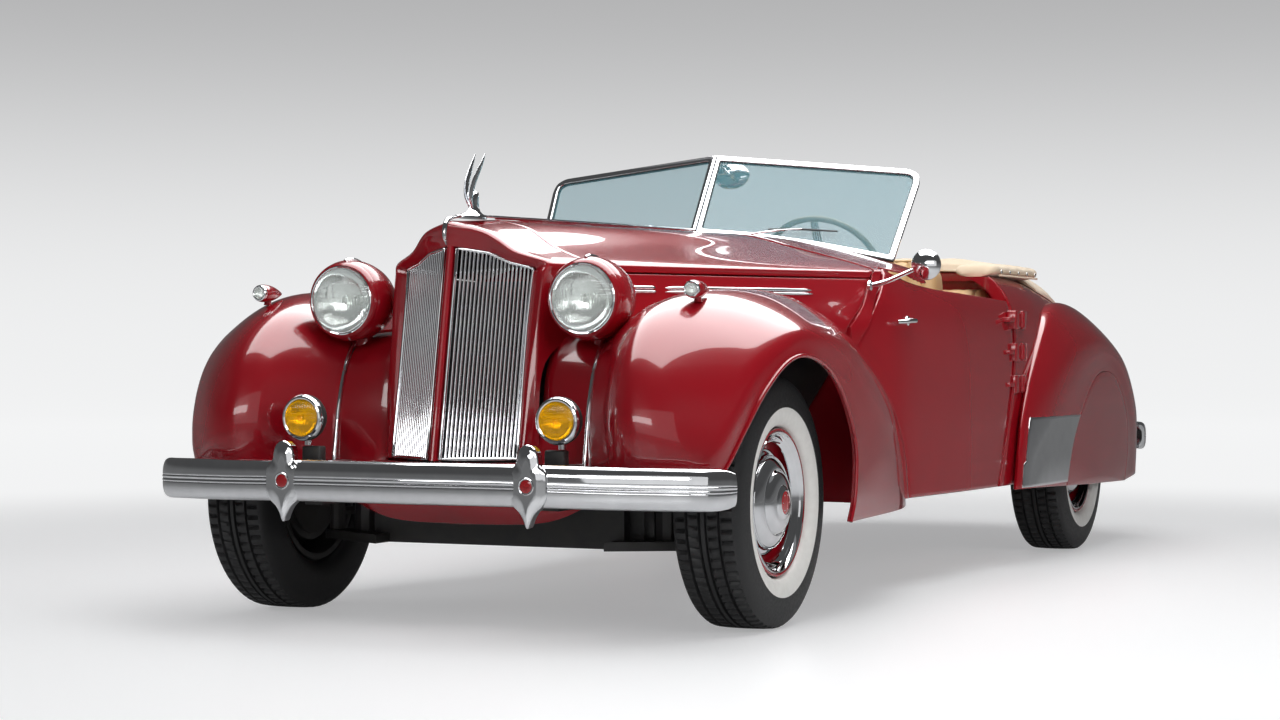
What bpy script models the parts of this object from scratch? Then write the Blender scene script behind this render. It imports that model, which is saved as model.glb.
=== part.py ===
"""A classic open car with separate fenders, built as its sub-parts: metres, +Z up, nose towards -Y."""

import math

import bmesh
import bpy
from mathutils import Matrix, Vector
from mathutils.bvhtree import BVHTree

# Driving dimensions of the car.
WHEELBASE = 3.226
FRONT_TRACK = 1.50
REAR_TRACK = 1.52
HALF_WIDTH = 0.95
COWL_HEIGHT = 1.187
FRONT_OVERHANG = 0.70
REAR_OVERHANG = 1.20
FRONT_AXLE_Y = (FRONT_OVERHANG - WHEELBASE - REAR_OVERHANG) / 2
REAR_AXLE_Y = FRONT_AXLE_Y + WHEELBASE

# Clearances and walls.
SEAT_GAP = 0.0003
PANEL_GAP = 0.006
DOOR_GAP = 0.008
FENDER_WALL = 0.012
HOOD_WALL = 0.012
BODY_WALL = 0.030
DOOR_WALL = 0.055
LID_WALL = 0.022
APRON_WALL = 0.010
OVERRUN = 0.05

# Wheels and tyres.
TYRE_RADIUS = 0.357
TYRE_WIDTH = 0.21
TYRE_SEGMENTS = 24
RIM_RADIUS = 0.205
RIM_WIDTH = 0.150
RIM_WALL = 0.008
HUBCAP_RADIUS = 0.132
HUBCAP_RISE = 0.060
HUB_RADIUS = 0.045
DRUM_RADIUS = 0.150
DRUM_DEPTH = 0.045

# Frame, from which everything hangs.
RAIL_TOP = 0.47
RAIL_HEIGHT = 0.12
RAIL_WIDTH = 0.055
RAIL_KICK = 0.09
CROSS_DEPTH = 0.08
CROSS_HEIGHT = 0.06


def at(x_share, run_share, z_share):
    """A place from shares of the half width, the wheelbase behind the front axle and the cowl's height."""
    return Vector((x_share * HALF_WIDTH, FRONT_AXLE_Y + run_share * WHEELBASE, z_share * COWL_HEIGHT))


def places(shares):
    return [at(*share) for share in shares]


def smooth(points, count):
    """Evenly spaced points on a Catmull-Rom curve through the given points."""
    fine = []
    last = len(points) - 1
    for i in range(last):
        before = points[i - 1] if i > 0 else points[i] * 2 - points[i + 1]
        after = points[i + 2] if i + 2 <= last else points[i + 1] * 2 - points[i]
        for k in range(CURVE_STEPS):
            fine.append(catmull(before, points[i], points[i + 1], after, k / CURVE_STEPS))
    fine.append(points[last].copy())
    return spaced(fine, count)


def catmull(a, b, c, d, t):
    return (b * 2 + (c - a) * t + (a * 2 - b * 5 + c * 4 - d) * t**2 + (b * 3 - a - c * 3 + d) * t**3) / 2


def spaced(points, count):
    """The same line cut into equal lengths."""
    lengths = [0.0]
    for a, b in zip(points, points[1:]):
        lengths.append(lengths[-1] + (b - a).length)
    found = []
    for i in range(count):
        want = lengths[-1] * i / (count - 1)
        k = 0
        while k < len(points) - 2 and lengths[k + 1] < want:
            k += 1
        span = lengths[k + 1] - lengths[k]
        found.append(points[k].lerp(points[k + 1], (want - lengths[k]) / span if span else 0))
    return found


CURVE_STEPS = 10


def along(table, run):
    """Linear interpolation in a table of (run, value) pairs."""
    for (a, first), (b, second) in zip(table, table[1:]):
        if run <= b:
            return first + (second - first) * max(0, (run - a) / (b - a))
    return table[-1][1]


def material(name, colour, roughness, metallic):
    made = bpy.data.materials.new(name)
    made.use_nodes = True
    shader = made.node_tree.nodes["Principled BSDF"]
    shader.inputs["Base Color"].default_value = (*colour, 1)
    shader.inputs["Roughness"].default_value = roughness
    shader.inputs["Metallic"].default_value = metallic
    made.diffuse_color = (*colour, 1)
    return made


def piece(name, vertices, faces, finish):
    """A closed mesh object whose faces point outwards."""
    mesh = bpy.data.meshes.new(name)
    mesh.from_pydata([tuple(v) for v in vertices], [], faces)
    made = bmesh.new()
    made.from_mesh(mesh)
    bmesh.ops.connect_verts_nonplanar(made, angle_limit=FLAT_ANGLE, faces=made.faces)
    bmesh.ops.recalc_face_normals(made, faces=made.faces)
    made.to_mesh(mesh)
    made.free()
    mesh.materials.append(finish)
    mesh.shade_smooth()
    mesh.set_sharp_from_angle(angle=SHARP_ANGLE)
    found = bpy.data.objects.new(name, mesh)
    bpy.context.scene.collection.objects.link(found)
    return found


SHARP_ANGLE = math.radians(35)
FLAT_ANGLE = math.radians(0.02)


def loft(name, rings, finish):
    """Rings of equal length bridged in turn, with the two ends capped."""
    size = len(rings[0])
    vertices = [point for ring in rings for point in ring]
    faces = []
    for i in range(len(rings) - 1):
        for k in range(size):
            following = (k + 1) % size
            faces.append(
                (i * size + k, i * size + following, (i + 1) * size + following, (i + 1) * size + k)
            )
    faces.append(tuple(range(size)))
    last = (len(rings) - 1) * size
    faces.append(tuple(range(last, last + size)))
    return piece(name, vertices, faces, finish)


def hoop(name, rings, finish):
    """Rings bridged in turn and back to the first, with no caps."""
    size = len(rings[0])
    vertices = [point for ring in rings for point in ring]
    faces = []
    for i in range(len(rings)):
        j = (i + 1) % len(rings)
        for k in range(size):
            following = (k + 1) % size
            faces.append((i * size + k, i * size + following, j * size + following, j * size + k))
    return piece(name, vertices, faces, finish)


def grid_normals(grid):
    rows = len(grid)
    columns = len(grid[0])
    normals = []
    for i in range(rows):
        row = []
        for k in range(columns):
            along_rows = grid[min(i + 1, rows - 1)][k] - grid[max(i - 1, 0)][k]
            along_columns = grid[i][min(k + 1, columns - 1)] - grid[i][max(k - 1, 0)]
            row.append(along_rows.cross(along_columns).normalized())
        normals.append(row)
    return normals


def shell(name, grid, wall, inside, finish):
    """A sheet-metal panel: the grid is its outer face, and its inner face lies one wall towards inside."""
    normals = grid_normals(grid)
    lean = sum(n.dot(inside - p) for row, nrow in zip(grid, normals) for p, n in zip(row, nrow))
    side = 1 if lean > 0 else -1
    outer = [p for row in grid for p in row]
    inner = [p + n * side * wall for row, nrow in zip(grid, normals) for p, n in zip(row, nrow)]
    rows = len(grid)
    columns = len(grid[0])
    total = rows * columns
    faces = []
    for i in range(rows - 1):
        for k in range(columns - 1):
            a = i * columns + k
            faces.append((a, a + 1, a + columns + 1, a + columns))
            faces.append((total + a, total + a + columns, total + a + columns + 1, total + a + 1))
    edge = [k for k in range(columns)]
    edge += [i * columns + columns - 1 for i in range(1, rows)]
    edge += [(rows - 1) * columns + k for k in range(columns - 2, -1, -1)]
    edge += [i * columns for i in range(rows - 2, 0, -1)]
    for a, b in zip(edge, edge[1:] + edge[:1]):
        faces.append((a, b, total + b, total + a))
    return piece(name, outer + inner, faces, finish)


def surface(rails, rows, columns):
    """A grid through rails that run lengthwise: each rail gives one point to each row."""
    spread = [smooth(rail, rows) for rail in rails]
    return [smooth([rail[i] for rail in spread], columns) for i in range(rows)]


def block(name, low, high, finish):
    """A box between two corners."""
    corners = [(x, y, z) for x in (low[0], high[0]) for y in (low[1], high[1]) for z in (low[2], high[2])]
    faces = [(0, 1, 3, 2), (4, 6, 7, 5), (0, 4, 5, 1), (2, 3, 7, 6), (0, 2, 6, 4), (1, 5, 7, 3)]
    return piece(name, corners, faces, finish)


def soften(found, width, steps):
    """Rounded edges."""
    made = bmesh.new()
    made.from_mesh(found.data)
    bmesh.ops.bevel(made, geom=made.edges[:], offset=width, segments=steps, affect="EDGES", profile=0.5)
    made.to_mesh(found.data)
    made.free()
    return found


def frame_of(direction):
    """Two unit vectors square to a direction."""
    forward = direction.normalized()
    helper = Vector((0, 0, 1)) if abs(forward.z) < UPRIGHT_SHARE else Vector((1, 0, 0))
    side = forward.cross(helper).normalized()
    return side, side.cross(forward)


UPRIGHT_SHARE = 0.9


def tube(name, points, radii, sides, finish):
    """A round bar along points, with one radius for each point or one for all."""
    if not isinstance(radii, (list, tuple)):
        radii = [radii] * len(points)
    rings = []
    for i, (point, radius) in enumerate(zip(points, radii)):
        direction = points[min(i + 1, len(points) - 1)] - points[max(i - 1, 0)]
        side, up = frame_of(direction)
        ring = []
        for k in range(sides):
            turn = math.tau * k / sides
            ring.append(point + side * (radius * math.cos(turn)) + up * (radius * math.sin(turn)))
        rings.append(ring)
    return loft(name, rings, finish)


def turned(name, profile, centre, axis, sides, finish):
    """A solid of revolution: profile holds (distance along the axis, radius)."""
    side, up = frame_of(axis)
    forward = axis.normalized()
    vertices = []
    rings = []
    for run, radius in profile:
        if radius == 0:
            vertices.append(centre + forward * run)
            rings.append([len(vertices) - 1])
            continue
        start = len(vertices)
        for k in range(sides):
            turn = math.tau * k / sides
            vertices.append(
                centre + forward * run + side * (radius * math.cos(turn)) + up * (radius * math.sin(turn))
            )
        rings.append(list(range(start, start + sides)))
    faces = []
    closed = profile[0][1] != 0
    for i in range(len(rings) if closed else len(rings) - 1):
        a = rings[i]
        b = rings[(i + 1) % len(rings)]
        for k in range(sides):
            following = (k + 1) % sides
            if len(a) == 1:
                faces.append((a[0], b[following], b[k]))
            elif len(b) == 1:
                faces.append((a[k], a[following], b[0]))
            else:
                faces.append((a[k], a[following], b[following], b[k]))
    return piece(name, vertices, faces, finish)


def prism(name, outline, offset, finish):
    """A flat outline pushed along an offset."""
    return loft(name, [outline, [point + offset for point in outline]], finish)


def combined(target, other, operation):
    """A Boolean of two solids, with the second one used up."""
    modifier = target.modifiers.new("Combine", "BOOLEAN")
    modifier.operation = operation
    modifier.object = other
    graph = bpy.context.evaluated_depsgraph_get()
    mesh = bpy.data.meshes.new_from_object(target.evaluated_get(graph))
    target.modifiers.clear()
    old = target.data
    target.data = mesh
    bpy.data.meshes.remove(old)
    mesh.name = target.name
    bpy.data.objects.remove(other)
    made = bmesh.new()
    made.from_mesh(mesh)
    bmesh.ops.remove_doubles(made, verts=made.verts, dist=WELD)
    bmesh.ops.dissolve_degenerate(made, dist=WELD, edges=made.edges)
    bmesh.ops.dissolve_limit(made, angle_limit=FLAT_ANGLE, verts=made.verts, edges=made.edges)
    made.to_mesh(mesh)
    made.free()
    mesh.shade_smooth()
    mesh.set_sharp_from_angle(angle=SHARP_ANGLE)
    return target


WELD = 0.00004


def joined(target, *others):
    for other in others:
        combined(target, other, "UNION")
    return target


def cut(target, *others):
    for other in others:
        combined(target, other, "DIFFERENCE")
    return target


def swollen(found, gap):
    """A copy grown by a gap along its vertex normals, to cut a neighbour with."""
    mesh = found.data.copy()
    made = bmesh.new()
    made.from_mesh(mesh)
    made.normal_update()
    grown = [v.co + v.normal * (gap * v.calc_shell_factor()) for v in made.verts]
    for v, place in zip(made.verts, grown):
        v.co = place
    made.to_mesh(mesh)
    made.free()
    copy = bpy.data.objects.new("cutter", mesh)
    bpy.context.scene.collection.objects.link(copy)
    return copy


def clear_of(target, neighbour, gap=SEAT_GAP):
    return largest(cut(target, swollen(neighbour, gap)))


def largest(found):
    """Keeps the biggest body of a piece, without the crumbs that a cut leaves."""
    made = bmesh.new()
    made.from_mesh(found.data)
    left = set(made.verts)
    bodies = []
    while left:
        body = {left.pop()}
        edge = list(body)
        while edge:
            near = {link.other_vert(v) for v in edge for link in v.link_edges} - body
            body |= near
            edge = list(near)
        left -= body
        bodies.append(body)
    bodies.sort(key=len)
    crumbs = [v for body in bodies[:-1] for v in body]
    bmesh.ops.delete(made, geom=crumbs, context="VERTS")
    made.to_mesh(found.data)
    made.free()
    return found


def surface_tree(found):
    made = bmesh.new()
    made.from_mesh(found.data)
    made.transform(found.matrix_world)
    tree = BVHTree.FromBMesh(made)
    made.free()
    return tree


def rested(found, neighbours, direction):
    """Slides a piece along a direction until it lies one seat gap from the first neighbour it meets."""
    way = direction.normalized()
    own = surface_tree(found)
    steps = []
    for neighbour in neighbours:
        tree = surface_tree(neighbour)
        steps += [tree.ray_cast(v.co, way)[3] for v in found.data.vertices]
        steps += [own.ray_cast(v.co, -way)[3] for v in neighbour.data.vertices]
    steps = [step for step in steps if step is not None]
    if steps:
        found.data.transform(Matrix.Translation(way * (min(steps) - SEAT_GAP)))
    return found


def mirrored(found, name):
    """The same piece on the car's other side."""
    mesh = found.data.copy()
    mesh.name = name
    made = bmesh.new()
    made.from_mesh(mesh)
    bmesh.ops.scale(made, vec=(-1, 1, 1), verts=made.verts)
    bmesh.ops.reverse_faces(made, faces=made.faces)
    made.to_mesh(mesh)
    made.free()
    copy = bpy.data.objects.new(name, mesh)
    bpy.context.scene.collection.objects.link(copy)
    return copy


def reseat(found, origin):
    """Moves an object's origin onto its joint, with its shape left where it is."""
    found.data.transform(Matrix.Translation(-origin))
    found.location = origin
    return found


# Body surface.
SILL_HEIGHT = 0.30
SIDE_SHARES = [
    (0.248, 0.7), (0.31, 0.7526), (0.3844, 0.8263), (0.465, 0.8579), (0.558, 0.8842),
    (0.713, 0.9074), (0.8369, 0.9179), (0.9919, 0.9074), (1.1159, 0.8579), (1.2244, 0.7684),
    (1.3019, 0.6579), (1.3453, 0.5263),
]
CROWN_SHARES = [
    (0.248, 0.9924), (0.403, 0.9688), (0.713, 0.9436), (0.9299, 0.9141), (1.0539, 0.893),
    (1.1469, 0.834), (1.2244, 0.7498), (1.2864, 0.6403), (1.3267, 0.5223), (1.3515, 0.4044),
]
SIDE_POWER_SHARES = [(0.248, 6), (0.806, 6), (0.9609, 5), (1.1159, 3.4), (1.3515, 2.5)]


def side_at(y, z, inset=0.0):
    """How far out the body's skin is at a place along the car and a height."""
    run = (y - FRONT_AXLE_Y) / WHEELBASE
    half = along(SIDE_SHARES, run) * HALF_WIDTH - inset
    top = along(CROWN_SHARES, run) * COWL_HEIGHT - inset
    power = along(SIDE_POWER_SHARES, run)
    rise = max(0.0, (z - SILL_HEIGHT) / (top - SILL_HEIGHT))
    return half * max(0.0, 1 - rise**power) ** (1 / power)


def body_point(y, turn, inset=0.0):
    """A place on the body's skin, from one sill (turn 0) over the top to the other (turn pi)."""
    run = (y - FRONT_AXLE_Y) / WHEELBASE
    half = along(SIDE_SHARES, run) * HALF_WIDTH - inset
    top = along(CROWN_SHARES, run) * COWL_HEIGHT - inset
    power = along(SIDE_POWER_SHARES, run)
    cosine = math.cos(turn)
    sine = max(0.0, math.sin(turn))
    x = math.copysign(half * abs(cosine) ** (2 / power), cosine)
    return Vector((x, y, SILL_HEIGHT + (top - SILL_HEIGHT) * sine ** (2 / power)))


def body_ring(y, steps, inset=0.0, drop=0.0):
    ring = [body_point(y, math.pi * k / steps, inset) for k in range(steps + 1)]
    if drop:
        ring = [ring[0] - Vector((0, 0, drop))] + ring + [ring[-1] - Vector((0, 0, drop))]
    return ring


# Frame and running gear.
RAIL_SHARES = [
    (0.3895, -0.1612, 0), (0.3895, 0.155, 0), (0.5263, 0.3255, 0), (0.5263, 0.806, 0),
    (0.5263, 0.9299, 0), (0.5263, 1.1004, 0), (0.5263, 1.2244, 0), (0.5263, 1.2895, 0),
]
RAIL_LIFTS = [0, 0, 0, 0, 1, 1, 0, 0]
CROSS_SHARES = [(-0.093, 1.0), (0.1395, 1.0), (0.31, 1.0), (0.5425, 0.4), (0.9144, 0.8), (1.2244, 1.0)]
FRONT_AXLE = Vector((0, FRONT_AXLE_Y, TYRE_RADIUS))
REAR_AXLE = Vector((0, REAR_AXLE_Y, TYRE_RADIUS))
ACROSS = Vector((1, 0, 0))
BACK = Vector((0, 1, 0))
UP = Vector((0, 0, 1))


def upright_ring(left, right, y, low, high):
    """A rectangle that stands across the car."""
    return [Vector((x, y, z)) for x, z in ((left, low), (right, low), (right, high), (left, high))]


def rail_ring(place, lift):
    top = RAIL_TOP + lift * RAIL_KICK
    low = top - RAIL_HEIGHT
    inner = place.x - RAIL_WIDTH / 2
    outer = place.x + RAIL_WIDTH / 2
    return upright_ring(inner, outer, place.y, low, top)


def rail_inset_at(y):
    """How far from the middle the rails lie at a place along the car."""
    return along([(place.y, place.x) for place in places(RAIL_SHARES)], y)


def rail_top_at(y):
    return along(
        [(place.y, RAIL_TOP + lift * RAIL_KICK) for place, lift in zip(places(RAIL_SHARES), RAIL_LIFTS)],
        y,
    )


CROSS_STEP = 0.004


def make_frame(finish):
    rings = [rail_ring(place, lift) for place, lift in zip(places(RAIL_SHARES), RAIL_LIFTS)]
    rail = loft("frame", rings, finish)
    other = mirrored(rail, "rail")
    crosses = []
    for share, height_share in CROSS_SHARES:
        y = at(0, share, 0).y
        reach = rail_inset_at(y)
        bottom = rail_top_at(y) - RAIL_HEIGHT + CROSS_STEP
        low = (-reach, y - CROSS_DEPTH / 2, bottom)
        high = (reach, y + CROSS_DEPTH / 2, bottom + CROSS_HEIGHT * height_share)
        crosses.append(block("cross", low, high, finish))
    return joined(rail, *crosses, other)


ENGINE_SHARES = [(-0.2105, -0.0248, 0.3463), (0.2105, 0.2883, 0.7835)]


def make_engine(finish):
    low, high = places(ENGINE_SHARES)
    low.z = RAIL_TOP - RAIL_HEIGHT + CROSS_STEP + CROSS_HEIGHT + SEAT_GAP
    return soften(block("engine", low, high, finish), ENGINE_CORNER, 1)


ENGINE_CORNER = 0.02
GEARBOX_LENGTH = 0.50
GEARBOX_HALF = 0.12
GEARBOX_TOP = 0.455
GEARBOX_TAIL_SHARE = 0.5
SHAFT_RADIUS = 0.034
AXLE_TUBE_RADIUS = 0.042
AXLE_HOUSING_RADIUS = 0.125
SPRING_LENGTH = 1.25
SPRING_WIDTH = 0.055
SPRING_THICKNESS = 0.035


def make_driveline(finish):
    low, high = places(ENGINE_SHARES)
    start = high.y + SEAT_GAP
    bottom = RAIL_TOP - RAIL_HEIGHT + CROSS_STEP + CROSS_HEIGHT + SEAT_GAP
    rings = []
    for y, share in (
        (start, 1), (start + GEARBOX_LENGTH / 2, 1), (start + GEARBOX_LENGTH, GEARBOX_TAIL_SHARE)
    ):
        half = GEARBOX_HALF * share
        rings.append(upright_ring(-half, half, y, bottom, GEARBOX_TOP))
    box = loft("driveline", rings, finish)
    shaft_start = Vector((0, start + GEARBOX_LENGTH - OVERRUN, (bottom + GEARBOX_TOP) / 2))
    shaft = tube("shaft", [shaft_start, REAR_AXLE], SHAFT_RADIUS, SHAFT_SIDES, finish)
    axle_end = ACROSS * (REAR_TRACK / 2 - DRUM_INNER - SEAT_GAP)
    axle = tube(
        "axle", [REAR_AXLE - axle_end, REAR_AXLE + axle_end], AXLE_TUBE_RADIUS, SHAFT_SIDES, finish
    )
    profile = [(-AXLE_HOUSING_RADIUS, 0)]
    for k in range(1, HOUSING_STEPS):
        turn = math.pi * k / HOUSING_STEPS
        profile.append((-AXLE_HOUSING_RADIUS * math.cos(turn), AXLE_HOUSING_RADIUS * math.sin(turn)))
    profile.append((AXLE_HOUSING_RADIUS, 0))
    housing = turned("housing", profile, REAR_AXLE, BACK, SHAFT_SIDES, finish)
    return joined(box, shaft, housing, axle, leaf_spring(-1, finish), leaf_spring(1, finish))


def leaf_spring(side, finish):
    """A leaf pack slung under the axle and bowed up to the rail at both ends."""
    x = side * rail_inset_at(REAR_AXLE_Y)
    middle = TYRE_RADIUS - AXLE_TUBE_RADIUS + SPRING_BITE
    rings = []
    for k in range(SPRING_STATIONS):
        share = 2 * k / (SPRING_STATIONS - 1) - 1
        y = REAR_AXLE_Y + share * SPRING_LENGTH / 2
        end = rail_top_at(y) - RAIL_HEIGHT - SEAT_GAP
        top = middle + (min(end, RAIL_TOP - RAIL_HEIGHT - SEAT_GAP) - middle) * share * share
        low = top - SPRING_THICKNESS * (1 - SPRING_TAPER_SHARE * abs(share))
        half = SPRING_WIDTH / 2
        rings.append(upright_ring(x - half, x + half, y, low, top))
    return loft("spring", rings, finish)


SHAFT_SIDES = 10
HOUSING_STEPS = 6
SPRING_BITE = 0.005
SPRING_STATIONS = 7
SPRING_TAPER_SHARE = 0.6


TYRE_PROFILE_SHARES = [
    (0.66, 0.00), (0.68, 0.10), (0.90, 0.15), (1.00, 0.42), (0.97, 0.72), (0.84, 0.93),
    (0.42, 1.00), (0.00, 1.00),
]


def tyre_profile():
    """The tyre's section as (across, radius), from one bead over the tread to the other."""
    bead = RIM_RADIUS - RIM_WALL
    half = []
    for across, height in TYRE_PROFILE_SHARES:
        half.append((across * TYRE_WIDTH / 2, bead + SEAT_GAP + height * (TYRE_RADIUS - bead - SEAT_GAP)))
    other = [(-across, radius) for across, radius in reversed(half[:-1])]
    return half + other


def make_tyre(name, centre, finish):
    return turned(name, tyre_profile(), centre, ACROSS, TYRE_SEGMENTS, finish)


def make_wheel(name, centre, side, finish):
    """Rim, disc, hub cap and brake drum as one turned piece; positive distances face outwards."""
    edge = RIM_WIDTH / 2
    bead = RIM_RADIUS - RIM_WALL
    disc = edge - DISC_SET
    barrel = bead - RIM_WALL
    flange = RIM_RADIUS + RIM_FLANGE
    profile = [
        (-DRUM_INNER, 0),
        (-DRUM_INNER, DRUM_RADIUS),
        (disc - RIM_WALL, DRUM_RADIUS),
        (disc - RIM_WALL, barrel),
        (-edge - RIM_LIP, barrel),
        (-edge - RIM_LIP, flange),
        (-edge, flange),
        (-edge, bead),
        (edge, bead),
        (edge, flange),
        (edge + RIM_LIP, flange),
        (edge + RIM_LIP, bead - RIM_LIP),
        (disc, barrel - RIM_DROP),
        (disc, HUBCAP_RADIUS),
    ]
    profile += [(disc + HUBCAP_RISE * rise, HUBCAP_RADIUS * reach) for rise, reach in HUBCAP_SHARES]
    return turned(name, profile, centre, ACROSS * side, TYRE_SEGMENTS, finish)


HUBCAP_SHARES = [(0.35, 0.97), (0.70, 0.72), (0.92, 0.40), (1, 0)]
DISC_SET = 0.045
DRUM_INNER = 0.06
RIM_DROP = 0.028
RIM_LIP = 0.010
RIM_FLANGE = 0.004

KINGPIN_INSET = 0.150
KINGPIN_X = FRONT_TRACK / 2 - KINGPIN_INSET
KINGPIN_RADIUS = 0.024
KINGPIN_HALF = 0.115
STUB_RADIUS = 0.024
PLATE_RADIUS = 0.13
PLATE_WALL = 0.006


def make_knuckle(name, side, finish):
    """King pin, stub axle and brake plate of one front wheel."""
    centre = Vector((side * KINGPIN_X, FRONT_AXLE_Y, TYRE_RADIUS))
    pin = tube(
        name, [centre - UP * KINGPIN_HALF, centre + UP * KINGPIN_HALF], KINGPIN_RADIUS, PIN_SIDES, finish
    )
    face = FRONT_TRACK / 2 - DRUM_INNER
    stub = tube(
        "stub",
        [centre, Vector((side * (face - SEAT_GAP), FRONT_AXLE_Y, TYRE_RADIUS))],
        STUB_RADIUS,
        PIN_SIDES,
        finish,
    )
    plate_start = Vector((side * (face - PLATE_WALL - PLATE_GAP), FRONT_AXLE_Y, TYRE_RADIUS))
    plate_end = Vector((side * (face - PLATE_GAP), FRONT_AXLE_Y, TYRE_RADIUS))
    plate = tube("plate", [plate_start, plate_end], PLATE_RADIUS, PLATE_SIDES, finish)
    arm = tube(
        "arm",
        [centre - UP * ARM_DROP, centre + Vector((-side * ARM_INSET, ARM_LENGTH, -ARM_DROP))],
        ARM_RADIUS,
        ARM_SIDES,
        finish,
    )
    return joined(pin, stub, plate, arm)


PIN_SIDES = 10
PLATE_SIDES = 18
ARM_SIDES = 6
PLATE_GAP = 0.004
ARM_DROP = 0.06
ARM_INSET = 0.05
ARM_LENGTH = 0.15
ARM_RADIUS = 0.014

WISHBONE_HEIGHT = 0.026
WISHBONE_EYE = 0.038
WISHBONE_REACH = 0.17
COIL_RADIUS = 0.040


def make_front_suspension(finish):
    """A cross-member under the rails that carries the arms, coil springs and steering link."""
    rail_face = rail_inset_at(FRONT_AXLE_Y) + RAIL_WIDTH / 2
    low = TYRE_RADIUS - KINGPIN_HALF - SEAT_GAP - WISHBONE_HEIGHT
    high = TYRE_RADIUS + KINGPIN_HALF + SEAT_GAP
    under_rail = RAIL_TOP - RAIL_HEIGHT - SEAT_GAP
    beam_low = (-rail_face, FRONT_AXLE_Y - BEAM_HALF, low)
    beam_high = (rail_face, FRONT_AXLE_Y + BEAM_HALF, under_rail)
    beam = block("front_suspension", beam_low, beam_high, finish)
    parts = []
    for side in (-1, 1):
        inner = rail_face - RAIL_WIDTH / 2
        parts.append(wishbone(side, inner, low, finish))
        parts.append(wishbone(side, rail_face + TOWER_DEPTH / 2, high, finish))
        near = side * (rail_face + SEAT_GAP)
        far = side * (rail_face + TOWER_DEPTH)
        tower_low = (min(near, far), FRONT_AXLE_Y - TOWER_HALF, low)
        tower_high = (max(near, far), FRONT_AXLE_Y + TOWER_HALF, high + WISHBONE_HEIGHT)
        parts.append(block("tower", tower_low, tower_high, finish))
        foot = Vector((side * COIL_X, FRONT_AXLE_Y, low + WISHBONE_HEIGHT / 2))
        top = Vector((foot.x, foot.y, high + WISHBONE_HEIGHT / 2))
        parts.append(tube("coil", [foot, top], COIL_RADIUS, PIN_SIDES, finish))
    return joined(beam, *parts)


def wishbone(side, inner_x, z, finish):
    """A flat V-shaped arm with an eye over or under the king pin."""
    outer = Vector((side * KINGPIN_X, FRONT_AXLE_Y, z))
    rim = []
    for k in range(WISHBONE_EYE_STEPS + 1):
        turn = math.pi * k / WISHBONE_EYE_STEPS - math.pi / 2
        rim.append(
            outer + Vector((side * WISHBONE_EYE * math.cos(turn), WISHBONE_EYE * math.sin(turn), 0))
        )
    back = Vector((side * inner_x, FRONT_AXLE_Y + WISHBONE_REACH, z))
    front = Vector((side * inner_x, FRONT_AXLE_Y - WISHBONE_REACH, z))
    return prism("arm", rim + [back, front], UP * WISHBONE_HEIGHT, finish)


BEAM_HALF = 0.09
TOWER_DEPTH = 0.045
TOWER_HALF = 0.05
COIL_X = 0.495
WISHBONE_EYE_STEPS = 6


# Front fenders: four rails run from the nose's lower edge over the wheel to the tail.
FENDER_INNER_SHARES = [
    (0.4232, -0.11, 0.3833), (0.4232, -0.1038, 0.5223), (0.4232, -0.0883, 0.6403),
    (0.4263, -0.0527, 0.7035), (0.4421, 0.0155, 0.7144), (0.5158, 0.1085, 0.7144),
    (0.6316, 0.217, 0.706), (0.7368, 0.2883, 0.6529), (0.7842, 0.341, 0.5223),
    (0.8126, 0.372, 0.3791), (0.8232, 0.3828, 0.2401),
]
FENDER_CROWN_SHARES = [
    (0.6316, -0.1643, 0.3623), (0.6421, -0.1736, 0.5055), (0.6421, -0.1519, 0.6613),
    (0.6421, -0.1023, 0.7624), (0.6895, -0.0217, 0.8062), (0.7368, 0.1023, 0.802),
    (0.7737, 0.2232, 0.7329), (0.8053, 0.2976, 0.6276), (0.8263, 0.3441, 0.4886),
    (0.8421, 0.3689, 0.3623), (0.8474, 0.3766, 0.2401),
]
FENDER_WIDE_SHARES = [
    (0.7947, -0.1519, 0.3496), (0.8526, -0.1426, 0.4465), (0.8895, -0.1193, 0.5644),
    (0.9137, -0.0806, 0.6655), (0.9526, -0.0124, 0.7245), (0.9737, 0.0868, 0.6908),
    (0.9684, 0.1705, 0.6066), (0.9526, 0.2387, 0.5055), (0.9421, 0.2635, 0.4212),
    (0.9316, 0.279, 0.337), (0.9263, 0.2852, 0.2401),
]
FENDER_LIP_SHARES = [
    (0.8421, -0.1386, 0.3463), (0.8789, -0.124, 0.3917), (0.9137, -0.1038, 0.4819),
    (0.9474, -0.0806, 0.5729), (0.9737, -0.0465, 0.6377), (0.9895, -0.0062, 0.6462),
    (0.9895, 0.0487, 0.6024), (0.9895, 0.088, 0.5156), (0.9895, 0.1094, 0.4162),
    (0.9895, 0.1069, 0.3033), (0.9842, 0.0992, 0.2401),
]
FENDER_ROWS = 17
FENDER_COLUMNS = 9


def make_front_fender(finish):
    rails = [
        places(table)
        for table in (FENDER_INNER_SHARES, FENDER_CROWN_SHARES, FENDER_WIDE_SHARES, FENDER_LIP_SHARES)
    ]
    grid = surface(rails, FENDER_ROWS, FENDER_COLUMNS)
    return shell("front_fender_left", grid, FENDER_WALL, at(0.7, 0, 0.3), finish)


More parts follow.
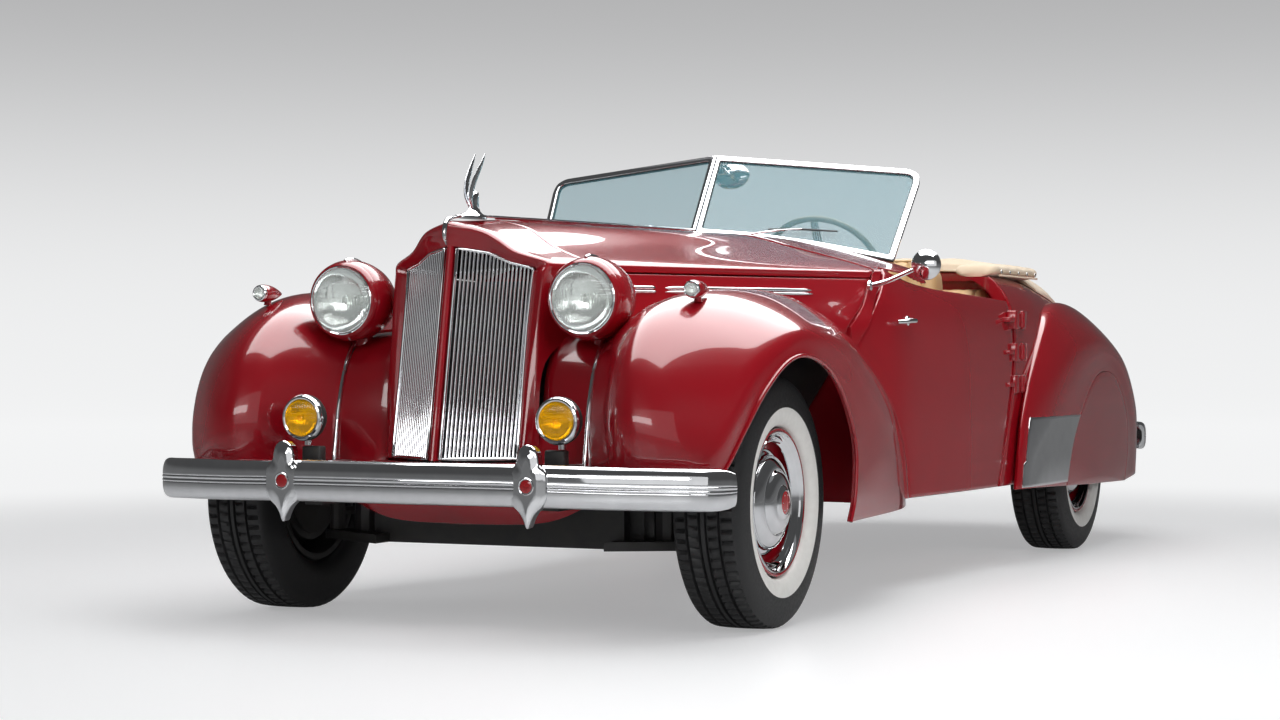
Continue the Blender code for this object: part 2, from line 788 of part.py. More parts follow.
# Rear fenders, and the skirt that fills the wheel opening.
REAR_INNER_SHARES = [
    (0.9137, 0.6928, 0.2401), (0.9116, 0.7223, 0.4718), (0.8926, 0.775, 0.6403),
    (0.8526, 0.8524, 0.7793), (0.8105, 0.9454, 0.8104), (0.7842, 1.0694, 0.7624),
    (0.7368, 1.1934, 0.6318), (0.6789, 1.2709, 0.4381), (0.6316, 1.2957, 0.2401),
]
REAR_CROWN_SHARES = [
    (0.9347, 0.6897, 0.2401), (0.94, 0.7161, 0.4634), (0.9347, 0.7719, 0.6234),
    (0.9137, 0.8555, 0.7666), (0.8895, 0.9547, 0.802), (0.8737, 1.0787, 0.7456),
    (0.8421, 1.2027, 0.5981), (0.8053, 1.2709, 0.4044), (0.7789, 1.2895, 0.2317),
]
REAR_WIDE_SHARES = [
    (0.9663, 0.7316, 0.2401), (0.9811, 0.7626, 0.4212), (0.9916, 0.8122, 0.556),
    (0.9979, 0.8927, 0.6655), (1, 0.9919, 0.6908), (0.9947, 1.1004, 0.6234),
    (0.9737, 1.1872, 0.4802), (0.9474, 1.2275, 0.3538), (0.9316, 1.2399, 0.2275),
]
REAR_LIP_SHARES = [
    (0.9789, 0.8478, 0.2317), (0.9916, 0.8586, 0.3538), (0.9979, 0.8896, 0.4549),
    (1, 0.9454, 0.556), (1, 1.0012, 0.5897), (0.9979, 1.0601, 0.5644), (0.9916, 1.1159, 0.4634),
    (0.9789, 1.1438, 0.337), (0.9632, 1.1469, 0.2106),
]
REAR_ROWS = 15
REAR_COLUMNS = 8


def make_rear_fender(finish):
    rails = [
        places(table)
        for table in (REAR_INNER_SHARES, REAR_CROWN_SHARES, REAR_WIDE_SHARES, REAR_LIP_SHARES)
    ]
    grid = surface(rails, REAR_ROWS, REAR_COLUMNS)
    return shell("rear_fender_left", grid, FENDER_WALL, at(0.7, 1, 0.3), finish)


SKIRT_COLUMNS = 4
SKIRT_GAP = 0.0008
SKIRT_BULGE = 0.012


def make_skirt(finish):
    lip = smooth(places(REAR_LIP_SHARES), REAR_ROWS)
    middle = sum(lip, Vector((0, 0, 0))) / len(lip)
    grid = []
    for i, point in enumerate(lip):
        inward = Vector((0, middle.y - point.y, middle.z - point.z)).normalized()
        top = point + inward * SKIRT_GAP
        share = i / (len(lip) - 1)
        foot_start = lip[0] + BACK * SKIRT_GAP
        foot_end = lip[-1] - BACK * SKIRT_GAP
        foot = foot_start.lerp(foot_end, share)
        row = []
        for k in range(SKIRT_COLUMNS):
            t = k / (SKIRT_COLUMNS - 1)
            spot = foot.lerp(top, t)
            spot.x += SKIRT_BULGE * math.sin(math.pi * share) * math.sin(math.pi * (1 + t) / 2)
            row.append(spot)
        grid.append(row)
    return shell("fender_skirt_left", grid, FENDER_WALL, at(0.7, 1, 0.3), finish)



# Hood halves and the radiator shell share one surface: rails from the shell's rim back to the cowl.
HOOD_RIDGE_SHARES = [
    (0.0063, -0.1283, 0.9663), (0.0063, -0.093, 0.9764), (0.0063, 0.0325, 0.9832),
    (0.0063, 0.248, 0.9924), (0.0063, 0.4712, 1.0008),
]
HOOD_CROWN_SHARES = [
    (0.1, -0.1141, 0.9419), (0.1053, -0.0775, 0.952), (0.1211, 0.0325, 0.9663),
    (0.2, 0.248, 0.9789), (0.2737, 0.4712, 0.9865),
]
HOOD_FLANK_SHARES = [
    (0.1716, -0.0998, 0.8981), (0.1874, -0.0682, 0.9056), (0.2211, 0.0325, 0.9183),
    (0.3474, 0.248, 0.9368), (0.5053, 0.4712, 0.9528),
]
HOOD_SHOULDER_SHARES = [
    (0.2526, -0.0831, 0.8711), (0.2716, -0.0558, 0.8745), (0.3526, 0.0325, 0.8778),
    (0.5737, 0.248, 0.8829), (0.7421, 0.4092, 0.8896), (0.7737, 0.4712, 0.8896),
]
HOOD_SIDE_SHARES = [
    (0.2589, -0.0837, 0.8467), (0.2821, -0.0558, 0.8509), (0.3705, 0.0325, 0.8543),
    (0.5979, 0.248, 0.8576), (0.7811, 0.403, 0.861), (0.8084, 0.4712, 0.861),
]
HOOD_MIDDLE_SHARES = [
    (0.2632, -0.0883, 0.7835), (0.2905, -0.062, 0.7835), (0.3916, 0.0325, 0.7835),
    (0.6368, 0.248, 0.7835), (0.7968, 0.3782, 0.7835), (0.8368, 0.4712, 0.7835),
]
HOOD_LOW_SHARES = [
    (0.2653, -0.0914, 0.7228), (0.2989, -0.062, 0.7228), (0.4105, 0.0325, 0.7228),
    (0.6611, 0.248, 0.7228), (0.8042, 0.3565, 0.7228), (0.8474, 0.4712, 0.7228),
]
HOOD_RAILS = [
    HOOD_RIDGE_SHARES,
    HOOD_CROWN_SHARES,
    HOOD_FLANK_SHARES,
    HOOD_SHOULDER_SHARES,
    HOOD_SIDE_SHARES,
    HOOD_MIDDLE_SHARES,
    HOOD_LOW_SHARES,
]
HOOD_FRONT_SHARES = [-0.0387, -0.0387, -0.0356, -0.0325, -0.0325, -0.0325, -0.0325]
HOOD_REAR_SHARES = [0.3782, 0.3782, 0.3782, 0.3751, 0.3627, 0.3317, 0.3007]
HOOD_ROWS = 9
HOOD_TOP_COLUMNS = 6


def stretch(rail, start_y, end_y, count):
    """The part of a rail between two places along the car."""
    fine = smooth(rail, FINE_COUNT)
    kept = []
    for k in range(count):
        want = start_y + (end_y - start_y) * k / (count - 1)
        spot = next((i for i in range(len(fine) - 2) if fine[i + 1].y >= want), len(fine) - 2)
        span = fine[spot + 1].y - fine[spot].y
        kept.append(fine[spot].lerp(fine[spot + 1], (want - fine[spot].y) / span))
    return kept


FINE_COUNT = 80


def make_hood(finish):
    """The top of the hood on one side, from the ridge round the shoulder to the seam."""
    rails = []
    for shares, front, rear in list(zip(HOOD_RAILS, HOOD_FRONT_SHARES, HOOD_REAR_SHARES))[
        :HOOD_TOP_RAILS
    ]:
        first = at(0, front, 0).y + PANEL_GAP / 2
        last = at(0, rear, 0).y - PANEL_GAP / 2
        rails.append(stretch(places(shares), first, last, HOOD_ROWS))
    grid = []
    for i in range(HOOD_ROWS):
        top = smooth([rail[i] for rail in rails[:-1]], HOOD_TOP_COLUMNS)
        grid.append(top + [rails[-1][i]])
    return shell("hood_left", grid, HOOD_WALL, at(0, 0.15, 0.6), finish)


HOOD_TOP_RAILS = 5


def make_hood_side(finish):
    """The fixed side panel under the hood's seam, which runs down inside the fender onto the frame."""
    rails = []
    for shares, front, rear in list(zip(HOOD_RAILS, HOOD_FRONT_SHARES, HOOD_REAR_SHARES))[
        HOOD_TOP_RAILS - 1:
    ]:
        first = at(0, front, 0).y + PANEL_GAP / 2
        last = at(0, rear, 0).y - PANEL_GAP / 2
        rails.append(stretch(places(shares), first, last, HOOD_ROWS))
    rails[0] = [point - UP * PANEL_GAP for point in rails[0]]
    last = rails[-1]
    tuck = [point - UP * TUCK_DROP - ACROSS * TUCK_INSET for point in last]
    foot = []
    for point in last:
        reach = rail_inset_at(point.y) + RAIL_WIDTH / 2 - FOOT_INSET
        foot.append(Vector((reach, point.y, RAIL_TOP + SEAT_GAP)))
    ankle = [point + UP * ANKLE_RISE for point in foot]
    grid = [list(row) for row in zip(*rails, tuck, ankle, foot)]
    return shell("hood_side_left", grid, APRON_WALL, at(0, 0.15, 0.6), finish)


TUCK_DROP = 0.06
TUCK_INSET = 0.008
FOOT_INSET = 0.006
ANKLE_RISE = 0.03

# The grille halves are flat, so their outline is drawn in their own plane.
GRILLE_SHARES = [
    (0.0168, -0.155, 0.4035), (0.2126, -0.1153, 0.4035), (0.2205, -0.1054, 0.6318),
    (0.2232, -0.1007, 0.7228), (0.2253, -0.0967, 0.7835), (0.2268, -0.0924, 0.8425),
    (0.2274, -0.0905, 0.861), (0.1632, -0.0998, 0.8736), (0.1053, -0.1091, 0.8964),
    (0.0168, -0.1224, 0.9065),
]
GRILLE_RIM = 0.009
GRILLE_DEPTH = 0.016
GRILLE_BARS = 18
BAR_SHARE = 0.52


def grille_plane():
    corners = places(GRILLE_SHARES)
    normal = (corners[1] - corners[0]).cross(corners[-1] - corners[0]).normalized()
    return corners, normal if normal.y < 0 else -normal


def flattened(points, origin, normal):
    return [point - normal * (point - origin).dot(normal) for point in points]


def inset_outline(points, normal, inset):
    """The outline moved inwards in its own plane, corner by corner."""
    middle = sum(points, Vector((0, 0, 0))) / len(points)
    moved = []
    for i, point in enumerate(points):
        before = (point - points[i - 1]).normalized()
        after = (points[(i + 1) % len(points)] - point).normalized()
        first = before.cross(normal)
        second = after.cross(normal)
        if first.dot(middle - point) < 0:
            first.negate()
        if second.dot(middle - point) < 0:
            second.negate()
        bisector = (first + second).normalized()
        moved.append(point + bisector * (inset / max(MITRE_SHARE, bisector.dot(first))))
    return moved


MITRE_SHARE = 0.35


def make_grille(name, finish):
    """A chrome rim with upright bars fused into it."""
    corners, normal = grille_plane()
    outline = flattened(corners, corners[0], normal)
    inner = inset_outline(outline, normal, GRILLE_RIM)
    back = BACK * GRILLE_DEPTH
    rings = [outline, inner, [p + back for p in inner], [p + back for p in outline]]
    rim = hoop(name, rings, finish)
    feet = spaced(inner[:2], GRILLE_BARS + 2)
    heads = spaced(inner[:GRILLE_CORNER - 1:-1], GRILLE_BARS + 2)
    half = (feet[1] - feet[0]) * (BAR_SHARE / 2)
    front, sunk = (back * share for share in BAR_DEPTH_SHARES)
    section = [sunk - half, sunk + half, front + half, front - half]
    bars = []
    for foot, head in zip(feet[1:-1], heads[1:-1]):
        lap = (head - foot).normalized() * (GRILLE_RIM / 2)
        bars.append(
            loft("bar", [[foot - lap + p for p in section], [head + lap + p for p in section]], finish)
        )
    field = merged(bars)
    return joined(rim, field)


BAR_DEPTH_SHARES = (0.06, 0.75)
GRILLE_CORNER = 6


def merged(parts):
    """Several separate solids as one object, to use in one Boolean."""
    made = bmesh.new()
    for part in parts:
        made.from_mesh(part.data)
    made.to_mesh(parts[0].data)
    made.free()
    for part in parts[1:]:
        bpy.data.objects.remove(part)
    return parts[0]


SHELL_RIM_SHARES = [
    (0.2379, -0.111, 0.4035), (0.2458, -0.1007, 0.6318), (0.2495, -0.0955, 0.7228),
    (0.2516, -0.0918, 0.7835), (0.2537, -0.0874, 0.8425), (0.2537, -0.0837, 0.8711),
    (0.1716, -0.0998, 0.8981), (0.1, -0.1141, 0.9419), (0, -0.1277, 0.9655),
]
SHELL_FOOT_SHARES = [(0.2568, -0.1023, 0.4035), (0.2632, -0.093, 0.6318)]
SHELL_RECESS = 0.018
SHELL_WALL = 0.008
SHELL_FLANK_SHARES = [0.33, 0.67]
DIVIDER_HALF = 0.011
DIVIDER_DEPTH = 0.030


def flipped(point):
    return Vector((-point.x, point.y, point.z))


def make_radiator_shell(finish):
    """The red surround: its mouth steps in round the grille, and its skin runs back to the hood."""
    corners, normal = grille_plane()
    mouth = inset_outline(flattened(corners, corners[0], normal), normal, -SEAT_GAP)[1:]
    far, near = mouth[-2:]
    mouth[-1] = far.lerp(near, far.x / (far.x - near.x))
    rim = places(SHELL_RIM_SHARES)
    seam = []
    for shares, share in reversed(list(zip(HOOD_RAILS, HOOD_FRONT_SHARES))):
        edge = at(0, share, 0).y - PANEL_GAP / 2
        seam.append(stretch(places(shares), edge - PANEL_GAP, edge, 2)[1])
    seam[-1].x = 0
    seam = places(SHELL_FOOT_SHARES) + seam
    grid = []
    for inner, outer, far in zip(mouth, rim, seam):
        recess = inner + BACK * SHELL_RECESS
        band = (inner + outer) / 2 - BACK * SHELL_CROWN
        flank = [outer.lerp(far, share) for share in SHELL_FLANK_SHARES]
        grid.append([recess, inner, band, outer, *flank, far])
    grid += [[flipped(point) for point in row] for row in reversed(grid[:-1])]
    found = shell("radiator_shell", grid, SHELL_WALL, at(0, 0.1, 0.6), finish)
    foot, top = corners[0], corners[-1]
    outline = [Vector((x, foot.y - DIVIDER_PROUD, foot.z)) for x in (-DIVIDER_HALF, DIVIDER_HALF)]
    outline += [Vector((x, foot.y + DIVIDER_DEPTH, foot.z)) for x in (DIVIDER_HALF, -DIVIDER_HALF)]
    lean = (top - foot) * DIVIDER_REACH_SHARE
    lean.x = 0
    joined(found, prism("divider", outline, lean, finish))
    low, high = places(SHELL_BLOCK_SHARES)
    low.z = RAIL_TOP - RAIL_HEIGHT + CROSS_STEP + CROSS_HEIGHT + SEAT_GAP
    for side in (-1, 1):
        xs = sorted((side * low.x, side * high.x))
        joined(found, block("foot", (xs[0], low.y, low.z), (xs[1], high.y, high.z), finish))
    return found


SHELL_CROWN = 0.003
SHELL_BLOCK_SHARES = [(0.2158, -0.1007, 0), (0.2558, -0.0852, 0.4212)]
DIVIDER_PROUD = 0.010
DIVIDER_REACH_SHARE = 1.03

# Body: cowl, doors and rear body share one skin.
DOOR_FRONT_SHARES = [
    (0.3999, 0.2527), (0.3912, 0.3791), (0.3627, 0.5223), (0.3332, 0.6024), (0.3094, 0.6571),
    (0.3456, 0.7709), (0.389, 0.8863),
]
DOOR_REAR_SHARES = [
    (0.651, 0.2527), (0.6727, 0.3791), (0.6928, 0.5223), (0.7021, 0.6024), (0.7083, 0.6571),
    (0.7176, 0.7709), (0.7207, 0.8104),
]
DOOR_TOP_SHARES = [
    (0.389, 0.8863), (0.4169, 0.8677), (0.4526, 0.8492), (0.5146, 0.834), (0.6045, 0.8239),
    (0.7207, 0.8104),
]
DOOR_COLUMNS = 8


def edge_places(shares):
    return [(FRONT_AXLE_Y + run * WHEELBASE, z * COWL_HEIGHT) for run, z in shares]


def door_outline(grow):
    """The door seen from the side, grown by a gap, as (y, z) points."""
    front = edge_places(DOOR_FRONT_SHARES)
    rear = edge_places(DOOR_REAR_SHARES)
    top = edge_places(DOOR_TOP_SHARES)
    return [(y - grow, z) for y, z in front], [(y + grow, z) for y, z in rear], top


def make_door(finish):
    """The skin of the door, as thick as the whole door, from the sill to the waist."""
    front, rear, top = door_outline(0)
    front_edge = [(z, y) for y, z in front]
    rear_edge = [(z, y) for y, z in rear]
    grid = []
    for i, (_, level) in enumerate(front):
        row = []
        for k in range(DOOR_COLUMNS):
            t = k / (DOOR_COLUMNS - 1)
            z = level
            if i == len(front) - 1:
                z = along(top, front[-1][0] + (rear[-1][0] - front[-1][0]) * t)
            first = along(front_edge, z) if k == 0 or i < len(front) - 1 else front[-1][0]
            y = first + (along(rear_edge, z) - first) * t
            row.append(Vector((side_at(y, z), y, z)))
        grid.append(row)
    return shell("door_left", grid, DOOR_WALL, at(0, 0.5, 0.6), finish)


def door_cutter(side, grow, finish):
    """The opening that the door fills, through the body's side."""
    front, rear, top = door_outline(grow)
    outline = front + top[1:-1] + list(reversed(rear))
    outline = [(front[0][0], front[0][1] - OVERRUN)] + outline + [(rear[0][0], rear[0][1] - OVERRUN)]
    roof = COWL_HEIGHT + OVERRUN
    waist = rear[-1][1] - PANEL_GAP
    points = []
    for y, z in outline:
        high = roof if z > waist and y > front[-1][0] - PANEL_GAP else z
        points.append(Vector((side * HALF_WIDTH * DOOR_INNER_SHARE, y, high)))
    return prism("cutter", points, ACROSS * (side * HALF_WIDTH), finish)


DOOR_INNER_SHARE = 0.68

BODY_STEPS = 16
REAR_BODY_SHARES = [
    0.6355, 0.7285, 0.8524, 0.9454, 1.0229, 1.1004, 1.1624, 1.2151, 1.2585, 1.2926, 1.3174, 1.336, 1.3469
]
CABIN_END_SHARE = 0.9299
BULKHEAD_WALL = 0.03
BELT_HEIGHT = 1.050
WHEELHOUSE_RADIUS = 0.40
WHEELHOUSE_WALL = 0.012
WHEELHOUSE_ROOM = 0.055
WHEELHOUSE_INNER = (REAR_TRACK - TYRE_WIDTH) / 2 - WHEELHOUSE_ROOM


def body_solid(name, runs, inset, drop, finish):
    rings = [body_ring(at(0, run, 0).y, BODY_STEPS, inset, drop) for run in runs]
    return loft(name, rings, finish)


def wheelhouse(side, radius, inner, finish):
    start = Vector((side * inner, REAR_AXLE_Y, TYRE_RADIUS))
    end = Vector((side * HALF_WIDTH, REAR_AXLE_Y, TYRE_RADIUS))
    return tube("cutter", [start, end], radius, WHEELHOUSE_SIDES, finish)


WHEELHOUSE_SIDES = 18


def make_rear_body(finish):
    """The tub behind the doors, hollow for the cabin and the trunk, with a bulkhead between."""
    outer = body_solid("rear_body", REAR_BODY_SHARES, 0, 0, finish)
    shift = OVERRUN / WHEELBASE
    cabin_runs = [REAR_BODY_SHARES[0] - shift, *REAR_BODY_SHARES[1:3], CABIN_END_SHARE]
    trunk_runs = [CABIN_END_SHARE + BULKHEAD_WALL / WHEELBASE, *REAR_BODY_SHARES[4:-1]]
    for name, runs in (("cabin", cabin_runs), ("trunk", trunk_runs)):
        hollow = body_solid(name, runs, BODY_WALL, OVERRUN, finish)
        for side in (-1, 1):
            inner = WHEELHOUSE_INNER - WHEELHOUSE_WALL
            cut(hollow, wheelhouse(side, WHEELHOUSE_RADIUS + WHEELHOUSE_WALL, inner, finish))
        cut(outer, hollow)
    for side in (-1, 1):
        cut(outer, wheelhouse(side, WHEELHOUSE_RADIUS, WHEELHOUSE_INNER, finish))
        cut(outer, door_cutter(side, DOOR_GAP, finish))
    cabin_end = at(0, CABIN_END_SHARE, 0).y
    open_low = (-HALF_WIDTH, FRONT_AXLE_Y, BELT_HEIGHT)
    open_high = (HALF_WIDTH, cabin_end - BULKHEAD_WALL, COWL_HEIGHT + OVERRUN)
    notch_reach = rail_inset_at(cabin_end) + RAIL_WIDTH / 2 + PANEL_GAP
    notch_low = (-notch_reach, FRONT_AXLE_Y, 0)
    notch_high = (notch_reach, cabin_end + BULKHEAD_WALL + OVERRUN, rail_top_at(REAR_AXLE_Y) + SEAT_GAP)
    cut(
        outer,
        block("cutter", open_low, open_high, finish),
        block("cutter", notch_low, notch_high, finish),
    )
    lid_reach = LID_HALF + PANEL_GAP
    lid_low = (-lid_reach, at(0, LID_SHARES[0], 0).y - PANEL_GAP - LID_LEAN, LID_CUT_LOW)
    lid_high = (lid_reach, at(0, LID_SHARES[-1], 0).y + PANEL_GAP, COWL_HEIGHT)
    cut(outer, block("cutter", lid_low, lid_high, finish))
    slot = AXLE_TUBE_RADIUS + AXLE_SLOT
    slot_reach = WHEELHOUSE_INNER + WHEELHOUSE_WALL
    slot_low = (-slot_reach, REAR_AXLE_Y - slot, 0)
    slot_high = (slot_reach, REAR_AXLE_Y + slot, TYRE_RADIUS + slot)
    cut(outer, block("cutter", slot_low, slot_high, finish))
    reach = rail_inset_at(REAR_AXLE_Y)
    for side in (-1, 1):
        middle = side * reach
        half = BRACKET_WIDTH / 2 + PANEL_GAP
        iron_low = (middle - half, REAR_AXLE_Y + REAR_OVERHANG / 2, IRON_LOW - PANEL_GAP)
        iron_high = (middle + half, REAR_AXLE_Y + REAR_OVERHANG, IRON_LOW + BRACKET_HEIGHT + PANEL_GAP)
        cut(outer, block("cutter", iron_low, iron_high, finish))
    return outer


AXLE_SLOT = 0.035
LID_CUT_LOW = 0.47
LID_LEAN = 0.004
LID_SHARES = [1.1035, 1.1469, 1.1934, 1.2399, 1.2771, 1.305, 1.3236]
LID_HALF_SHARE = 0.4947
LID_HALF = HALF_WIDTH * LID_HALF_SHARE
LID_COLUMNS = 9


def make_trunk_lid(finish):
    """The patch of the body's skin behind the folded top."""
    grid = []
    for share in LID_SHARES:
        y = at(0, share, 0).y
        grid.append(
            [skin_over(y, LID_HALF * (2 * k / (LID_COLUMNS - 1) - 1))
            for k in range(LID_COLUMNS)]
        )
    return shell("trunk_lid", grid, LID_WALL, at(0, 1.1, 0.3), finish)


def skin_over(y, x):
    """The top of the body's skin at a place across the car."""
    run = (y - FRONT_AXLE_Y) / WHEELBASE
    half = along(SIDE_SHARES, run) * HALF_WIDTH
    top = along(CROWN_SHARES, run) * COWL_HEIGHT
    power = along(SIDE_POWER_SHARES, run)
    rise = max(0.0, 1 - (abs(x) / half) ** power) ** (1 / power)
    return Vector((x, y, SILL_HEIGHT + (top - SILL_HEIGHT) * rise))


def lid_hinge_line():
    """The lid's hinge line, on top of the skin just ahead of the lid."""
    y = at(0, LID_HINGE_RUN_SHARE, 0).y
    return Vector((0, y, skin_over(y, LID_HINGE_X).z + HINGE_RADIUS + SEAT_GAP))


def add_lid_hinges(lid, body, finish):
    line = lid_hinge_line()
    edge = at(0, LID_SHARES[0], 0).y + LID_HINGE_SETBACK
    foot = line.z - HINGE_RADIUS
    for middle in (-LID_HINGE_X, LID_HINGE_X):
        spans = [(lid, 1, edge, *span) for span in hinge_spans(middle, True)]
        spans += [(body, -1, line.y, *span) for span in hinge_spans(middle, False)]
        for target, way, root, low, high in spans:
            far = line.y + way * LID_LEAF_REACH
            barrel = tube(
                "barrel", [line + ACROSS * low, line + ACROSS * high], HINGE_RADIUS, HINGE_SIDES, finish
            )
            ys = sorted((line.y, far))
            leaf = block("leaf", (low, ys[0], foot), (high, ys[1], foot + HINGE_LEAF), finish)
            ys = sorted((root, far))
            sunk = block(
                "root", (low, ys[0], foot - LID_HINGE_SINK), (high, ys[1], foot + HINGE_LEAF), finish
            )
            joined(target, joined(barrel, leaf, sunk))


LID_HINGE_RUN_SHARE = 1.1014
LID_HINGE_X = 0.30
LID_HINGE_SETBACK = 0.004
LID_HINGE_SINK = 0.019
LID_LEAF_REACH = 0.045


# Cowl.
COWL_SHARES = [0.3025, 0.3472, 0.3875, 0.4278, 0.4681]
COWL_SIDE_SHARES = [0.2528, 0.379, 0.505, 0.632]
FIREWALL_SHARE = 0.3053
FIREWALL_WALL = 0.025
DASH_SHARE = 0.4107
DASH_WALL = 0.03
DASH_LOW = 0.93
WINDSCREEN_BASE_SHARES = [
    (0, 0.42, 0.9975), (0.2105, 0.4324, 0.989), (0.4211, 0.4451, 0.9629), (0.5789, 0.4544, 0.936),
    (0.7053, 0.4619, 0.9132),
]
WINDSCREEN_TOP_SHARES = [
    (0, 0.4789, 1.2317), (0.6895, 0.5294, 1.1828), (0.7263, 0.5282, 1.1693),
    (0.7347, 0.5223, 1.1457),
]
COWL_REAR_STEP = 0.018


def cowl_ring(y, inset, drop):
    half = []
    for share in COWL_SIDE_SHARES:
        z = share * COWL_HEIGHT
        half.append(Vector((side_at(y, z) - inset, y, z)))
    rails = [stretch(places(shares), y - PANEL_GAP, y, 2)[1] for shares in reversed(HOOD_RAILS)]
    rails[-1].x = 0
    for i, point in enumerate(rails):
        if i < 3:
            half.append(point - ACROSS * inset)
        elif i == 3:
            half.append(point - (ACROSS + UP) * inset)
        else:
            half.append(point - UP * inset)
    half[0] = half[0] - UP * drop
    return half + [flipped(point) for point in reversed(half[:-1])]


def cowl_solid(name, starts, inset, drop, finish):
    return loft(name, [cowl_ring(y, inset, drop) for y in starts], finish)


def make_cowl(finish):
    """The scuttle between hood, doors and windscreen, with the firewall and the dash."""
    ys = [at(0, share, 0).y for share in COWL_SHARES]
    outer = cowl_solid("cowl", ys, 0, 0, finish)
    fire = at(0, FIREWALL_SHARE, 0).y
    dash = at(0, DASH_SHARE, 0).y
    front = cowl_solid("cutter", [ys[0] - OVERRUN, fire], BODY_WALL, OVERRUN, finish)
    foot = cowl_solid("cutter", [fire + FIREWALL_WALL, *ys[1:3], dash], BODY_WALL, OVERRUN, finish)
    back = cowl_solid("cutter", [dash + DASH_WALL, ys[3], ys[4] + OVERRUN], BODY_WALL, OVERRUN, finish)
    cut(outer, front, foot, back)
    knee_low = (-HALF_WIDTH * DASH_REACH_SHARE, fire + FIREWALL_WALL, 0)
    knee_high = (HALF_WIDTH * DASH_REACH_SHARE, dash + DASH_WALL + OVERRUN, DASH_LOW)
    cut(outer, block("cutter", knee_low, knee_high, finish), hood_cutter(finish))
    joined(outer, cowl_solid("firewall", [fire, fire + FIREWALL_WALL], FIREWALL_INSET, 0, finish))
    notch_reach = rail_inset_at(fire) + RAIL_WIDTH / 2 + PANEL_GAP
    notch_low = (-notch_reach, ys[0] - OVERRUN, 0)
    notch_high = (notch_reach, ys[4], RAIL_TOP + SEAT_GAP)
    cut(outer, block("cutter", notch_low, notch_high, finish))
    for side in (-1, 1):
        cut(outer, door_cutter(side, DOOR_GAP, finish))
    cut(outer, cabin_cutter(finish))
    front, rear = hood_hinge_line()
    root = rear + (rear - front).normalized() * HOOD_HINGE_ROOT
    return joined(outer, tube("hinge", [front, root], HOOD_HINGE_RADIUS, HINGE_SIDES, finish))


def hood_hinge_line():
    """The two ends of the hood's middle hinge, a little above the ridge."""
    ends = []
    for share, side in ((HOOD_FRONT_SHARES[0], 1), (HOOD_REAR_SHARES[0], -1)):
        y = at(0, share, 0).y + side * PANEL_GAP / 2
        top = stretch(places(HOOD_RIDGE_SHARES), y - PANEL_GAP, y, 2)[1].z
        ends.append(Vector((0, y, top + HOOD_HINGE_RISE)))
    return ends


HOOD_HINGE_RADIUS = 0.0056
HOOD_HINGE_RISE = 0.002
HOOD_HINGE_ROOT = 0.045
FIREWALL_INSET = 0.02
DASH_REACH_SHARE = 0.72


def hood_cutter(finish):
    """Everything ahead of the hood's rear seam and above its lower edge."""
    seam = []
    for shares, share in zip(HOOD_RAILS, HOOD_REAR_SHARES):
        seam.append((at(0, share, 0).y + PANEL_GAP, places(shares)[-1].z))
    start = at(0, COWL_SHARES[0], 0).y - OVERRUN
    low = places(HOOD_LOW_SHARES)[0].z - PANEL_GAP
    top = COWL_HEIGHT + OVERRUN
    outline = [(start, low), (seam[-1][0], low)] + list(reversed(seam)) + [
        (seam[0][0], top), (start, top)
    ]
    points = [Vector((-HALF_WIDTH, y, z)) for y, z in outline]
    return prism("cutter", points, ACROSS * (2 * HALF_WIDTH), finish)


def cabin_cutter(finish):
    """Everything behind the V-shaped foot of the windscreen."""
    middle, *_, outer = places(WINDSCREEN_BASE_SHARES)
    far = FRONT_AXLE_Y + WHEELBASE
    reach = HALF_WIDTH
    slope = (outer.y - middle.y) / outer.x
    near = middle.y + COWL_REAR_STEP
    side = near + slope * reach
    outline = [(0, near), (reach, side), (reach, far), (-reach, far), (-reach, side)]
    return prism("cutter", [Vector((x, y, 0)) for x, y in outline], UP * (COWL_HEIGHT + OVERRUN), finish)


# Windscreen.
FRAME_BAND = 0.021
FRAME_DEPTH = 0.018
GLASS_WALL = 0.006


def windscreen_outline():
    corners = places(WINDSCREEN_BASE_SHARES) + list(reversed(places(WINDSCREEN_TOP_SHARES)))
    first, second, last = corners[0], corners[len(WINDSCREEN_BASE_SHARES) - 1], corners[-1]
    normal = (second - first).cross(last - first).normalized()
    if normal.y > 0:
        normal.negate()
    return flattened(corners, first, normal), normal


def make_windscreen_frame(cowl, finish):
    outline, normal = windscreen_outline()
    inner = inset_outline(outline, normal, FRAME_BAND)
    halves = []
    for name in ("windscreen_frame", "half"):
        wide = [point - ACROSS * CENTRE_LAP if abs(point.x) < CENTRE_LAP else point for point in outline]
        back = -normal * FRAME_DEPTH
        rings = [wide, inner, [p + back for p in inner], [p + back for p in wide]]
        halves.append(hoop(name, rings, finish))
    other = mirrored(halves[1], "other")
    bpy.data.objects.remove(halves[1])
    frame = joined(halves[0], other)
    return clear_of(frame, cowl)


CENTRE_LAP = 0.006


def make_glass(finish):
    outline, normal = windscreen_outline()
    pane = inset_outline(outline, normal, FRAME_BAND + SEAT_GAP)
    start = [point - normal * ((FRAME_DEPTH - GLASS_WALL) / 2) for point in pane]
    return prism("windscreen_glass_left", start, -normal * GLASS_WALL, finish)


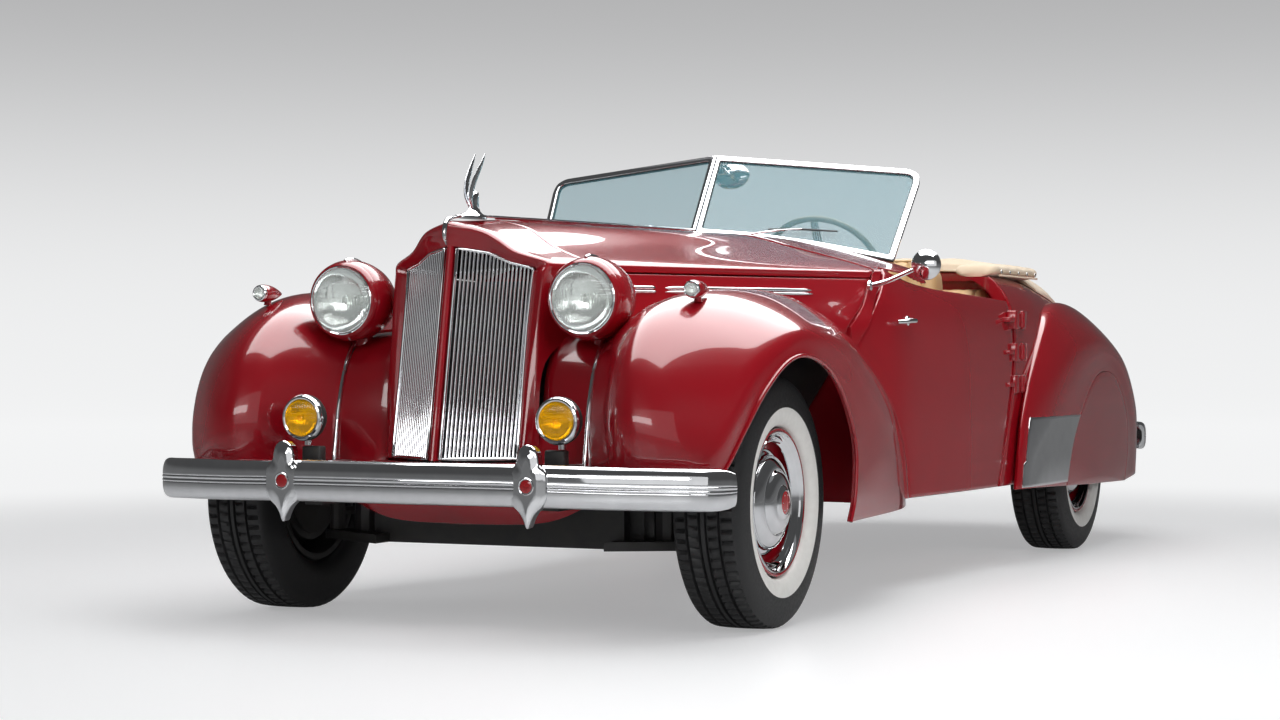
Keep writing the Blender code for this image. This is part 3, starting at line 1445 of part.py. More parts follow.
# Front apron: the splash panel under the grille and a catwalk on each side of it.
SPLASH_SHARES = [
    [(0, -0.1519, 0.396), (0.2105, -0.1193, 0.396), (0.2842, -0.1097, 0.396), (0.4158, -0.1091, 0.396)],
    [(0, -0.1379, 0.3454), (0.2105, -0.1131, 0.3454), (0.2842, -0.1054, 0.3454), (0.4158, -0.1038, 0.3538)],
    [(0, -0.1162, 0.2864), (0.2105, -0.1038, 0.2864), (0.3158, -0.0998, 0.2949), (0.4158, -0.0976, 0.3243)],
    [(0, -0.0945, 0.2443), (0.2105, -0.0914, 0.2485), (0.3158, -0.0899, 0.2654), (0.4158, -0.0883, 0.3033)],
]
CATWALK_INNER_SHARES = [
    (0.2695, -0.1097, 0.3791), (0.27, -0.1073, 0.4128), (0.2726, -0.0945, 0.5055),
    (0.2758, -0.0893, 0.6066), (0.2821, -0.0759, 0.6698), (0.2947, -0.062, 0.6976),
    (0.3347, -0.0186, 0.706), (0.4053, 0.0387, 0.7094),
]
CATWALK_OUTER_SHARES = [
    (0.4189, -0.1091, 0.3791), (0.4189, -0.1076, 0.4128), (0.4179, -0.1023, 0.5055),
    (0.4168, -0.0918, 0.6066), (0.4168, -0.0744, 0.6698), (0.4179, -0.0511, 0.6976),
    (0.4242, -0.0124, 0.706), (0.4442, 0.0403, 0.7094),
]
CATWALK_COLUMNS = 4
CATWALK_ROWS = 9


def make_front_apron(finish):
    grid = []
    for shares in SPLASH_SHARES:
        half = smooth(places(shares), SPLASH_COLUMNS)
        grid.append([flipped(point) for point in reversed(half[1:])] + half)
    apron = shell("front_apron", grid, APRON_WALL, at(0, 0.2, 0.3), finish)
    inner = smooth(places(CATWALK_INNER_SHARES), CATWALK_ROWS)
    outer = smooth(places(CATWALK_OUTER_SHARES), CATWALK_ROWS)
    steps = [k / (CATWALK_COLUMNS - 1) for k in range(CATWALK_COLUMNS)]
    grid = [[a.lerp(b, step) for step in steps] for a, b in zip(inner, outer)]
    grid[0] = [point + BACK * CATWALK_LAP for point in grid[0]]
    walk = shell("walk", grid, APRON_WALL, at(0.3, 0.1, 0.3), finish)
    return joined(apron, mirrored(walk, "other"), walk)


SPLASH_COLUMNS = 6
CATWALK_LAP = 0.004

# Radiator core, behind the grille.
RADIATOR_SHARES = [(-0.1789, -0.0862, 0), (0.1789, -0.0651, 0.8256)]


def make_radiator(finish):
    low, high = places(RADIATOR_SHARES)
    low.z = RAIL_TOP - RAIL_HEIGHT + CROSS_STEP + CROSS_HEIGHT + SEAT_GAP
    return block("radiator", low, high, finish)


# Bumpers: a ribbed bar swept across the car, its irons and its guards.
FRONT_BAR_SHARES = [
    (0, -0.2046, 0.358), (0.3158, -0.2027, 0.358), (0.5989, -0.1922, 0.3547),
    (0.7789, -0.1782, 0.353), (0.8853, -0.1627, 0.3513), (0.9316, -0.1441, 0.3513),
]
REAR_BAR_SHARES = [
    (0, 1.3596, 0.358), (0.3684, 1.3577, 0.358), (0.6316, 1.3484, 0.3564), (0.8, 1.3314, 0.3538),
    (0.8947, 1.3066, 0.3521), (0.9211, 1.2802, 0.3521),
]
BAR_COUNT = 7
BAR_HALF_HEIGHT = 0.059
BAR_WALL = 0.014
BAR_SECTION_SHARES = [
    (0, -1), (0.75, -0.75), (1, -0.45), (0.35, 0), (1, 0.45), (0.75, 0.75), (0, 1), (-0.35, 0.9),
    (-0.35, -0.9),
]
BAR_BULGE = 0.026
BRACKET_WIDTH = 0.05
BRACKET_HEIGHT = 0.06
IRON_LOW = 0.385
GUARD_X_SHARE = 0.3979
GUARD_X = HALF_WIDTH * GUARD_X_SHARE
GUARD_SHARES = [
    (0, -1), (0.75, -0.55), (1, 0.10), (0.80, 0.75), (0.35, 1), (-0.35, 1), (-0.80, 0.75),
    (-1, 0.10), (-0.75, -0.55),
]
GUARD_HALF_WIDTH = 0.048
GUARD_HALF_HEIGHT = 0.112
GUARD_DEPTH = 0.030


def make_bumper(name, shares, forward, rail_end, finish):
    half = smooth(places(shares), BAR_COUNT)
    path = [flipped(point) for point in reversed(half[1:])] + half
    rings = []
    for i, point in enumerate(path):
        run = path[min(i + 1, len(path) - 1)] - path[max(i - 1, 0)]
        outward = Vector((run.y, -run.x, 0)).normalized() * -forward.y
        rings.append(
            [point + outward * (BAR_BULGE * out) + UP * (BAR_HALF_HEIGHT * rise)
            for out, rise in BAR_SECTION_SHARES]
        )
    bar = loft(name, rings, finish)
    parts = []
    for side in (-1, 1):
        x = side * rail_end.x
        ends = sorted((rail_end.y + forward.y * SEAT_GAP, bar_place_at(path, rail_end.x).y))
        low = (x - BRACKET_WIDTH / 2, ends[0], IRON_LOW)
        high = (x + BRACKET_WIDTH / 2, ends[1], IRON_LOW + BRACKET_HEIGHT)
        parts.append(block("iron", low, high, finish))
        spot = bar_place_at(path, GUARD_X) + forward * (BAR_BULGE - GUARD_BITE)
        spot.x = side * GUARD_X
        outline = []
        for across, rise in GUARD_SHARES:
            outline.append(spot + ACROSS * (across * GUARD_HALF_WIDTH) + UP * (rise * GUARD_HALF_HEIGHT))
        front = [point.lerp(spot, GUARD_TAPER_SHARE) + forward * GUARD_DEPTH for point in outline]
        parts.append(loft("guard", [outline, front], finish))
    return joined(bar, *parts)


GUARD_BITE = 0.012
GUARD_TAPER_SHARE = 0.3


def bar_place_at(path, x):
    """The place on the bar's middle line at a distance from the car's middle."""
    for a, b in zip(path, path[1:]):
        if a.x <= x <= b.x:
            return a.lerp(b, (x - a.x) / (b.x - a.x))
    return path[-1]


# Lamps: each is a pod turned about the car's length, on its own foot.
HEADLAMP_SHARES = (0.4053, -0.1007, 0.7826)
HEADLAMP_RADIUS = 0.118
HEADLAMP_LENGTH = 0.275
HEADLAMP_PROFILE_SHARES = [
    (-0.065, 0), (-0.045, 0.55), (0, 0.86), (0, 0.96), (0.06, 1), (0.20, 0.99), (0.42, 0.88),
    (0.65, 0.66), (0.85, 0.36), (0.96, 0.16), (1, 0),
]
HEADLAMP_FOOT = 0.028
HEADLAMP_FOOT_SHARE = 0.42
LAMP_SIDES = 14
FOG_SHARES = (0.4211, -0.1643, 0.5013)
FOG_RADIUS = 0.0665
FOG_LENGTH = 0.075
FOG_PROFILE_SHARES = [
    (-0.12, 0), (-0.08, 0.6), (0, 0.92), (0.08, 1), (0.30, 0.96), (0.65, 0.72), (1, 0.30),
    (1.02, 0),
]
LAMP_STALK = 0.011
FOG_FOOT_SHARE = 0.40
PARKING_FOOT_SHARE = 0.35
FOG_BRACKET_SHARES = [(0.3705, -0.1596, 0), (0.4337, -0.1488, 0.4339)]
PARKING_SHARES = (0.7284, -0.0899, 0.8088)
PARKING_RADIUS = 0.026
PARKING_LENGTH = 0.12
PARKING_PROFILE_SHARES = [
    (-0.10, 0), (-0.04, 0.7), (0, 0.95), (0.12, 1), (0.40, 0.90), (0.75, 0.52), (1, 0),
]
TAIL_SHARES = (0.8421, 1.2585, 0.5729)
TAIL_RADIUS = 0.040
TAIL_LENGTH = 0.10
FOOT_REACH_SHARE = 1.35
STALK_SIDES = 6


def make_lamp(name, centre, size, profile, axis, finish, foot=None):
    """A turned pod of a radius and length, and perhaps a foot under it: (share of the length, radius)."""
    radius, length = size
    runs = [(run * length, reach * radius) for run, reach in profile]
    pod = turned(name, runs, centre, axis, LAMP_SIDES, finish)
    if foot:
        share, thickness = foot
        start = centre + axis * (length * share)
        end = start - UP * (radius * FOOT_REACH_SHARE)
        pod = joined(pod, tube("foot", [start, end], thickness, STALK_SIDES, finish))
    return pod


def make_ornament(finish):
    """A slender abstract fin on an oval foot, at the front of the hood's middle line."""
    base_centre, tip = places(ORNAMENT_SHARES)
    rings = []
    for share, width, run, lean in ORNAMENT_SECTION_SHARES:
        height = base_centre.z + (tip.z - base_centre.z) * share
        middle = base_centre.y + (tip.y - base_centre.y) * lean
        ring = []
        for k in range(ORNAMENT_SIDES):
            turn = math.tau * k / ORNAMENT_SIDES
            x = ORNAMENT_WIDTH * width * math.cos(turn)
            y = middle + ORNAMENT_LENGTH * run * math.sin(turn)
            ring.append(Vector((x, y, height)))
        rings.append(ring)
    return loft("ornament", rings, finish)


ORNAMENT_SHARES = [(0, -0.0812, 0.9899), (0, -0.062, 1.15)]
ORNAMENT_SECTION_SHARES = [
    (0, 1, 1, 0), (0.10, 0.85, 0.90, 0), (0.20, 0.35, 0.50, 0), (0.45, 0.22, 0.42, 0.2),
    (0.70, 0.18, 0.50, 0.6), (0.90, 0.12, 0.40, 0.9), (1, 0.05, 0.20, 1.1),
]
ORNAMENT_WIDTH = 0.028
ORNAMENT_LENGTH = 0.075
ORNAMENT_SIDES = 12


# Cabin: floor, seats, folded top and steering wheel.
FLOOR_WALL = 0.02
FLOOR_SHARES = [(0.3137, 0.6895), (0.806, 0.6895), (0.8431, 0.6053), (0.9293, 0.6053)]
TRUNK_FLOOR_SHARES = [(0.9399, 0.6158), (1.0973, 0.6158), (1.2461, 0.5895)]
SILL_INNER_SHARE = 0.6684
SILL_REACH_SHARE = 0.7263
SILL_RUN_SHARES = [0.4061, 0.6324]
SILL_DEPTH = 0.11


def plank(name, shares, finish):
    """A floor that follows the top of the frame."""
    rings = []
    for run, reach_share in shares:
        y = at(0, run, 0).y
        reach = reach_share * HALF_WIDTH
        low = max(rail_top_at(y), FLOOR_LEVELS[name]) + SEAT_GAP
        high = low + FLOOR_WALL
        rings.append(upright_ring(-reach, reach, y, low, high))
    return loft(name, rings, finish)


FLOOR_LEVELS = {"floor": RAIL_TOP, "trunk_floor": RAIL_TOP + RAIL_KICK}


def floor_top_at(y):
    return rail_top_at(y) + SEAT_GAP + FLOOR_WALL


def make_floor(finish):
    floor = plank("floor", FLOOR_SHARES, finish)
    start, end = (at(0, share, 0).y for share in SILL_RUN_SHARES)
    sills = []
    for side in (-1, 1):
        ends = sorted(side * HALF_WIDTH * share for share in (SILL_INNER_SHARE, SILL_REACH_SHARE))
        top = floor_top_at(start)
        sills.append(
            block("sill", (ends[0], start, top - SILL_DEPTH), (ends[1], end, top - CROSS_STEP), finish)
        )
    return joined(floor, *sills)


FRONT_SEAT_SHARES = [
    (0.5394, 0), (0.527, 0.556), (0.5363, 0.6361), (0.5518, 0.6571), (0.651, 0.6361),
    (0.6711, 0.893), (0.682, 0.9368), (0.6975, 0.9334), (0.7099, 0.893), (0.7099, 0.6318),
    (0.7006, 0),
]
REAR_SEAT_SHARES = [
    (0.8122, 0), (0.806, 0.5897), (0.8153, 0.6403), (0.8308, 0.6529), (0.8865, 0.6445),
    (0.8989, 0.834), (0.9067, 0.8576), (0.9191, 0.8576), (0.9191, 0),
]
FRONT_SEAT_SHARE = 0.6315
REAR_SEAT_SHARE = 0.6052


def make_seat(name, shares, reach, finish):
    """A bench: its side outline pushed across the cabin, standing on the floor."""
    outline = []
    for y, z in edge_places(shares):
        outline.append(Vector((-reach, y, z if z else floor_top_at(y) + SEAT_GAP)))
    return soften(prism(name, outline, ACROSS * (2 * reach), finish), SEAT_CORNER, 1)


SEAT_CORNER = 0.012

COVER_SHARES = [0.9113, 0.9423, 0.9764, 1.0136, 1.0477, 1.0663]
COVER_REACH_SHARES = [(0.713, 0.8126), (0.9423, 0.7916), (1.0136, 0.7811), (1.0663, 0.7263)]
COVER_RISE_SHARES = [
    (0.9113, 0.5), (0.9423, 0.95), (0.9764, 1), (1.0136, 0.85), (1.0477, 0.5), (1.0663, 0.14),
]
COVER_RISE = 0.055
COVER_LIFT = 0.004
COVER_COLUMNS = 7
ARM_RUN_SHARES = [0.7269, 0.7347, 0.806, 0.916]
ARM_INNER_SHARE = 0.63158
ARM_INNER = HALF_WIDTH * ARM_INNER_SHARE
ARM_RISE = 0.052


def make_top_cover(rear_body, finish):
    """The folded top under its cover: across the deck behind the cabin, with an arm along each side."""
    rings = []
    for share, (run, rise) in zip(COVER_SHARES, COVER_RISE_SHARES):
        y = at(0, share, 0).y
        reach = along(COVER_REACH_SHARES, share) * HALF_WIDTH
        low = []
        high = []
        for k in range(COVER_COLUMNS):
            t = 2 * k / (COVER_COLUMNS - 1) - 1
            spot = skin_over(y, reach * t) + UP * COVER_LIFT
            low.append(spot)
            high.append(spot + UP * (COVER_RISE * (COVER_EDGE_SHARE + rise * (1 - t**4))))
        rings.append(low + list(reversed(high)))
    cover = loft("top_cover", rings, finish)
    for side in (-1, 1):
        rings = []
        for i, share in enumerate(ARM_RUN_SHARES):
            y = at(0, share, 0).y
            outer = along(COVER_REACH_SHARES, share) * HALF_WIDTH
            low = BELT_HEIGHT + SEAT_GAP
            high = low + ARM_RISE * (ARM_NOSE_SHARE if i == 0 else 1)
            crown = (ARM_INNER + outer) / 2
            waist = low + (high - low) * ARM_NOSE_SHARE
            ring = [(ARM_INNER, low), (outer, low), (outer, waist), (crown, high), (ARM_INNER, waist)]
            rings.append([Vector((side * x, y, z)) for x, z in ring])
        joined(cover, loft("arm", rings, finish))
    return clear_of(cover, rear_body)


COVER_EDGE_SHARE = 0.18
ARM_NOSE_SHARE = 0.6

WHEEL_HUB_SHARES = (0.3632, 0.527, 0.8947)
COLUMN_TILT = math.radians(32)
COLUMN_AXIS = Vector((0, math.cos(COLUMN_TILT), math.sin(COLUMN_TILT)))
COLUMN_RADIUS = 0.022
WHEEL_RADIUS = 0.205
WHEEL_RIM = 0.011
WHEEL_BOSS = 0.042
WHEEL_BOSS_DEPTH = 0.035
SPOKE_RADIUS = 0.007
WHEEL_SIDES = 20


def make_steering_wheel(finish):
    hub = at(*WHEEL_HUB_SHARES)
    rim_profile = []
    for k in range(RIM_SECTION_SIDES):
        turn = math.tau * k / RIM_SECTION_SIDES
        rim_profile.append((WHEEL_RIM * math.sin(turn), WHEEL_RADIUS + WHEEL_RIM * math.cos(turn)))
    rim = turned("steering_wheel", rim_profile, hub, COLUMN_AXIS, WHEEL_SIDES, finish)
    boss_profile = [(-WHEEL_BOSS_DEPTH, 0), (-WHEEL_BOSS_DEPTH, COLUMN_RADIUS), (0, WHEEL_BOSS)]
    boss_profile += [(WHEEL_RIM, WHEEL_BOSS * BOSS_TOP_SHARE), (WHEEL_RIM, 0)]
    parts = [turned("boss", boss_profile, hub, COLUMN_AXIS, STALK_SIDES, finish)]
    side, up = frame_of(COLUMN_AXIS)
    for k in range(WHEEL_SPOKES):
        turn = math.tau * k / WHEEL_SPOKES + math.pi / 2
        way = side * math.cos(turn) + up * math.sin(turn)
        ends = [hub + way * (WHEEL_BOSS / 2), hub + way * WHEEL_RADIUS]
        parts.append(tube("spoke", ends, SPOKE_RADIUS, SPOKE_SIDES, finish))
    return joined(rim, *parts)


RIM_SECTION_SIDES = 5
BOSS_TOP_SHARE = 0.8
WHEEL_SPOKES = 3
SPOKE_SIDES = 6


def make_column(finish):
    """The steering column, from under the wheel's boss down to the firewall."""
    hub = at(*WHEEL_HUB_SHARES)
    start = hub - COLUMN_AXIS * (WHEEL_BOSS_DEPTH + SEAT_GAP)
    fire = at(0, FIREWALL_SHARE, 0).y + FIREWALL_WALL / 2
    end = hub - COLUMN_AXIS * ((hub.y - fire) / COLUMN_AXIS.y)
    column = tube("column", [start, end], COLUMN_RADIUS, STALK_SIDES, finish)
    y = at(0, DASH_SHARE, 0).y + DASH_WALL / 2
    level = hub.z - (hub.y - y) * math.tan(COLUMN_TILT)
    low = (hub.x - COLUMN_RADIUS / 2, y - DASH_WALL / 2 + SEAT_GAP, level)
    high = (hub.x + COLUMN_RADIUS / 2, y + DASH_WALL / 2 - SEAT_GAP, DASH_LOW + COLUMN_RADIUS)
    return joined(column, block("bracket", low, high, finish))


# Hinges: barrels on a common line, one fused to the moving panel between two fused to what carries it.
HINGE_RADIUS = 0.010
HINGE_LENGTH = 0.034
HINGE_LEAF = 0.005
STRAP_REACH = 0.135
LEAF_REACH = 0.045
HINGE_SIDES = 8
DOOR_HINGE_RUN_SHARE = 0.7247


def hinge_line(side):
    """Where the door's hinge line stands: just outside the body's skin behind the door."""
    y = at(0, DOOR_HINGE_RUN_SHARE, 0).y
    widest = max(side_at(y, level) for level in DOOR_HINGE_LEVELS)
    return Vector((side * (widest + HINGE_RADIUS + SEAT_GAP), y, 0))


DOOR_HINGE_LEVELS = [0.660, 0.776, 0.892]


def add_hinge_half(target, side, on_door, finish):
    """The barrels, straps and roots of one side of the door's hinges."""
    line = hinge_line(side)
    near = abs(line.x) - HINGE_RADIUS
    rear_edge = [(z, y) for y, z in door_outline(0)[1]]
    reach = -STRAP_REACH if on_door else LEAF_REACH
    for level in DOOR_HINGE_LEVELS:
        root = along(rear_edge, level) - HINGE_LEAF if on_door else line.y
        for low, high in hinge_spans(level, on_door):
            barrel = tube(
                "barrel", [line + UP * low, line + UP * high], HINGE_RADIUS, HINGE_SIDES, finish
            )
            xs = sorted((side * near, side * (near + HINGE_LEAF)))
            ys = sorted((line.y, line.y + reach))
            leaf = block("leaf", (xs[0], ys[0], low), (xs[1], ys[1], high), finish)
            xs = sorted((side * (near - HINGE_SINK), side * (near + HINGE_LEAF)))
            ys = sorted((root, line.y + reach))
            sunk = block("root", (xs[0], ys[0], low), (xs[1], ys[1], high), finish)
            joined(target, joined(barrel, leaf, sunk))


HINGE_SINK = 0.029


def hinge_spans(middle, on_door):
    """Where barrels start and end on the hinge's line: one on the moving leaf, two on the fixed one."""
    half = HINGE_LENGTH / 4
    if on_door:
        return [(middle - half, middle + half)]
    return [(middle + half + SEAT_GAP, middle + half * 3), (middle - half * 3, middle - half - SEAT_GAP)]


# Door handle, mirror, exhaust and fuel tank.
HANDLE_SHARES = [(0, 0.372, 0.7414), (0, 0.4045, 0.7414)]
HANDLE_RADIUS = 0.009
HANDLE_STAND = 0.030


def add_handle(door, finish):
    start, end = places(HANDLE_SHARES)
    foot = Vector((side_at(end.y, end.z) - HINGE_SINK, end.y, end.z))
    turn = Vector((side_at(end.y, end.z) + HANDLE_STAND, end.y, end.z))
    tip = Vector((side_at(start.y, start.z) + HANDLE_STAND, start.y, start.z))
    base = tube(
        "base",
        [foot, turn + (turn - foot).normalized() * HANDLE_RADIUS],
        HANDLE_RADIUS,
        STALK_SIDES,
        finish,
    )
    lever = tube(
        "lever",
        [turn + (turn - tip).normalized() * HANDLE_RADIUS, tip],
        HANDLE_RADIUS,
        STALK_SIDES,
        finish,
    )
    return joined(door, base, lever)


MIRROR_SHARES = (0.9526, 0.3456, 0.8913)
MIRROR_RADIUS = 0.050
MIRROR_DEPTH = 0.020
MIRROR_LIP = 0.0067
MIRROR_BACK_SHARE = 0.7
MIRROR_FOOT_SHARES = (0.8053, 0.3456, 0.834)
MIRROR_ARM = 0.007


def make_mirror(neighbours, finish):
    head = at(*MIRROR_SHARES)
    foot = at(*MIRROR_FOOT_SHARES)
    foot.x = side_at(foot.y, foot.z) + MIRROR_ARM
    back_radius = MIRROR_RADIUS * MIRROR_BACK_SHARE
    profile = [(-MIRROR_DEPTH, 0), (-MIRROR_DEPTH / 2, back_radius), (0, MIRROR_RADIUS)]
    profile += [(MIRROR_LIP, MIRROR_RADIUS), (MIRROR_LIP, 0)]
    found = turned("side_mirror", profile, head, BACK, LAMP_SIDES, finish)
    arm = tube("arm", [head, foot], MIRROR_ARM, STALK_SIDES, finish)
    pad = tube(
        "pad", [foot + ACROSS * MIRROR_ARM, foot - ACROSS * MIRROR_ARM], MIRROR_PAD, STALK_SIDES, finish
    )
    rested(joined(found, arm, pad), neighbours, -ACROSS)
    for neighbour in neighbours:
        clear_of(found, neighbour)
    return found


MIRROR_PAD = 0.018

EXHAUST_SHARES = [
    (-0.2108, 0.1922, 0.5055), (-0.2474, 0.1922, 0.5055), (-0.2758, 0.1984, 0.4718),
    (-0.2842, 0.2077, 0.3875), (-0.3, 0.2294, 0.2864), (-0.3158, 0.279, 0.2595),
    (-0.3158, 0.6045, 0.2527), (-0.3158, 0.8834, 0.2443), (-0.3158, 0.9361, 0.2207),
    (-0.3158, 1.1159, 0.2207), (-0.3158, 1.3531, 0.2207),
]
EXHAUST_RADIUS = 0.022
MUFFLER_SHARES = [(-0.3158, 0.6045, 0.2527), (-0.3158, 0.775, 0.2477)]
MUFFLER_RADIUS = 0.065
MUFFLER_NECK = 0.044
HANGER_RUN_SHARES = [0.5425, 0.9144]
HANGER_WIDTH = 0.02


def make_exhaust(finish):
    pipe = tube("exhaust", places(EXHAUST_SHARES), EXHAUST_RADIUS, STALK_SIDES, finish)
    start, end = places(MUFFLER_SHARES)
    path = [start, start + BACK * OVERRUN, end - BACK * OVERRUN, end]
    radii = [MUFFLER_NECK, MUFFLER_RADIUS, MUFFLER_RADIUS, MUFFLER_NECK]
    muffler = tube("muffler", path, radii, SHAFT_SIDES, finish)
    joined(pipe, muffler)
    for share in HANGER_RUN_SHARES:
        y = at(0, share, 0).y
        x = start.x
        top = rail_top_at(y) - RAIL_HEIGHT + CROSS_STEP - SEAT_GAP
        low = (x - HANGER_WIDTH / 2, y - HANGER_WIDTH / 2, start.z - EXHAUST_RADIUS / 2)
        joined(pipe, block("hanger", low, (x + HANGER_WIDTH / 2, y + HANGER_WIDTH / 2, top), finish))
    return pipe


TANK_SHARES = [(-0.4211, 1.0725, 0.3117), (0.4211, 1.2027, 0.4718)]


def make_tank(finish):
    low, high = places(TANK_SHARES)
    high.z = FLOOR_LEVELS["trunk_floor"]
    return soften(block("fuel_tank", low, high, finish), SEAT_CORNER, 1)


def main():
    for old in list(bpy.data.objects):
        bpy.data.objects.remove(old)
    red = material("red enamel", (0.30, 0.006, 0.012), 0.12, 0.0)
    chrome = material("chrome", (0.80, 0.80, 0.82), 0.06, 1.0)
    black = material("black chassis paint", (0.015, 0.015, 0.016), 0.45, 0.0)
    rubber = material("tyre rubber", (0.020, 0.020, 0.021), 0.75, 0.0)
    leather = material("tan leather", (0.42, 0.27, 0.14), 0.55, 0.0)
    canvas = material("tan canvas", (0.45, 0.33, 0.20), 0.85, 0.0)
    ivory = material("ivory plastic", (0.62, 0.55, 0.40), 0.35, 0.0)
    glass = material("windscreen glass", (0.55, 0.62, 0.66), 0.02, 0.0)
    amber = material("yellow lamp glass", (0.75, 0.42, 0.06), 0.08, 0.0)
    frame = make_frame(black)
    make_engine(black)
    make_driveline(black)
    make_front_suspension(black)
    make_radiator(black)
    make_exhaust(black)
    make_tank(black)
    for name, side in (("left", 1), ("right", -1)):
        front = Vector((side * FRONT_TRACK / 2, FRONT_AXLE_Y, TYRE_RADIUS))
        rear = Vector((side * REAR_TRACK / 2, REAR_AXLE_Y, TYRE_RADIUS))
        reseat(make_tyre(f"tyre_front_{name}", front, rubber), front)
        reseat(make_tyre(f"tyre_rear_{name}", rear, rubber), rear)
        reseat(make_wheel(f"wheel_front_{name}", front, side, chrome), front)
        reseat(make_wheel(f"wheel_rear_{name}", rear, side, chrome), rear)
        kingpin = Vector((side * KINGPIN_X, FRONT_AXLE_Y, TYRE_RADIUS))
        reseat(make_knuckle(f"knuckle_{name}", side, black), kingpin)
    cowl = joined(make_cowl(red), make_column(red))
    rear_body = make_rear_body(red)
    lid = make_trunk_lid(red)
    skirt = make_skirt(red)
    mirrored(skirt, "fender_skirt_right")
    hood = make_hood(red)
    other_hood = mirrored(hood, "hood_right")
    hood_side = make_hood_side(red)
    other_side = mirrored(hood_side, "hood_side_right")
    grille = make_grille("grille_left", chrome)
    mirrored(grille, "grille_right")
    surround = make_radiator_shell(red)
    apron = make_front_apron(red)
    for neighbour in (frame, hood_side, other_side, surround):
        clear_of(apron, neighbour)
    door = make_door(red)
    other_door = mirrored(door, "door_right")
    for panel in (hood, other_hood):
        clear_of(cowl, panel, PANEL_GAP)
    for panel in (hood_side, other_side):
        clear_of(cowl, panel)
    for panel in (door, other_door):
        clear_of(cowl, panel, PANEL_GAP)
        clear_of(rear_body, panel, PANEL_GAP)
    bpy.data.objects.remove(other_door)
    add_hinge_half(door, 1, True, red)
    add_handle(door, red)
    reseat(mirrored(door, "door_right"), hinge_line(-1))
    reseat(door, hinge_line(1))
    for side in (1, -1):
        add_hinge_half(rear_body, side, False, red)
    add_lid_hinges(lid, rear_body, red)
    reseat(lid, lid_hinge_line())
    for panel in (hood, other_hood):
        reseat(panel, hood_hinge_line()[0])
    fender = make_front_fender(red)
    other_fender = mirrored(fender, "front_fender_right")
    rear_fender = make_rear_fender(red)
    other_rear = mirrored(rear_fender, "rear_fender_right")
    for panel in (fender, other_fender):
        clear_of(clear_of(panel, cowl), apron)
    for panel in (rear_fender, other_rear):
        clear_of(panel, rear_body)
    make_windscreen_frame(cowl, chrome)
    pane = make_glass(glass)
    mirrored(pane, "windscreen_glass_right")
    make_floor(black)
    plank("trunk_floor", TRUNK_FLOOR_SHARES, black)
    make_seat("front_seat", FRONT_SEAT_SHARES, HALF_WIDTH * FRONT_SEAT_SHARE, leather)
    make_seat("rear_seat", REAR_SEAT_SHARES, HALF_WIDTH * REAR_SEAT_SHARE, leather)
    make_top_cover(rear_body, canvas)
    reseat(make_steering_wheel(ivory), at(*WHEEL_HUB_SHARES))
    rail_front = places(RAIL_SHARES)[0]
    rail_rear = places(RAIL_SHARES)[-1]
    make_bumper("front_bumper", FRONT_BAR_SHARES, -BACK, rail_front, chrome)
    make_bumper("rear_bumper", REAR_BAR_SHARES, BACK, rail_rear, chrome)
    foot = (HEADLAMP_FOOT_SHARE, HEADLAMP_FOOT)
    size = (HEADLAMP_RADIUS, HEADLAMP_LENGTH)
    headlamp = make_lamp(
        "headlamp_left", at(*HEADLAMP_SHARES), size, HEADLAMP_PROFILE_SHARES, BACK, red, foot
    )
    other_lamp = mirrored(headlamp, "headlamp_right")
    clear_of(clear_of(headlamp, apron), fender)
    clear_of(clear_of(other_lamp, apron), other_fender)
    foot = (FOG_FOOT_SHARE, LAMP_STALK)
    size = (FOG_RADIUS, FOG_LENGTH)
    fog = make_lamp("fog_lamp_left", at(*FOG_SHARES), size, FOG_PROFILE_SHARES, BACK, amber, foot)
    low, high = places(FOG_BRACKET_SHARES)
    low.z = RAIL_TOP + SEAT_GAP
    joined(fog, block("bracket", low, high, amber))
    mirrored(fog, "fog_lamp_right")
    foot = (PARKING_FOOT_SHARE, LAMP_STALK)
    size = (PARKING_RADIUS, PARKING_LENGTH)
    parking = make_lamp(
        "parking_lamp_left", at(*PARKING_SHARES), size, PARKING_PROFILE_SHARES, BACK, red, foot
    )
    rested(parking, [fender], -UP)
    mirrored(parking, "parking_lamp_right")
    size = (TAIL_RADIUS, TAIL_LENGTH)
    tail = make_lamp("tail_lamp_left", at(*TAIL_SHARES), size, PARKING_PROFILE_SHARES, -BACK, red)
    rested(tail, [rear_fender], -BACK)
    mirrored(tail, "tail_lamp_right")
    rested(make_ornament(chrome), [surround], -UP)
    make_mirror([cowl, hood_side], chrome)


main()
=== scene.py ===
"""The looks of a classic open touring car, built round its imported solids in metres."""

import math

import bmesh
import bpy
from mathutils import Matrix, Vector


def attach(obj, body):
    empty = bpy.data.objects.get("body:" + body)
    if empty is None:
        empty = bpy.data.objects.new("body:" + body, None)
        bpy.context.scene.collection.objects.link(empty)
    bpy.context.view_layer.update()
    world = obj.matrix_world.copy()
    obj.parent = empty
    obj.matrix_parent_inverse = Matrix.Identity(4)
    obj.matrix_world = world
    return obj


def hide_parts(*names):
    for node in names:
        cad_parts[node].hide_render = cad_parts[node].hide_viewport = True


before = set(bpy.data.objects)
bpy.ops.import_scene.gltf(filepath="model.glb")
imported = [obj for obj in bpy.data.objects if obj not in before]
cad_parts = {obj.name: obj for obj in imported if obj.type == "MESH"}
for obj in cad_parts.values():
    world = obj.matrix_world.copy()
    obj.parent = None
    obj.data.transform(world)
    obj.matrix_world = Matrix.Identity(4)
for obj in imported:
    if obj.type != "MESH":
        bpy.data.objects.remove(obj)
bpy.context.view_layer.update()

camera = bpy.data.objects.new("camera", bpy.data.cameras.new("camera"))
camera.data.lens = 74.1
camera.data.sensor_width = 36
camera.location = (3.515, -8.787, 0.795)
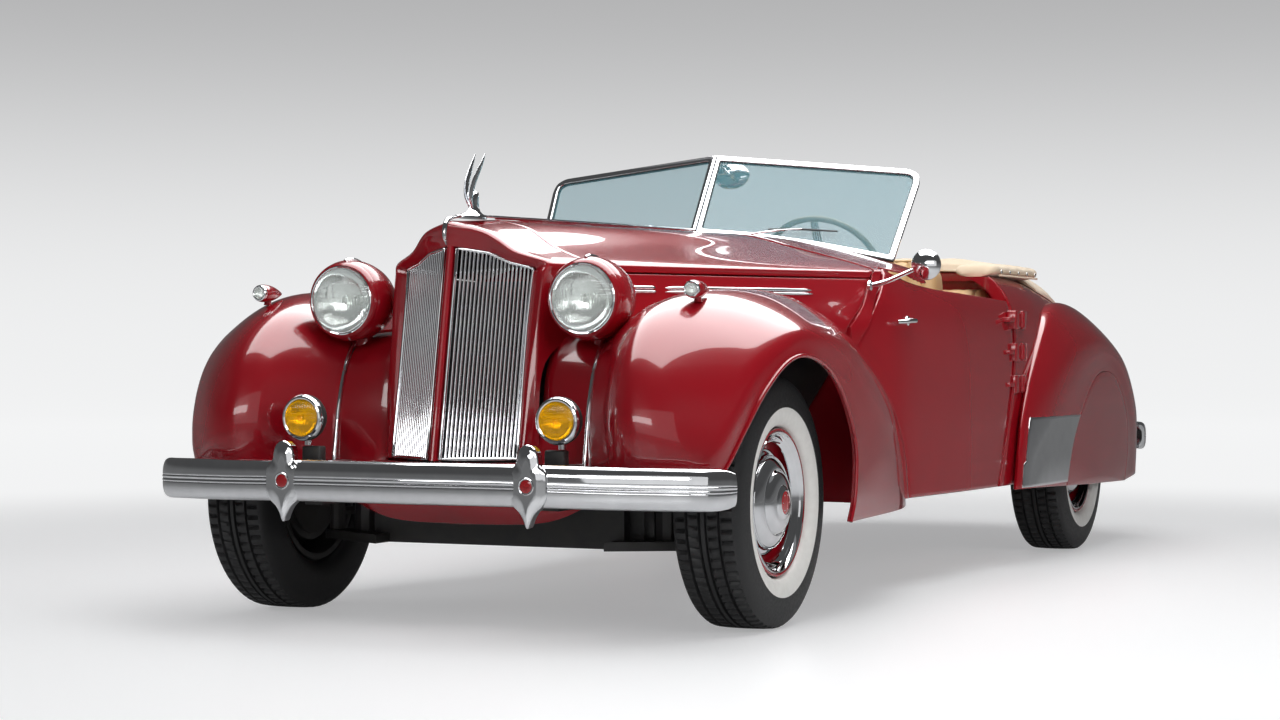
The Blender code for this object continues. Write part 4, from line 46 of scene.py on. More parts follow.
camera.rotation_euler = Vector((-0.40957, 0.91226, -0.005)).to_track_quat("-Z", "Y").to_euler()
bpy.context.scene.collection.objects.link(camera)
bpy.context.scene.camera = camera

# Places are (half width, distance behind the front axle, height), in tables in millimetres.
FRONT_AXLE_Y = -1.863
WHEELBASE = 3.226
REAR_AXLE_Y = FRONT_AXLE_Y + WHEELBASE
UP = Vector((0, 0, 1))
ACROSS = Vector((1, 0, 0))
BACK = Vector((0, 1, 0))
SHARP = math.radians(32)
BLUNT = math.radians(60)


def at(x, run, z):
    return Vector((x, FRONT_AXLE_Y + run, z))


def mm(table):
    """A table in millimetres, as metres."""
    return [tuple(value / 1000 for value in row) for row in table]


def places(table):
    return [at(*row) for row in mm(table)]


# Curves and surfaces.
def catmull(a, b, c, d, t):
    return (b * 2 + (c - a) * t + (a * 2 - b * 5 + c * 4 - d) * t**2 + (b * 3 - a - c * 3 + d) * t**3) / 2


def threaded(points, steps):
    """A curve through the points, with the same number of steps between each two of them."""
    fine = []
    last = len(points) - 1
    for i in range(last):
        before = points[i - 1] if i > 0 else points[i] * 2 - points[i + 1]
        after = points[i + 2] if i + 2 <= last else points[i + 1] * 2 - points[i]
        fine += [catmull(before, points[i], points[i + 1], after, k / steps) for k in range(steps)]
    return fine + [points[last] * 1]


def spaced(points, count):
    """The same line cut into equal lengths."""
    lengths = [0.0]
    for a, b in zip(points, points[1:]):
        lengths.append(lengths[-1] + (b - a).length)
    found = []
    k = 0
    for i in range(count):
        want = lengths[-1] * i / (count - 1)
        while k < len(points) - 2 and lengths[k + 1] < want:
            k += 1
        span = lengths[k + 1] - lengths[k]
        found.append(points[k].lerp(points[k + 1], (want - lengths[k]) / span if span else 0))
    return found


def curve(points, count):
    return spaced(threaded(points, 16), count)


def surface(rails, rows, columns):
    """A grid through rails that run lengthwise: each rail gives one point to each row."""
    spread = [curve(rail, rows) for rail in rails]
    return [curve([rail[i] for rail in spread], columns) for i in range(rows)]


def eased(table, run):
    """A smooth reading of a table of (run, value) pairs."""
    if run <= table[0][0]:
        return table[0][1]
    for i in range(len(table) - 1):
        (a, first), (b, second) = table[i], table[i + 1]
        if run <= b:
            before = table[i - 1][1] if i > 0 else first * 2 - second
            after = table[i + 2][1] if i + 2 < len(table) else second * 2 - first
            return catmull(before, first, second, after, (run - a) / (b - a))
    return table[-1][1]


def stretch(rail, start_y, end_y, count):
    """The part of a rail between two places along the car."""
    fine = threaded(rail, 40)
    kept = []
    spot = 0
    for k in range(count):
        want = start_y + (end_y - start_y) * k / (count - 1)
        while spot < len(fine) - 2 and fine[spot + 1].y < want:
            spot += 1
        span = fine[spot + 1].y - fine[spot].y
        kept.append(fine[spot].lerp(fine[spot + 1], (want - fine[spot].y) / span))
    return kept


def flipped(points):
    """The points on the car's other side, in the opposite order."""
    return [Vector((-p.x, p.y, p.z)) for p in reversed(points)]


def steps(start, end, count):
    """Evenly spaced values, both ends included."""
    return [start + (end - start) * k / (count - 1) for k in range(count)]


def oval(centre, wide, long, count, across=ACROSS, along=BACK):
    """A ring of points round a centre."""
    turns = [math.tau * k / count for k in range(count)]
    return [centre + across * (wide * math.cos(t)) + along * (long * math.sin(t)) for t in turns]


# Meshes.
def linked(name, mesh):
    found = bpy.data.objects.new(name, mesh)
    bpy.context.scene.collection.objects.link(found)
    return found


def piece(name, points, faces, finish, angle=SHARP, outwards=True):
    """A mesh object with its finish, smooth but for its sharp edges."""
    mesh = bpy.data.meshes.new(name)
    mesh.from_pydata([tuple(p) for p in points], [], faces)
    for one in finish if isinstance(finish, list) else [finish]:
        mesh.materials.append(one)
    if outwards:
        made = bmesh.new()
        made.from_mesh(mesh)
        bmesh.ops.recalc_face_normals(made, faces=made.faces)
        made.to_mesh(mesh)
        made.free()
    mesh.shade_smooth()
    mesh.set_sharp_from_angle(angle=angle)
    return linked(name, mesh)


def grid_faces(rows, columns, start=0, around=False):
    faces = []
    for i in range(rows - 1):
        for k in range(columns if around else columns - 1):
            a = start + i * columns + k
            b = start + i * columns + (k + 1) % columns
            faces.append((a, b, b + columns, a + columns))
    return faces


def grid_normals(grid):
    normals = []
    for i, row in enumerate(grid):
        line = []
        for k in range(len(row)):
            down = grid[min(i + 1, len(grid) - 1)][k] - grid[max(i - 1, 0)][k]
            over = row[min(k + 1, len(row) - 1)] - row[max(k - 1, 0)]
            line.append(down.cross(over).normalized())
        normals.append(line)
    return normals


def panel(name, grid, wall, inside, finish, lining=None, roll=0.0015, lift=0.0):
    """Pressed metal: the grid is its outer face, its edge is rolled over, its inner face may be lined."""
    normals = grid_normals(grid)
    lean = sum(n.dot(inside - p) for row, line in zip(grid, normals) for p, n in zip(row, line))
    side = 1 if lean > 0 else -1
    rows = len(grid)
    columns = len(grid[0])
    total = rows * columns
    outer = [p - n * side * lift for row, line in zip(grid, normals) for p, n in zip(row, line)]
    inner = [p + n * side * wall for row, line in zip(grid, normals) for p, n in zip(row, line)]
    faces = grid_faces(rows, columns)
    kinds = [0] * len(faces)
    backs = grid_faces(rows, columns, total)
    faces += [tuple(reversed(face)) for face in backs]
    kinds += [1 if lining else 0] * len(backs)
    edge = list(range(columns)) + [i * columns + columns - 1 for i in range(1, rows)]
    edge += [
        (rows - 1) * columns + k for k in range(columns - 2, -1, -1)
    ] + [i * columns for i in range(rows - 2, 0, -1)]
    for a, b in zip(edge, edge[1:] + edge[:1]):
        faces.append((a, b, total + b, total + a))
        kinds.append(0)
    found = piece(name, outer + inner, faces, [finish, lining] if lining else finish)
    found.data.polygons.foreach_set("material_index", kinds)
    return rounded(found, roll) if roll else found


def applied(found):
    """The object with its modifiers made part of its mesh."""
    graph = bpy.context.evaluated_depsgraph_get()
    mesh = bpy.data.meshes.new_from_object(found.evaluated_get(graph))
    found.modifiers.clear()
    old = found.data
    found.data = mesh
    mesh.name = found.name
    bpy.data.meshes.remove(old)
    return found


def rounded(found, width, segments=2, angle=SHARP):
    """Sharp edges rounded off, as on any pressed, cast or turned piece."""
    bevel = found.modifiers.new("Round", "BEVEL")
    bevel.width = width
    bevel.segments = segments
    bevel.limit_method = "ANGLE"
    bevel.angle_limit = angle
    bevel.harden_normals = False
    applied(found)
    found.data.shade_smooth()
    found.data.set_sharp_from_angle(angle=math.radians(50))
    return found


def frame_of(direction):
    forward = direction.normalized()
    helper = UP if abs(forward.z) < 0.9 else ACROSS
    side = forward.cross(helper).normalized()
    return side, side.cross(forward)


def rod(name, points, radii, sides, finish):
    """A round bar along points, with its ends closed."""
    if not isinstance(radii, (list, tuple)):
        radii = [radii] * len(points)
    rings = []
    for i, (point, radius) in enumerate(zip(points, radii)):
        side, up = frame_of(points[min(i + 1, len(points) - 1)] - points[max(i - 1, 0)])
        rings.append(oval(point, radius, radius, sides, side, up))
    return loft(name, rings, finish)


def loft(name, rings, finish, caps=True, angle=SHARP):
    """Closed rings bridged in turn, with the ends capped."""
    size = len(rings[0])
    points = [point for ring in rings for point in ring]
    faces = grid_faces(len(rings), size, around=True)
    if caps:
        faces += [tuple(range(size)), tuple(range(len(points) - size, len(points)))]
    return piece(name, points, faces, finish, angle)


def hoop(name, rings, finish, angle=SHARP):
    """Closed rings bridged in turn, the last one to the first."""
    size = len(rings[0])
    points = [point for ring in rings for point in ring]
    faces = []
    for i in range(len(rings)):
        a, b = i * size, (i + 1) % len(rings) * size
        faces += [(a + k, a + (k + 1) % size, b + (k + 1) % size, b + k) for k in range(size)]
    return piece(name, points, faces, finish, angle)


def turned(name, profile, centre, axis, sides, finish, closed=False, kinds=None):
    """A lathe shape: profile holds (distance along the axis, radius), kinds each stretch's finish."""
    side, up = frame_of(axis)
    forward = axis.normalized()
    points = []
    rings = []
    for run, radius in profile:
        start = len(points)
        if radius <= 0:
            points.append(centre + forward * run)
            rings.append([start] * sides)
            continue
        points += oval(centre + forward * run, radius, radius, sides, side, up)
        rings.append(list(range(start, start + sides)))
    faces = []
    marks = []
    pairs = list(zip(rings, rings[1:])) + ([(rings[-1], rings[0])] if closed else [])
    for i, (a, b) in enumerate(pairs):
        for k in range(sides):
            j = (k + 1) % sides
            corners = list(dict.fromkeys((a[k], a[j], b[j], b[k])))
            if len(corners) > 2:
                faces.append(tuple(corners))
                marks.append(kinds[i] if kinds else 0)
    found = piece(name, points, faces, finish)
    found.data.polygons.foreach_set("material_index", marks)
    return found


def smooth_profile(points, fine):
    return [(p.x, max(0.0, p.y)) for p in threaded([Vector(p) for p in points], fine)]


def lathe(place, axis, *rows):
    """Turned parts from rows: name, profile in millimetres, steps (0 closes the profile), sides, finish."""
    parts = []
    for name, profile, fine, sides, finish in rows:
        outline = smooth_profile(mm(profile), fine) if fine else mm(profile)
        parts.append(turned(name, outline, place, axis, sides, finish, closed=not fine))
    return parts


def mirrored(found, name):
    """The same piece on the car's other side."""
    mesh = found.data.copy()
    mesh.name = name
    mesh.transform(Matrix.Scale(-1, 4, ACROSS))
    mesh.flip_normals()
    return linked(name, mesh)


def united(name, parts):
    """Several pieces as one object, with each face keeping its finish."""
    finishes = []
    made = bmesh.new()
    for part in parts:
        places_of = []
        for one in part.data.materials:
            if one not in finishes:
                finishes.append(one)
            places_of.append(finishes.index(one))
        start = len(made.faces)
        made.from_mesh(part.data)
        made.faces.ensure_lookup_table()
        for face in made.faces[start:]:
            face.material_index = places_of[face.material_index]
    mesh = bpy.data.meshes.new(name)
    made.to_mesh(mesh)
    made.free()
    for one in finishes:
        mesh.materials.append(one)
    for part in parts:
        bpy.data.objects.remove(part)
    return linked(name, mesh)


# Finishes.
def add(tree, kind, settings=None, **links):
    """A shader node: a link for each socket given, a value for each number."""
    made = tree.nodes.new(kind)
    for key, value in (settings or {}).items():
        setattr(made, key, value)
    for key, value in links.items():
        socket = made.inputs[key.replace("_", " ")] if not key[-1].isdigit() else made.inputs[int(key[-1])]
        if isinstance(value, bpy.types.NodeSocket):
            tree.links.new(value, socket)
        else:
            socket.default_value = value
    return made


def ranged(tree, value, low=0.0, high=1.0, first=0.0, last=1.0, settings=None):
    """A value carried from one range to another."""
    made = add(tree, "ShaderNodeMapRange", settings, Value=value)
    for label, number in (("From Min", low), ("From Max", high), ("To Min", first), ("To Max", last)):
        made.inputs[label].default_value = number
    return made.outputs["Result"]


def mixed(tree, share, first, second):
    """A blend of two colours, each a value or another node's colour."""
    made = add(tree, "ShaderNodeMix", {"data_type": "RGBA"})
    tree.links.new(share, made.inputs[0])
    for socket, colour in ((made.inputs[6], first), (made.inputs[7], second)):
        if isinstance(colour, bpy.types.NodeSocket):
            tree.links.new(colour, socket)
        else:
            socket.default_value = (*colour, 1)
    return made.outputs[2]


TEXTURE_OUTPUTS = [("Height", "NodeSocketFloat"), ("Mask", "NodeSocketFloat")]


def group(name, inputs, outputs):
    """A shader group with number inputs and named outputs, and its two end nodes."""
    tree = bpy.data.node_groups.new(name, "ShaderNodeTree")
    for label, value in inputs:
        socket = tree.interface.new_socket(name=label, in_out="INPUT", socket_type="NodeSocketFloat")
        socket.default_value = value
    for label, kind in outputs:
        tree.interface.new_socket(name=label, in_out="OUTPUT", socket_type=kind)
    return tree, tree.nodes.new("NodeGroupInput"), tree.nodes.new("NodeGroupOutput")


def grain_group():
    """Fine grain: noise in object space, as a height and as a mask."""
    tree, source, result = group("grain", [("Scale", 400.0), ("Detail", 4.0)], TEXTURE_OUTPUTS)
    place = add(tree, "ShaderNodeTexCoord")
    sizes = {"Scale": source.outputs["Scale"], "Detail": source.outputs["Detail"]}
    noise = add(tree, "ShaderNodeTexNoise", Vector=place.outputs["Object"], **sizes)
    tree.links.new(noise.outputs["Fac"], result.inputs["Height"])
    tree.links.new(ranged(tree, noise.outputs["Fac"], 0.3, 0.7), result.inputs["Mask"])
    return tree


def weave_group():
    """Threads over and under each other, in object space."""
    tree, source, result = group("weave", [("Scale", 300.0)], TEXTURE_OUTPUTS)
    place = add(tree, "ShaderNodeTexCoord")
    links = {"Vector": place.outputs["Object"], "Scale": source.outputs["Scale"], "Distortion": 0.4}
    warp, weft = (add(tree, "ShaderNodeTexWave", {"bands_direction": way}, **links) for way in ("X", "Y"))
    sides = {"in0": warp.outputs["Fac"], "in1": weft.outputs["Fac"]}
    over = add(tree, "ShaderNodeMath", {"operation": "MULTIPLY"}, **sides)
    blot = add(tree, "ShaderNodeTexNoise", Vector=place.outputs["Object"], Scale=9.0, Detail=4.0)
    tree.links.new(over.outputs["Value"], result.inputs["Height"])
    tree.links.new(blot.outputs["Fac"], result.inputs["Mask"])
    return tree


def hide_group():
    """Leather: small cells with creases between them."""
    tree, source, result = group("hide", [("Scale", 260.0)], TEXTURE_OUTPUTS)
    place = add(tree, "ShaderNodeTexCoord")
    links = {"Vector": place.outputs["Object"], "Scale": source.outputs["Scale"]}
    cells = add(tree, "ShaderNodeTexVoronoi", {"feature": "DISTANCE_TO_EDGE"}, **links)
    tone = add(tree, "ShaderNodeTexNoise", Vector=place.outputs["Object"], Scale=14.0, Detail=5.0)
    tree.links.new(ranged(tree, cells.outputs["Distance"], 0.0, 0.12), result.inputs["Height"])
    tree.links.new(tone.outputs["Fac"], result.inputs["Mask"])
    return tree


GRAIN = grain_group()
WEAVE = weave_group()
HIDE = hide_group()


def new_material(name, texture, scale, rough):
    """A material whose gloss varies with a texture group."""
    made = bpy.data.materials.new(name)
    made.use_nodes = True
    tree = made.node_tree
    shader = tree.nodes["Principled BSDF"]
    pattern = add(tree, "ShaderNodeGroup", {"node_tree": texture}, Scale=scale)
    gloss = ranged(tree, pattern.outputs["Mask"], 0.0, 1.0, *rough)
    tree.links.new(gloss, shader.inputs["Roughness"])
    return made, tree, shader, pattern


def settled(shader, values):
    for key, value in values.items():
        shader.inputs[key.replace("_", " ")].default_value = value


def finish(name, colour, other, rough, texture, scale, bump, metallic=0.0, **fixed):
    """A finish whose colour and gloss vary with a texture group; rough holds (lowest, highest)."""
    made, tree, shader, pattern = new_material(name, texture, scale, rough)
    tree.links.new(mixed(tree, pattern.outputs["Mask"], colour, other), shader.inputs["Base Color"])
    if bump:
        sizes = {"Strength": bump[0], "Distance": bump[1]}
        raised = add(tree, "ShaderNodeBump", Height=pattern.outputs["Height"], **sizes)
        tree.links.new(raised.outputs["Normal"], shader.inputs["Normal"])
    settled(shader, {"Metallic": metallic, **fixed})
    return made


ENAMEL = finish(
    "red_enamel", (0.33, 0.0045, 0.012), (0.3, 0.0035, 0.01), (0.2, 0.26), GRAIN, 3.0, None,
    Coat_Weight=0.85, Coat_Roughness=0.02, Specular_IOR_Level=0.25,
)
CHROME = finish("chrome", (0.8, 0.81, 0.83), (0.74, 0.75, 0.77), (0.035, 0.075), GRAIN, 24.0, None, 1.0)
BLACK = finish(
    "chassis_black", (0.016, 0.016, 0.017), (0.034, 0.032, 0.03), (0.38, 0.62), GRAIN, 18.0, (0.15, 0.0006)
)
IRON = finish(
    "cast_iron", (0.035, 0.034, 0.033), (0.06, 0.056, 0.052), (0.5, 0.75), GRAIN, 60.0, (0.35, 0.001), 0.3
)
RUBBER = finish(
    "tyre_rubber", (0.01, 0.01, 0.011), (0.02, 0.02, 0.021), (0.45, 0.62), GRAIN, 120.0, (0.12, 0.0004)
)
WHITE = finish(
    "whitewall", (0.84, 0.83, 0.8), (0.78, 0.77, 0.74), (0.42, 0.55), GRAIN, 40.0, (0.05, 0.0003)
)
LEATHER = finish(
    "tan_leather", (0.7, 0.46, 0.215), (0.6, 0.38, 0.17), (0.42, 0.6), HIDE, 300.0, (0.3, 0.0006),
    Sheen_Weight=0.1,
)
CANVAS = finish(
    "tan_canvas", (0.8, 0.65, 0.47), (0.72, 0.57, 0.4), (0.75, 0.9), WEAVE, 420.0, (0.35, 0.0006),
    Sheen_Weight=0.25,
)
CARPET = finish(
    "tan_carpet", (0.3, 0.2, 0.115), (0.24, 0.155, 0.088), (0.9, 1.0), GRAIN, 700.0, (0.6, 0.003),
    Sheen_Weight=0.4,
)
IVORY = finish(
    "ivory_plastic", (0.66, 0.58, 0.42), (0.6, 0.52, 0.37), (0.22, 0.32), GRAIN, 10.0, None, Coat_Weight=0.4
)
RED_DISC = finish(
    "red_disc", (0.42, 0.01, 0.014), (0.38, 0.008, 0.012), (0.12, 0.2), GRAIN, 50.0, None, Coat_Weight=0.8
)
# Near-black painted shade, laid on the radiator shell's back face so the grille's mouth reads as a dark
# recess.
RECESS_SHADE = finish("painted_recess_shade", (0.01, 0.01, 0.011), (0.016, 0.016, 0.016), (0.6, 0.8), GRAIN, 30.0, None)


def clear(name, colour, rough, alpha=1.0, **fixed):
    """Glass or lens: its faint smears change only the gloss."""
    made, _, shader, _ = new_material(name, GRAIN, 7.0, rough)
    settled(shader, {"Base_Color": (*colour, 1), "Alpha": alpha, **fixed})
    return made


PANE = clear("windscreen_glass", (0.12, 0.34, 0.4), (0.01, 0.03), 0.34, Specular_IOR_Level=0.12)
LENS = clear("lamp_glass", (0.9, 0.93, 0.9), (0.02, 0.06), 1.0, Transmission_Weight=0.86, IOR=1.45)
YELLOW = clear("yellow_glass", (0.98, 0.66, 0.015), (0.03, 0.08), 1.0, Transmission_Weight=0.85, IOR=1.45)
RUBY = clear("red_glass", (0.6, 0.012, 0.012), (0.03, 0.08), 1.0, Transmission_Weight=0.5, IOR=1.4)


# The body's tables: (distance behind the front axle, half width) and (distance, height).
SIDE = mm([
    (800, 665), (1000, 715), (1240, 785), (1500, 815), (1800, 840), (2300, 862), (2700, 872), (3200, 862),
    (3600, 815), (3950, 730), (4200, 625), (4340, 500),
])
CROWN = mm([
    (800, 1178), (1300, 1150), (2300, 1120), (3000, 1085), (3400, 1060), (3700, 990), (3950, 890),
    (4150, 760), (4280, 620), (4360, 480),
])
SIDE_POWER = [(0.8, 6.0), (2.6, 6.0), (3.1, 5.0), (3.6, 3.4), (4.36, 2.5)]
FENDER_INNER = [
    (402, -355, 455), (402, -335, 620), (402, -285, 760), (405, -170, 835), (420, 50, 848),
    (490, 350, 848), (600, 700, 838), (700, 930, 775), (745, 1100, 620), (772, 1200, 450),
    (782, 1235, 285),
]
FENDER_CROWN = [
    (600, -530, 430), (610, -560, 600), (610, -490, 785), (610, -330, 905), (655, -70, 957),
    (700, 330, 952), (735, 720, 870), (765, 960, 745), (785, 1110, 580), (800, 1190, 430),
    (805, 1215, 285),
]
FENDER_WIDE = [
    (755, -490, 415), (810, -460, 530), (845, -385, 670), (868, -260, 790), (905, -40, 860),
    (925, 280, 820), (920, 550, 720), (905, 770, 600), (895, 850, 500), (885, 900, 400), (880, 920, 285),
]
FENDER_LIP = [
    (800, -447, 411), (835, -400, 465), (868, -335, 572), (900, -260, 680), (925, -150, 757),
    (940, -20, 767), (940, 157, 715), (940, 284, 612), (940, 353, 494), (940, 345, 360), (935, 320, 285),
]
REAR_INNER = [
    (868, 2235, 285), (866, 2330, 560), (848, 2500, 760), (810, 2750, 925), (770, 3050, 962),
    (745, 3450, 905), (700, 3850, 750), (645, 4100, 520), (600, 4180, 285),
]
REAR_CROWN = [
    (888, 2225, 285), (893, 2310, 550), (888, 2490, 740), (868, 2760, 910), (845, 3080, 952),
    (830, 3480, 885), (800, 3880, 710), (765, 4100, 480), (740, 4160, 275),
]
REAR_WIDE = [
    (918, 2360, 285), (932, 2460, 500), (942, 2620, 660), (948, 2880, 790), (950, 3200, 820),
    (945, 3550, 740), (925, 3830, 570), (900, 3960, 420), (885, 4000, 270),
]
REAR_LIP = [
    (930, 2735, 275), (942, 2770, 420), (948, 2870, 540), (950, 3050, 660), (950, 3230, 700),
    (948, 3420, 670), (942, 3600, 550), (930, 3690, 400), (915, 3700, 250),
]
HOOD_RIDGE = [(6, -414, 1147), (6, -300, 1159), (6, 105, 1167), (6, 800, 1178), (6, 1520, 1188)]
HOOD_CROWN = [(95, -368, 1118), (100, -250, 1130), (115, 105, 1147), (190, 800, 1162), (260, 1520, 1171)]
HOOD_FLANK = [(163, -322, 1066), (178, -220, 1075), (210, 105, 1090), (330, 800, 1112), (480, 1520, 1131)]
HOOD_SHOULDER = [
    (240, -268, 1034), (258, -180, 1038), (335, 105, 1042), (545, 800, 1048), (705, 1320, 1056),
    (735, 1520, 1056),
]
HOOD_SIDE = [
    (246, -270, 1005), (268, -180, 1010), (352, 105, 1014), (568, 800, 1018), (742, 1300, 1022),
    (768, 1520, 1022),
]
HOOD_MIDDLE = [
    (250, -285, 930), (276, -200, 930), (372, 105, 930), (605, 800, 930), (757, 1220, 930),
    (795, 1520, 930),
]
HOOD_LOW = [
    (252, -295, 858), (284, -200, 858), (390, 105, 858), (628, 800, 858), (764, 1150, 858),
    (805, 1520, 858),
]
HOOD_FRONT = [-0.125, -0.125, -0.115, -0.105, -0.105, -0.105, -0.105]
HOOD_REAR = [1.22, 1.22, 1.22, 1.21, 1.17, 1.07, 0.97]
GRILLE = [
    (16, -500, 479), (202, -372, 479), (209.5, -340, 750), (212, -325, 858), (214, -312, 930),
    (215.5, -298, 1000), (216, -292, 1022), (155, -322, 1037), (100, -352, 1064), (16, -395, 1076),
]
SHELL_RIM = [
    (226, -358, 479), (233.5, -325, 750), (237, -308, 858), (239, -296, 930), (241, -282, 1000),
    (241, -270, 1034), (163, -322, 1066), (95, -368, 1118), (0, -412, 1146),
]
SHELL_FOOT = [(244, -330, 479), (250, -300, 750)]
DOOR_FRONT = mm([
    (1290, 300), (1262, 450), (1170, 620), (1075, 715), (998, 780), (1115, 915), (1255, 1052),
])
DOOR_REAR = mm([
    (2100, 300), (2170, 450), (2235, 620), (2265, 715), (2285, 780), (2315, 915), (2325, 962),
])
DOOR_TOP = mm([(1255, 1052), (1345, 1030), (1460, 1008), (1660, 990), (1950, 978), (2325, 962)])
WINDSCREEN_BASE = [
    (0, 1355, 1184), (200, 1395, 1174), (400, 1436, 1143), (550, 1466, 1111), (670, 1490, 1084),
]
WINDSCREEN_TOP = [(0, 1545, 1462), (655, 1708, 1404), (690, 1704, 1388), (698, 1685, 1360)]
CATWALK_INNER = [
    (256, -354, 450), (256.5, -346, 490), (259, -305, 600), (262, -288, 720), (268, -245, 795),
    (280, -200, 828), (318, -60, 838), (385, 125, 842),
]
CATWALK_OUTER = [
    (398, -352, 450), (398, -347, 490), (397, -330, 600), (396, -296, 720), (396, -240, 795),
    (397, -165, 828), (403, -40, 838), (422, 130, 842),
]
FENDER_SEAM = [
    (400, -225, 815), (400, -262, 780), (400, -300, 715), (400, -328, 625), (400, -350, 500),
    (400, -356, 455),
]
BROW = [
    (0, -418, 1082), (0, -428, 1100), (0, -428, 1120), (0, -420, 1142), (0, -400, 1155), (0, -350, 1162)
]
FRONT_BAR = [
    (0, -660, 425), (300, -654, 425), (569, -620, 421), (740, -575, 419), (841, -525, 417),
    (885, -465, 417),
]
REAR_BAR = [
    (0, 4386, 425), (350, 4380, 425), (600, 4350, 423), (760, 4295, 420), (850, 4215, 418),
    (875, 4130, 418),
]
COVER_REACH = mm([(2300, 772), (3040, 752), (3270, 742), (3440, 690)])
SPLASH = [
    [(0, -490, 470), (200, -385, 470), (270, -354, 470), (395, -352, 470)],
    [(0, -445, 410), (200, -365, 410), (270, -340, 410), (395, -335, 420)],
    [(0, -375, 340), (200, -335, 340), (300, -322, 350), (395, -315, 385)],
    [(0, -305, 290), (200, -295, 295), (300, -290, 315), (395, -285, 360)],
]
SILL = 0.3
HOOD_RAILS = [HOOD_RIDGE, HOOD_CROWN, HOOD_FLANK, HOOD_SHOULDER, HOOD_SIDE, HOOD_MIDDLE, HOOD_LOW]
PANEL_GAP = 0.006
DOOR_GAP = 0.008
SKIN_REACH = 0.0005
LID_EDGE = 0.476
TAIL_END = 4.345
PROUD = 0.0012
FENDER_WALL = 0.012
INSIDE = at(0, 1.5, 0.55)


def side_at(run, z):
    """How far out the body's skin is."""
    half = eased(SIDE, run)
    top = eased(CROWN, run)
    power = eased(SIDE_POWER, run)
    rise = max(0.0, (z - SILL) / (top - SILL))
    return half * max(0.0, 1 - rise**power) ** (1 / power)


def skin_over(run, x):
    """The top of the body's skin at a place across the car."""
    half = eased(SIDE, run)
    top = eased(CROWN, run)
    power = eased(SIDE_POWER, run)
    rise = max(0.0, 1 - min(1.0, abs(x) / half) ** power) ** (1 / power)
    return at(x, run, SILL + (top - SILL) * rise)


def half_ring(run, reach, count):
    """The skin's section from the sill up and over to a distance from the middle."""
    half = eased(SIDE, run)
    top = eased(CROWN, run)
    corner = 0.5 ** (1 / eased(SIDE_POWER, run))
    high = SILL + (top - SILL) * corner
    points = [at(side_at(run, z), run, z) for z in steps(SILL, high, 41)]
    start = half * corner
    if start > reach:
        points += [skin_over(run, x) for x in steps(start, reach, 41)[1:]]
    else:
        points = [p for p in points if p.x >= reach] + [skin_over(run, reach)]
    return spaced(points, count)


# Dressing, fenders and skirts.
def dressed(found, body, slot, *nodes):
    """A finished piece, with its body and the solids that it stands for; its slot is not used."""
    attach(found, body)
    if nodes:
        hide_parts(*nodes)


def both_sides(found, name, slot, node=None, body="chassis"):
    """The left piece and its mirror image, each in place of its own solid if node names one."""
    other = mirrored(found, name + "_right")
    found.name = name + "_left"
    for made, side in ((found, "left"), (other, "right")):
        dressed(made, body.format(side), slot, *([f"{node}_{side}"] if node else []))


fender_rails = [places(rail) for rail in (FENDER_INNER, FENDER_CROWN, FENDER_WIDE, FENDER_LIP)]
fender = panel("fender", surface(fender_rails, 90, 44), FENDER_WALL, at(0.7, 0, 0.3), ENAMEL, BLACK, 0.003)
fender = united("fender", [fender, rod("lip", curve(fender_rails[-1], 80), 0.0058, 8, ENAMEL)])
both_sides(fender, "fender_front", "red_enamel", "front_fender")

rear_rails = [places(rail) for rail in (REAR_INNER, REAR_CROWN, REAR_WIDE, REAR_LIP)]
fender = panel("fender", surface(rear_rails, 84, 40), FENDER_WALL, at(0.7, 3.22, 0.3), ENAMEL, BLACK, 0.003)
both_sides(fender, "fender_rear", "red_enamel", "rear_fender")

lip = curve(rear_rails[-1], 64)
middle = sum(lip, Vector()) / len(lip)
cover_grid = []
for i, point in enumerate(lip):
    share = i / (len(lip) - 1)
    top = point + Vector((0, middle.y - point.y, middle.z - point.z)).normalized() * 0.002
    foot = (lip[0] + BACK * 0.002).lerp(lip[-1] - BACK * 0.002, share)
    row = []
    for k in range(16):
        spot = foot.lerp(top, k / 15)
        spot.x += 0.0105 * math.sin(math.pi * share) * math.sin(math.pi * (1 + k / 15) / 2)
        row.append(spot)
    cover_grid.append(row)
skirt = panel("skirt", cover_grid, FENDER_WALL, at(0.7, 3.22, 0.3), ENAMEL, BLACK, 0.003)
both_sides(skirt, "skirt", "red_enamel", "fender_skirt")

# Hood: two halves hinged along the middle, and a fixed side panel under each.
def hood_rails(first, last, rows):
    rails = []
    for table, front, rear in list(zip(HOOD_RAILS, HOOD_FRONT, HOOD_REAR))[first:last]:
        start = FRONT_AXLE_Y + front + PANEL_GAP / 2
        end = FRONT_AXLE_Y + rear - PANEL_GAP / 2
        rails.append(stretch(places(table), start, end, rows))
    return rails


top_rails = hood_rails(0, 5, 60)
grid = [threaded([rail[i] for rail in top_rails], 10) for i in range(60)]
hood = panel("hood", grid, 0.012, at(0, 0.5, 0.6), ENAMEL, BLACK, 0.002)
both_sides(hood, "hood_top", "red_enamel", "hood", "hood_{}")

side_rails = hood_rails(4, 7, 60)
side_rails[0] = [p - UP * PANEL_GAP for p in side_rails[0]]
grid = []
for i in range(60):
    low = side_rails[-1][i]
    tuck = low - UP * 0.06 - ACROSS * 0.008
    run = low.y - FRONT_AXLE_Y
    inset = 0.37 + 0.13 * min(1.0, max(0.0, (run - 0.5) / 0.55))
    foot = Vector((inset + 0.0215, low.y, 0.4703))
    line = threaded([rail[i] for rail in side_rails] + [tuck], 8)
    grid.append(line + [tuck.lerp(foot + UP * 0.03, k / 8) for k in range(1, 9)] + [foot])
flank = panel("flank", grid, 0.01, at(0, 0.5, 0.6), ENAMEL, BLACK, 0.002)
for face in flank.data.polygons:
    if face.center.z < 0.838:
        face.material_index = 1
both_sides(flank, "hood_flank", "red_enamel", "hood_side")

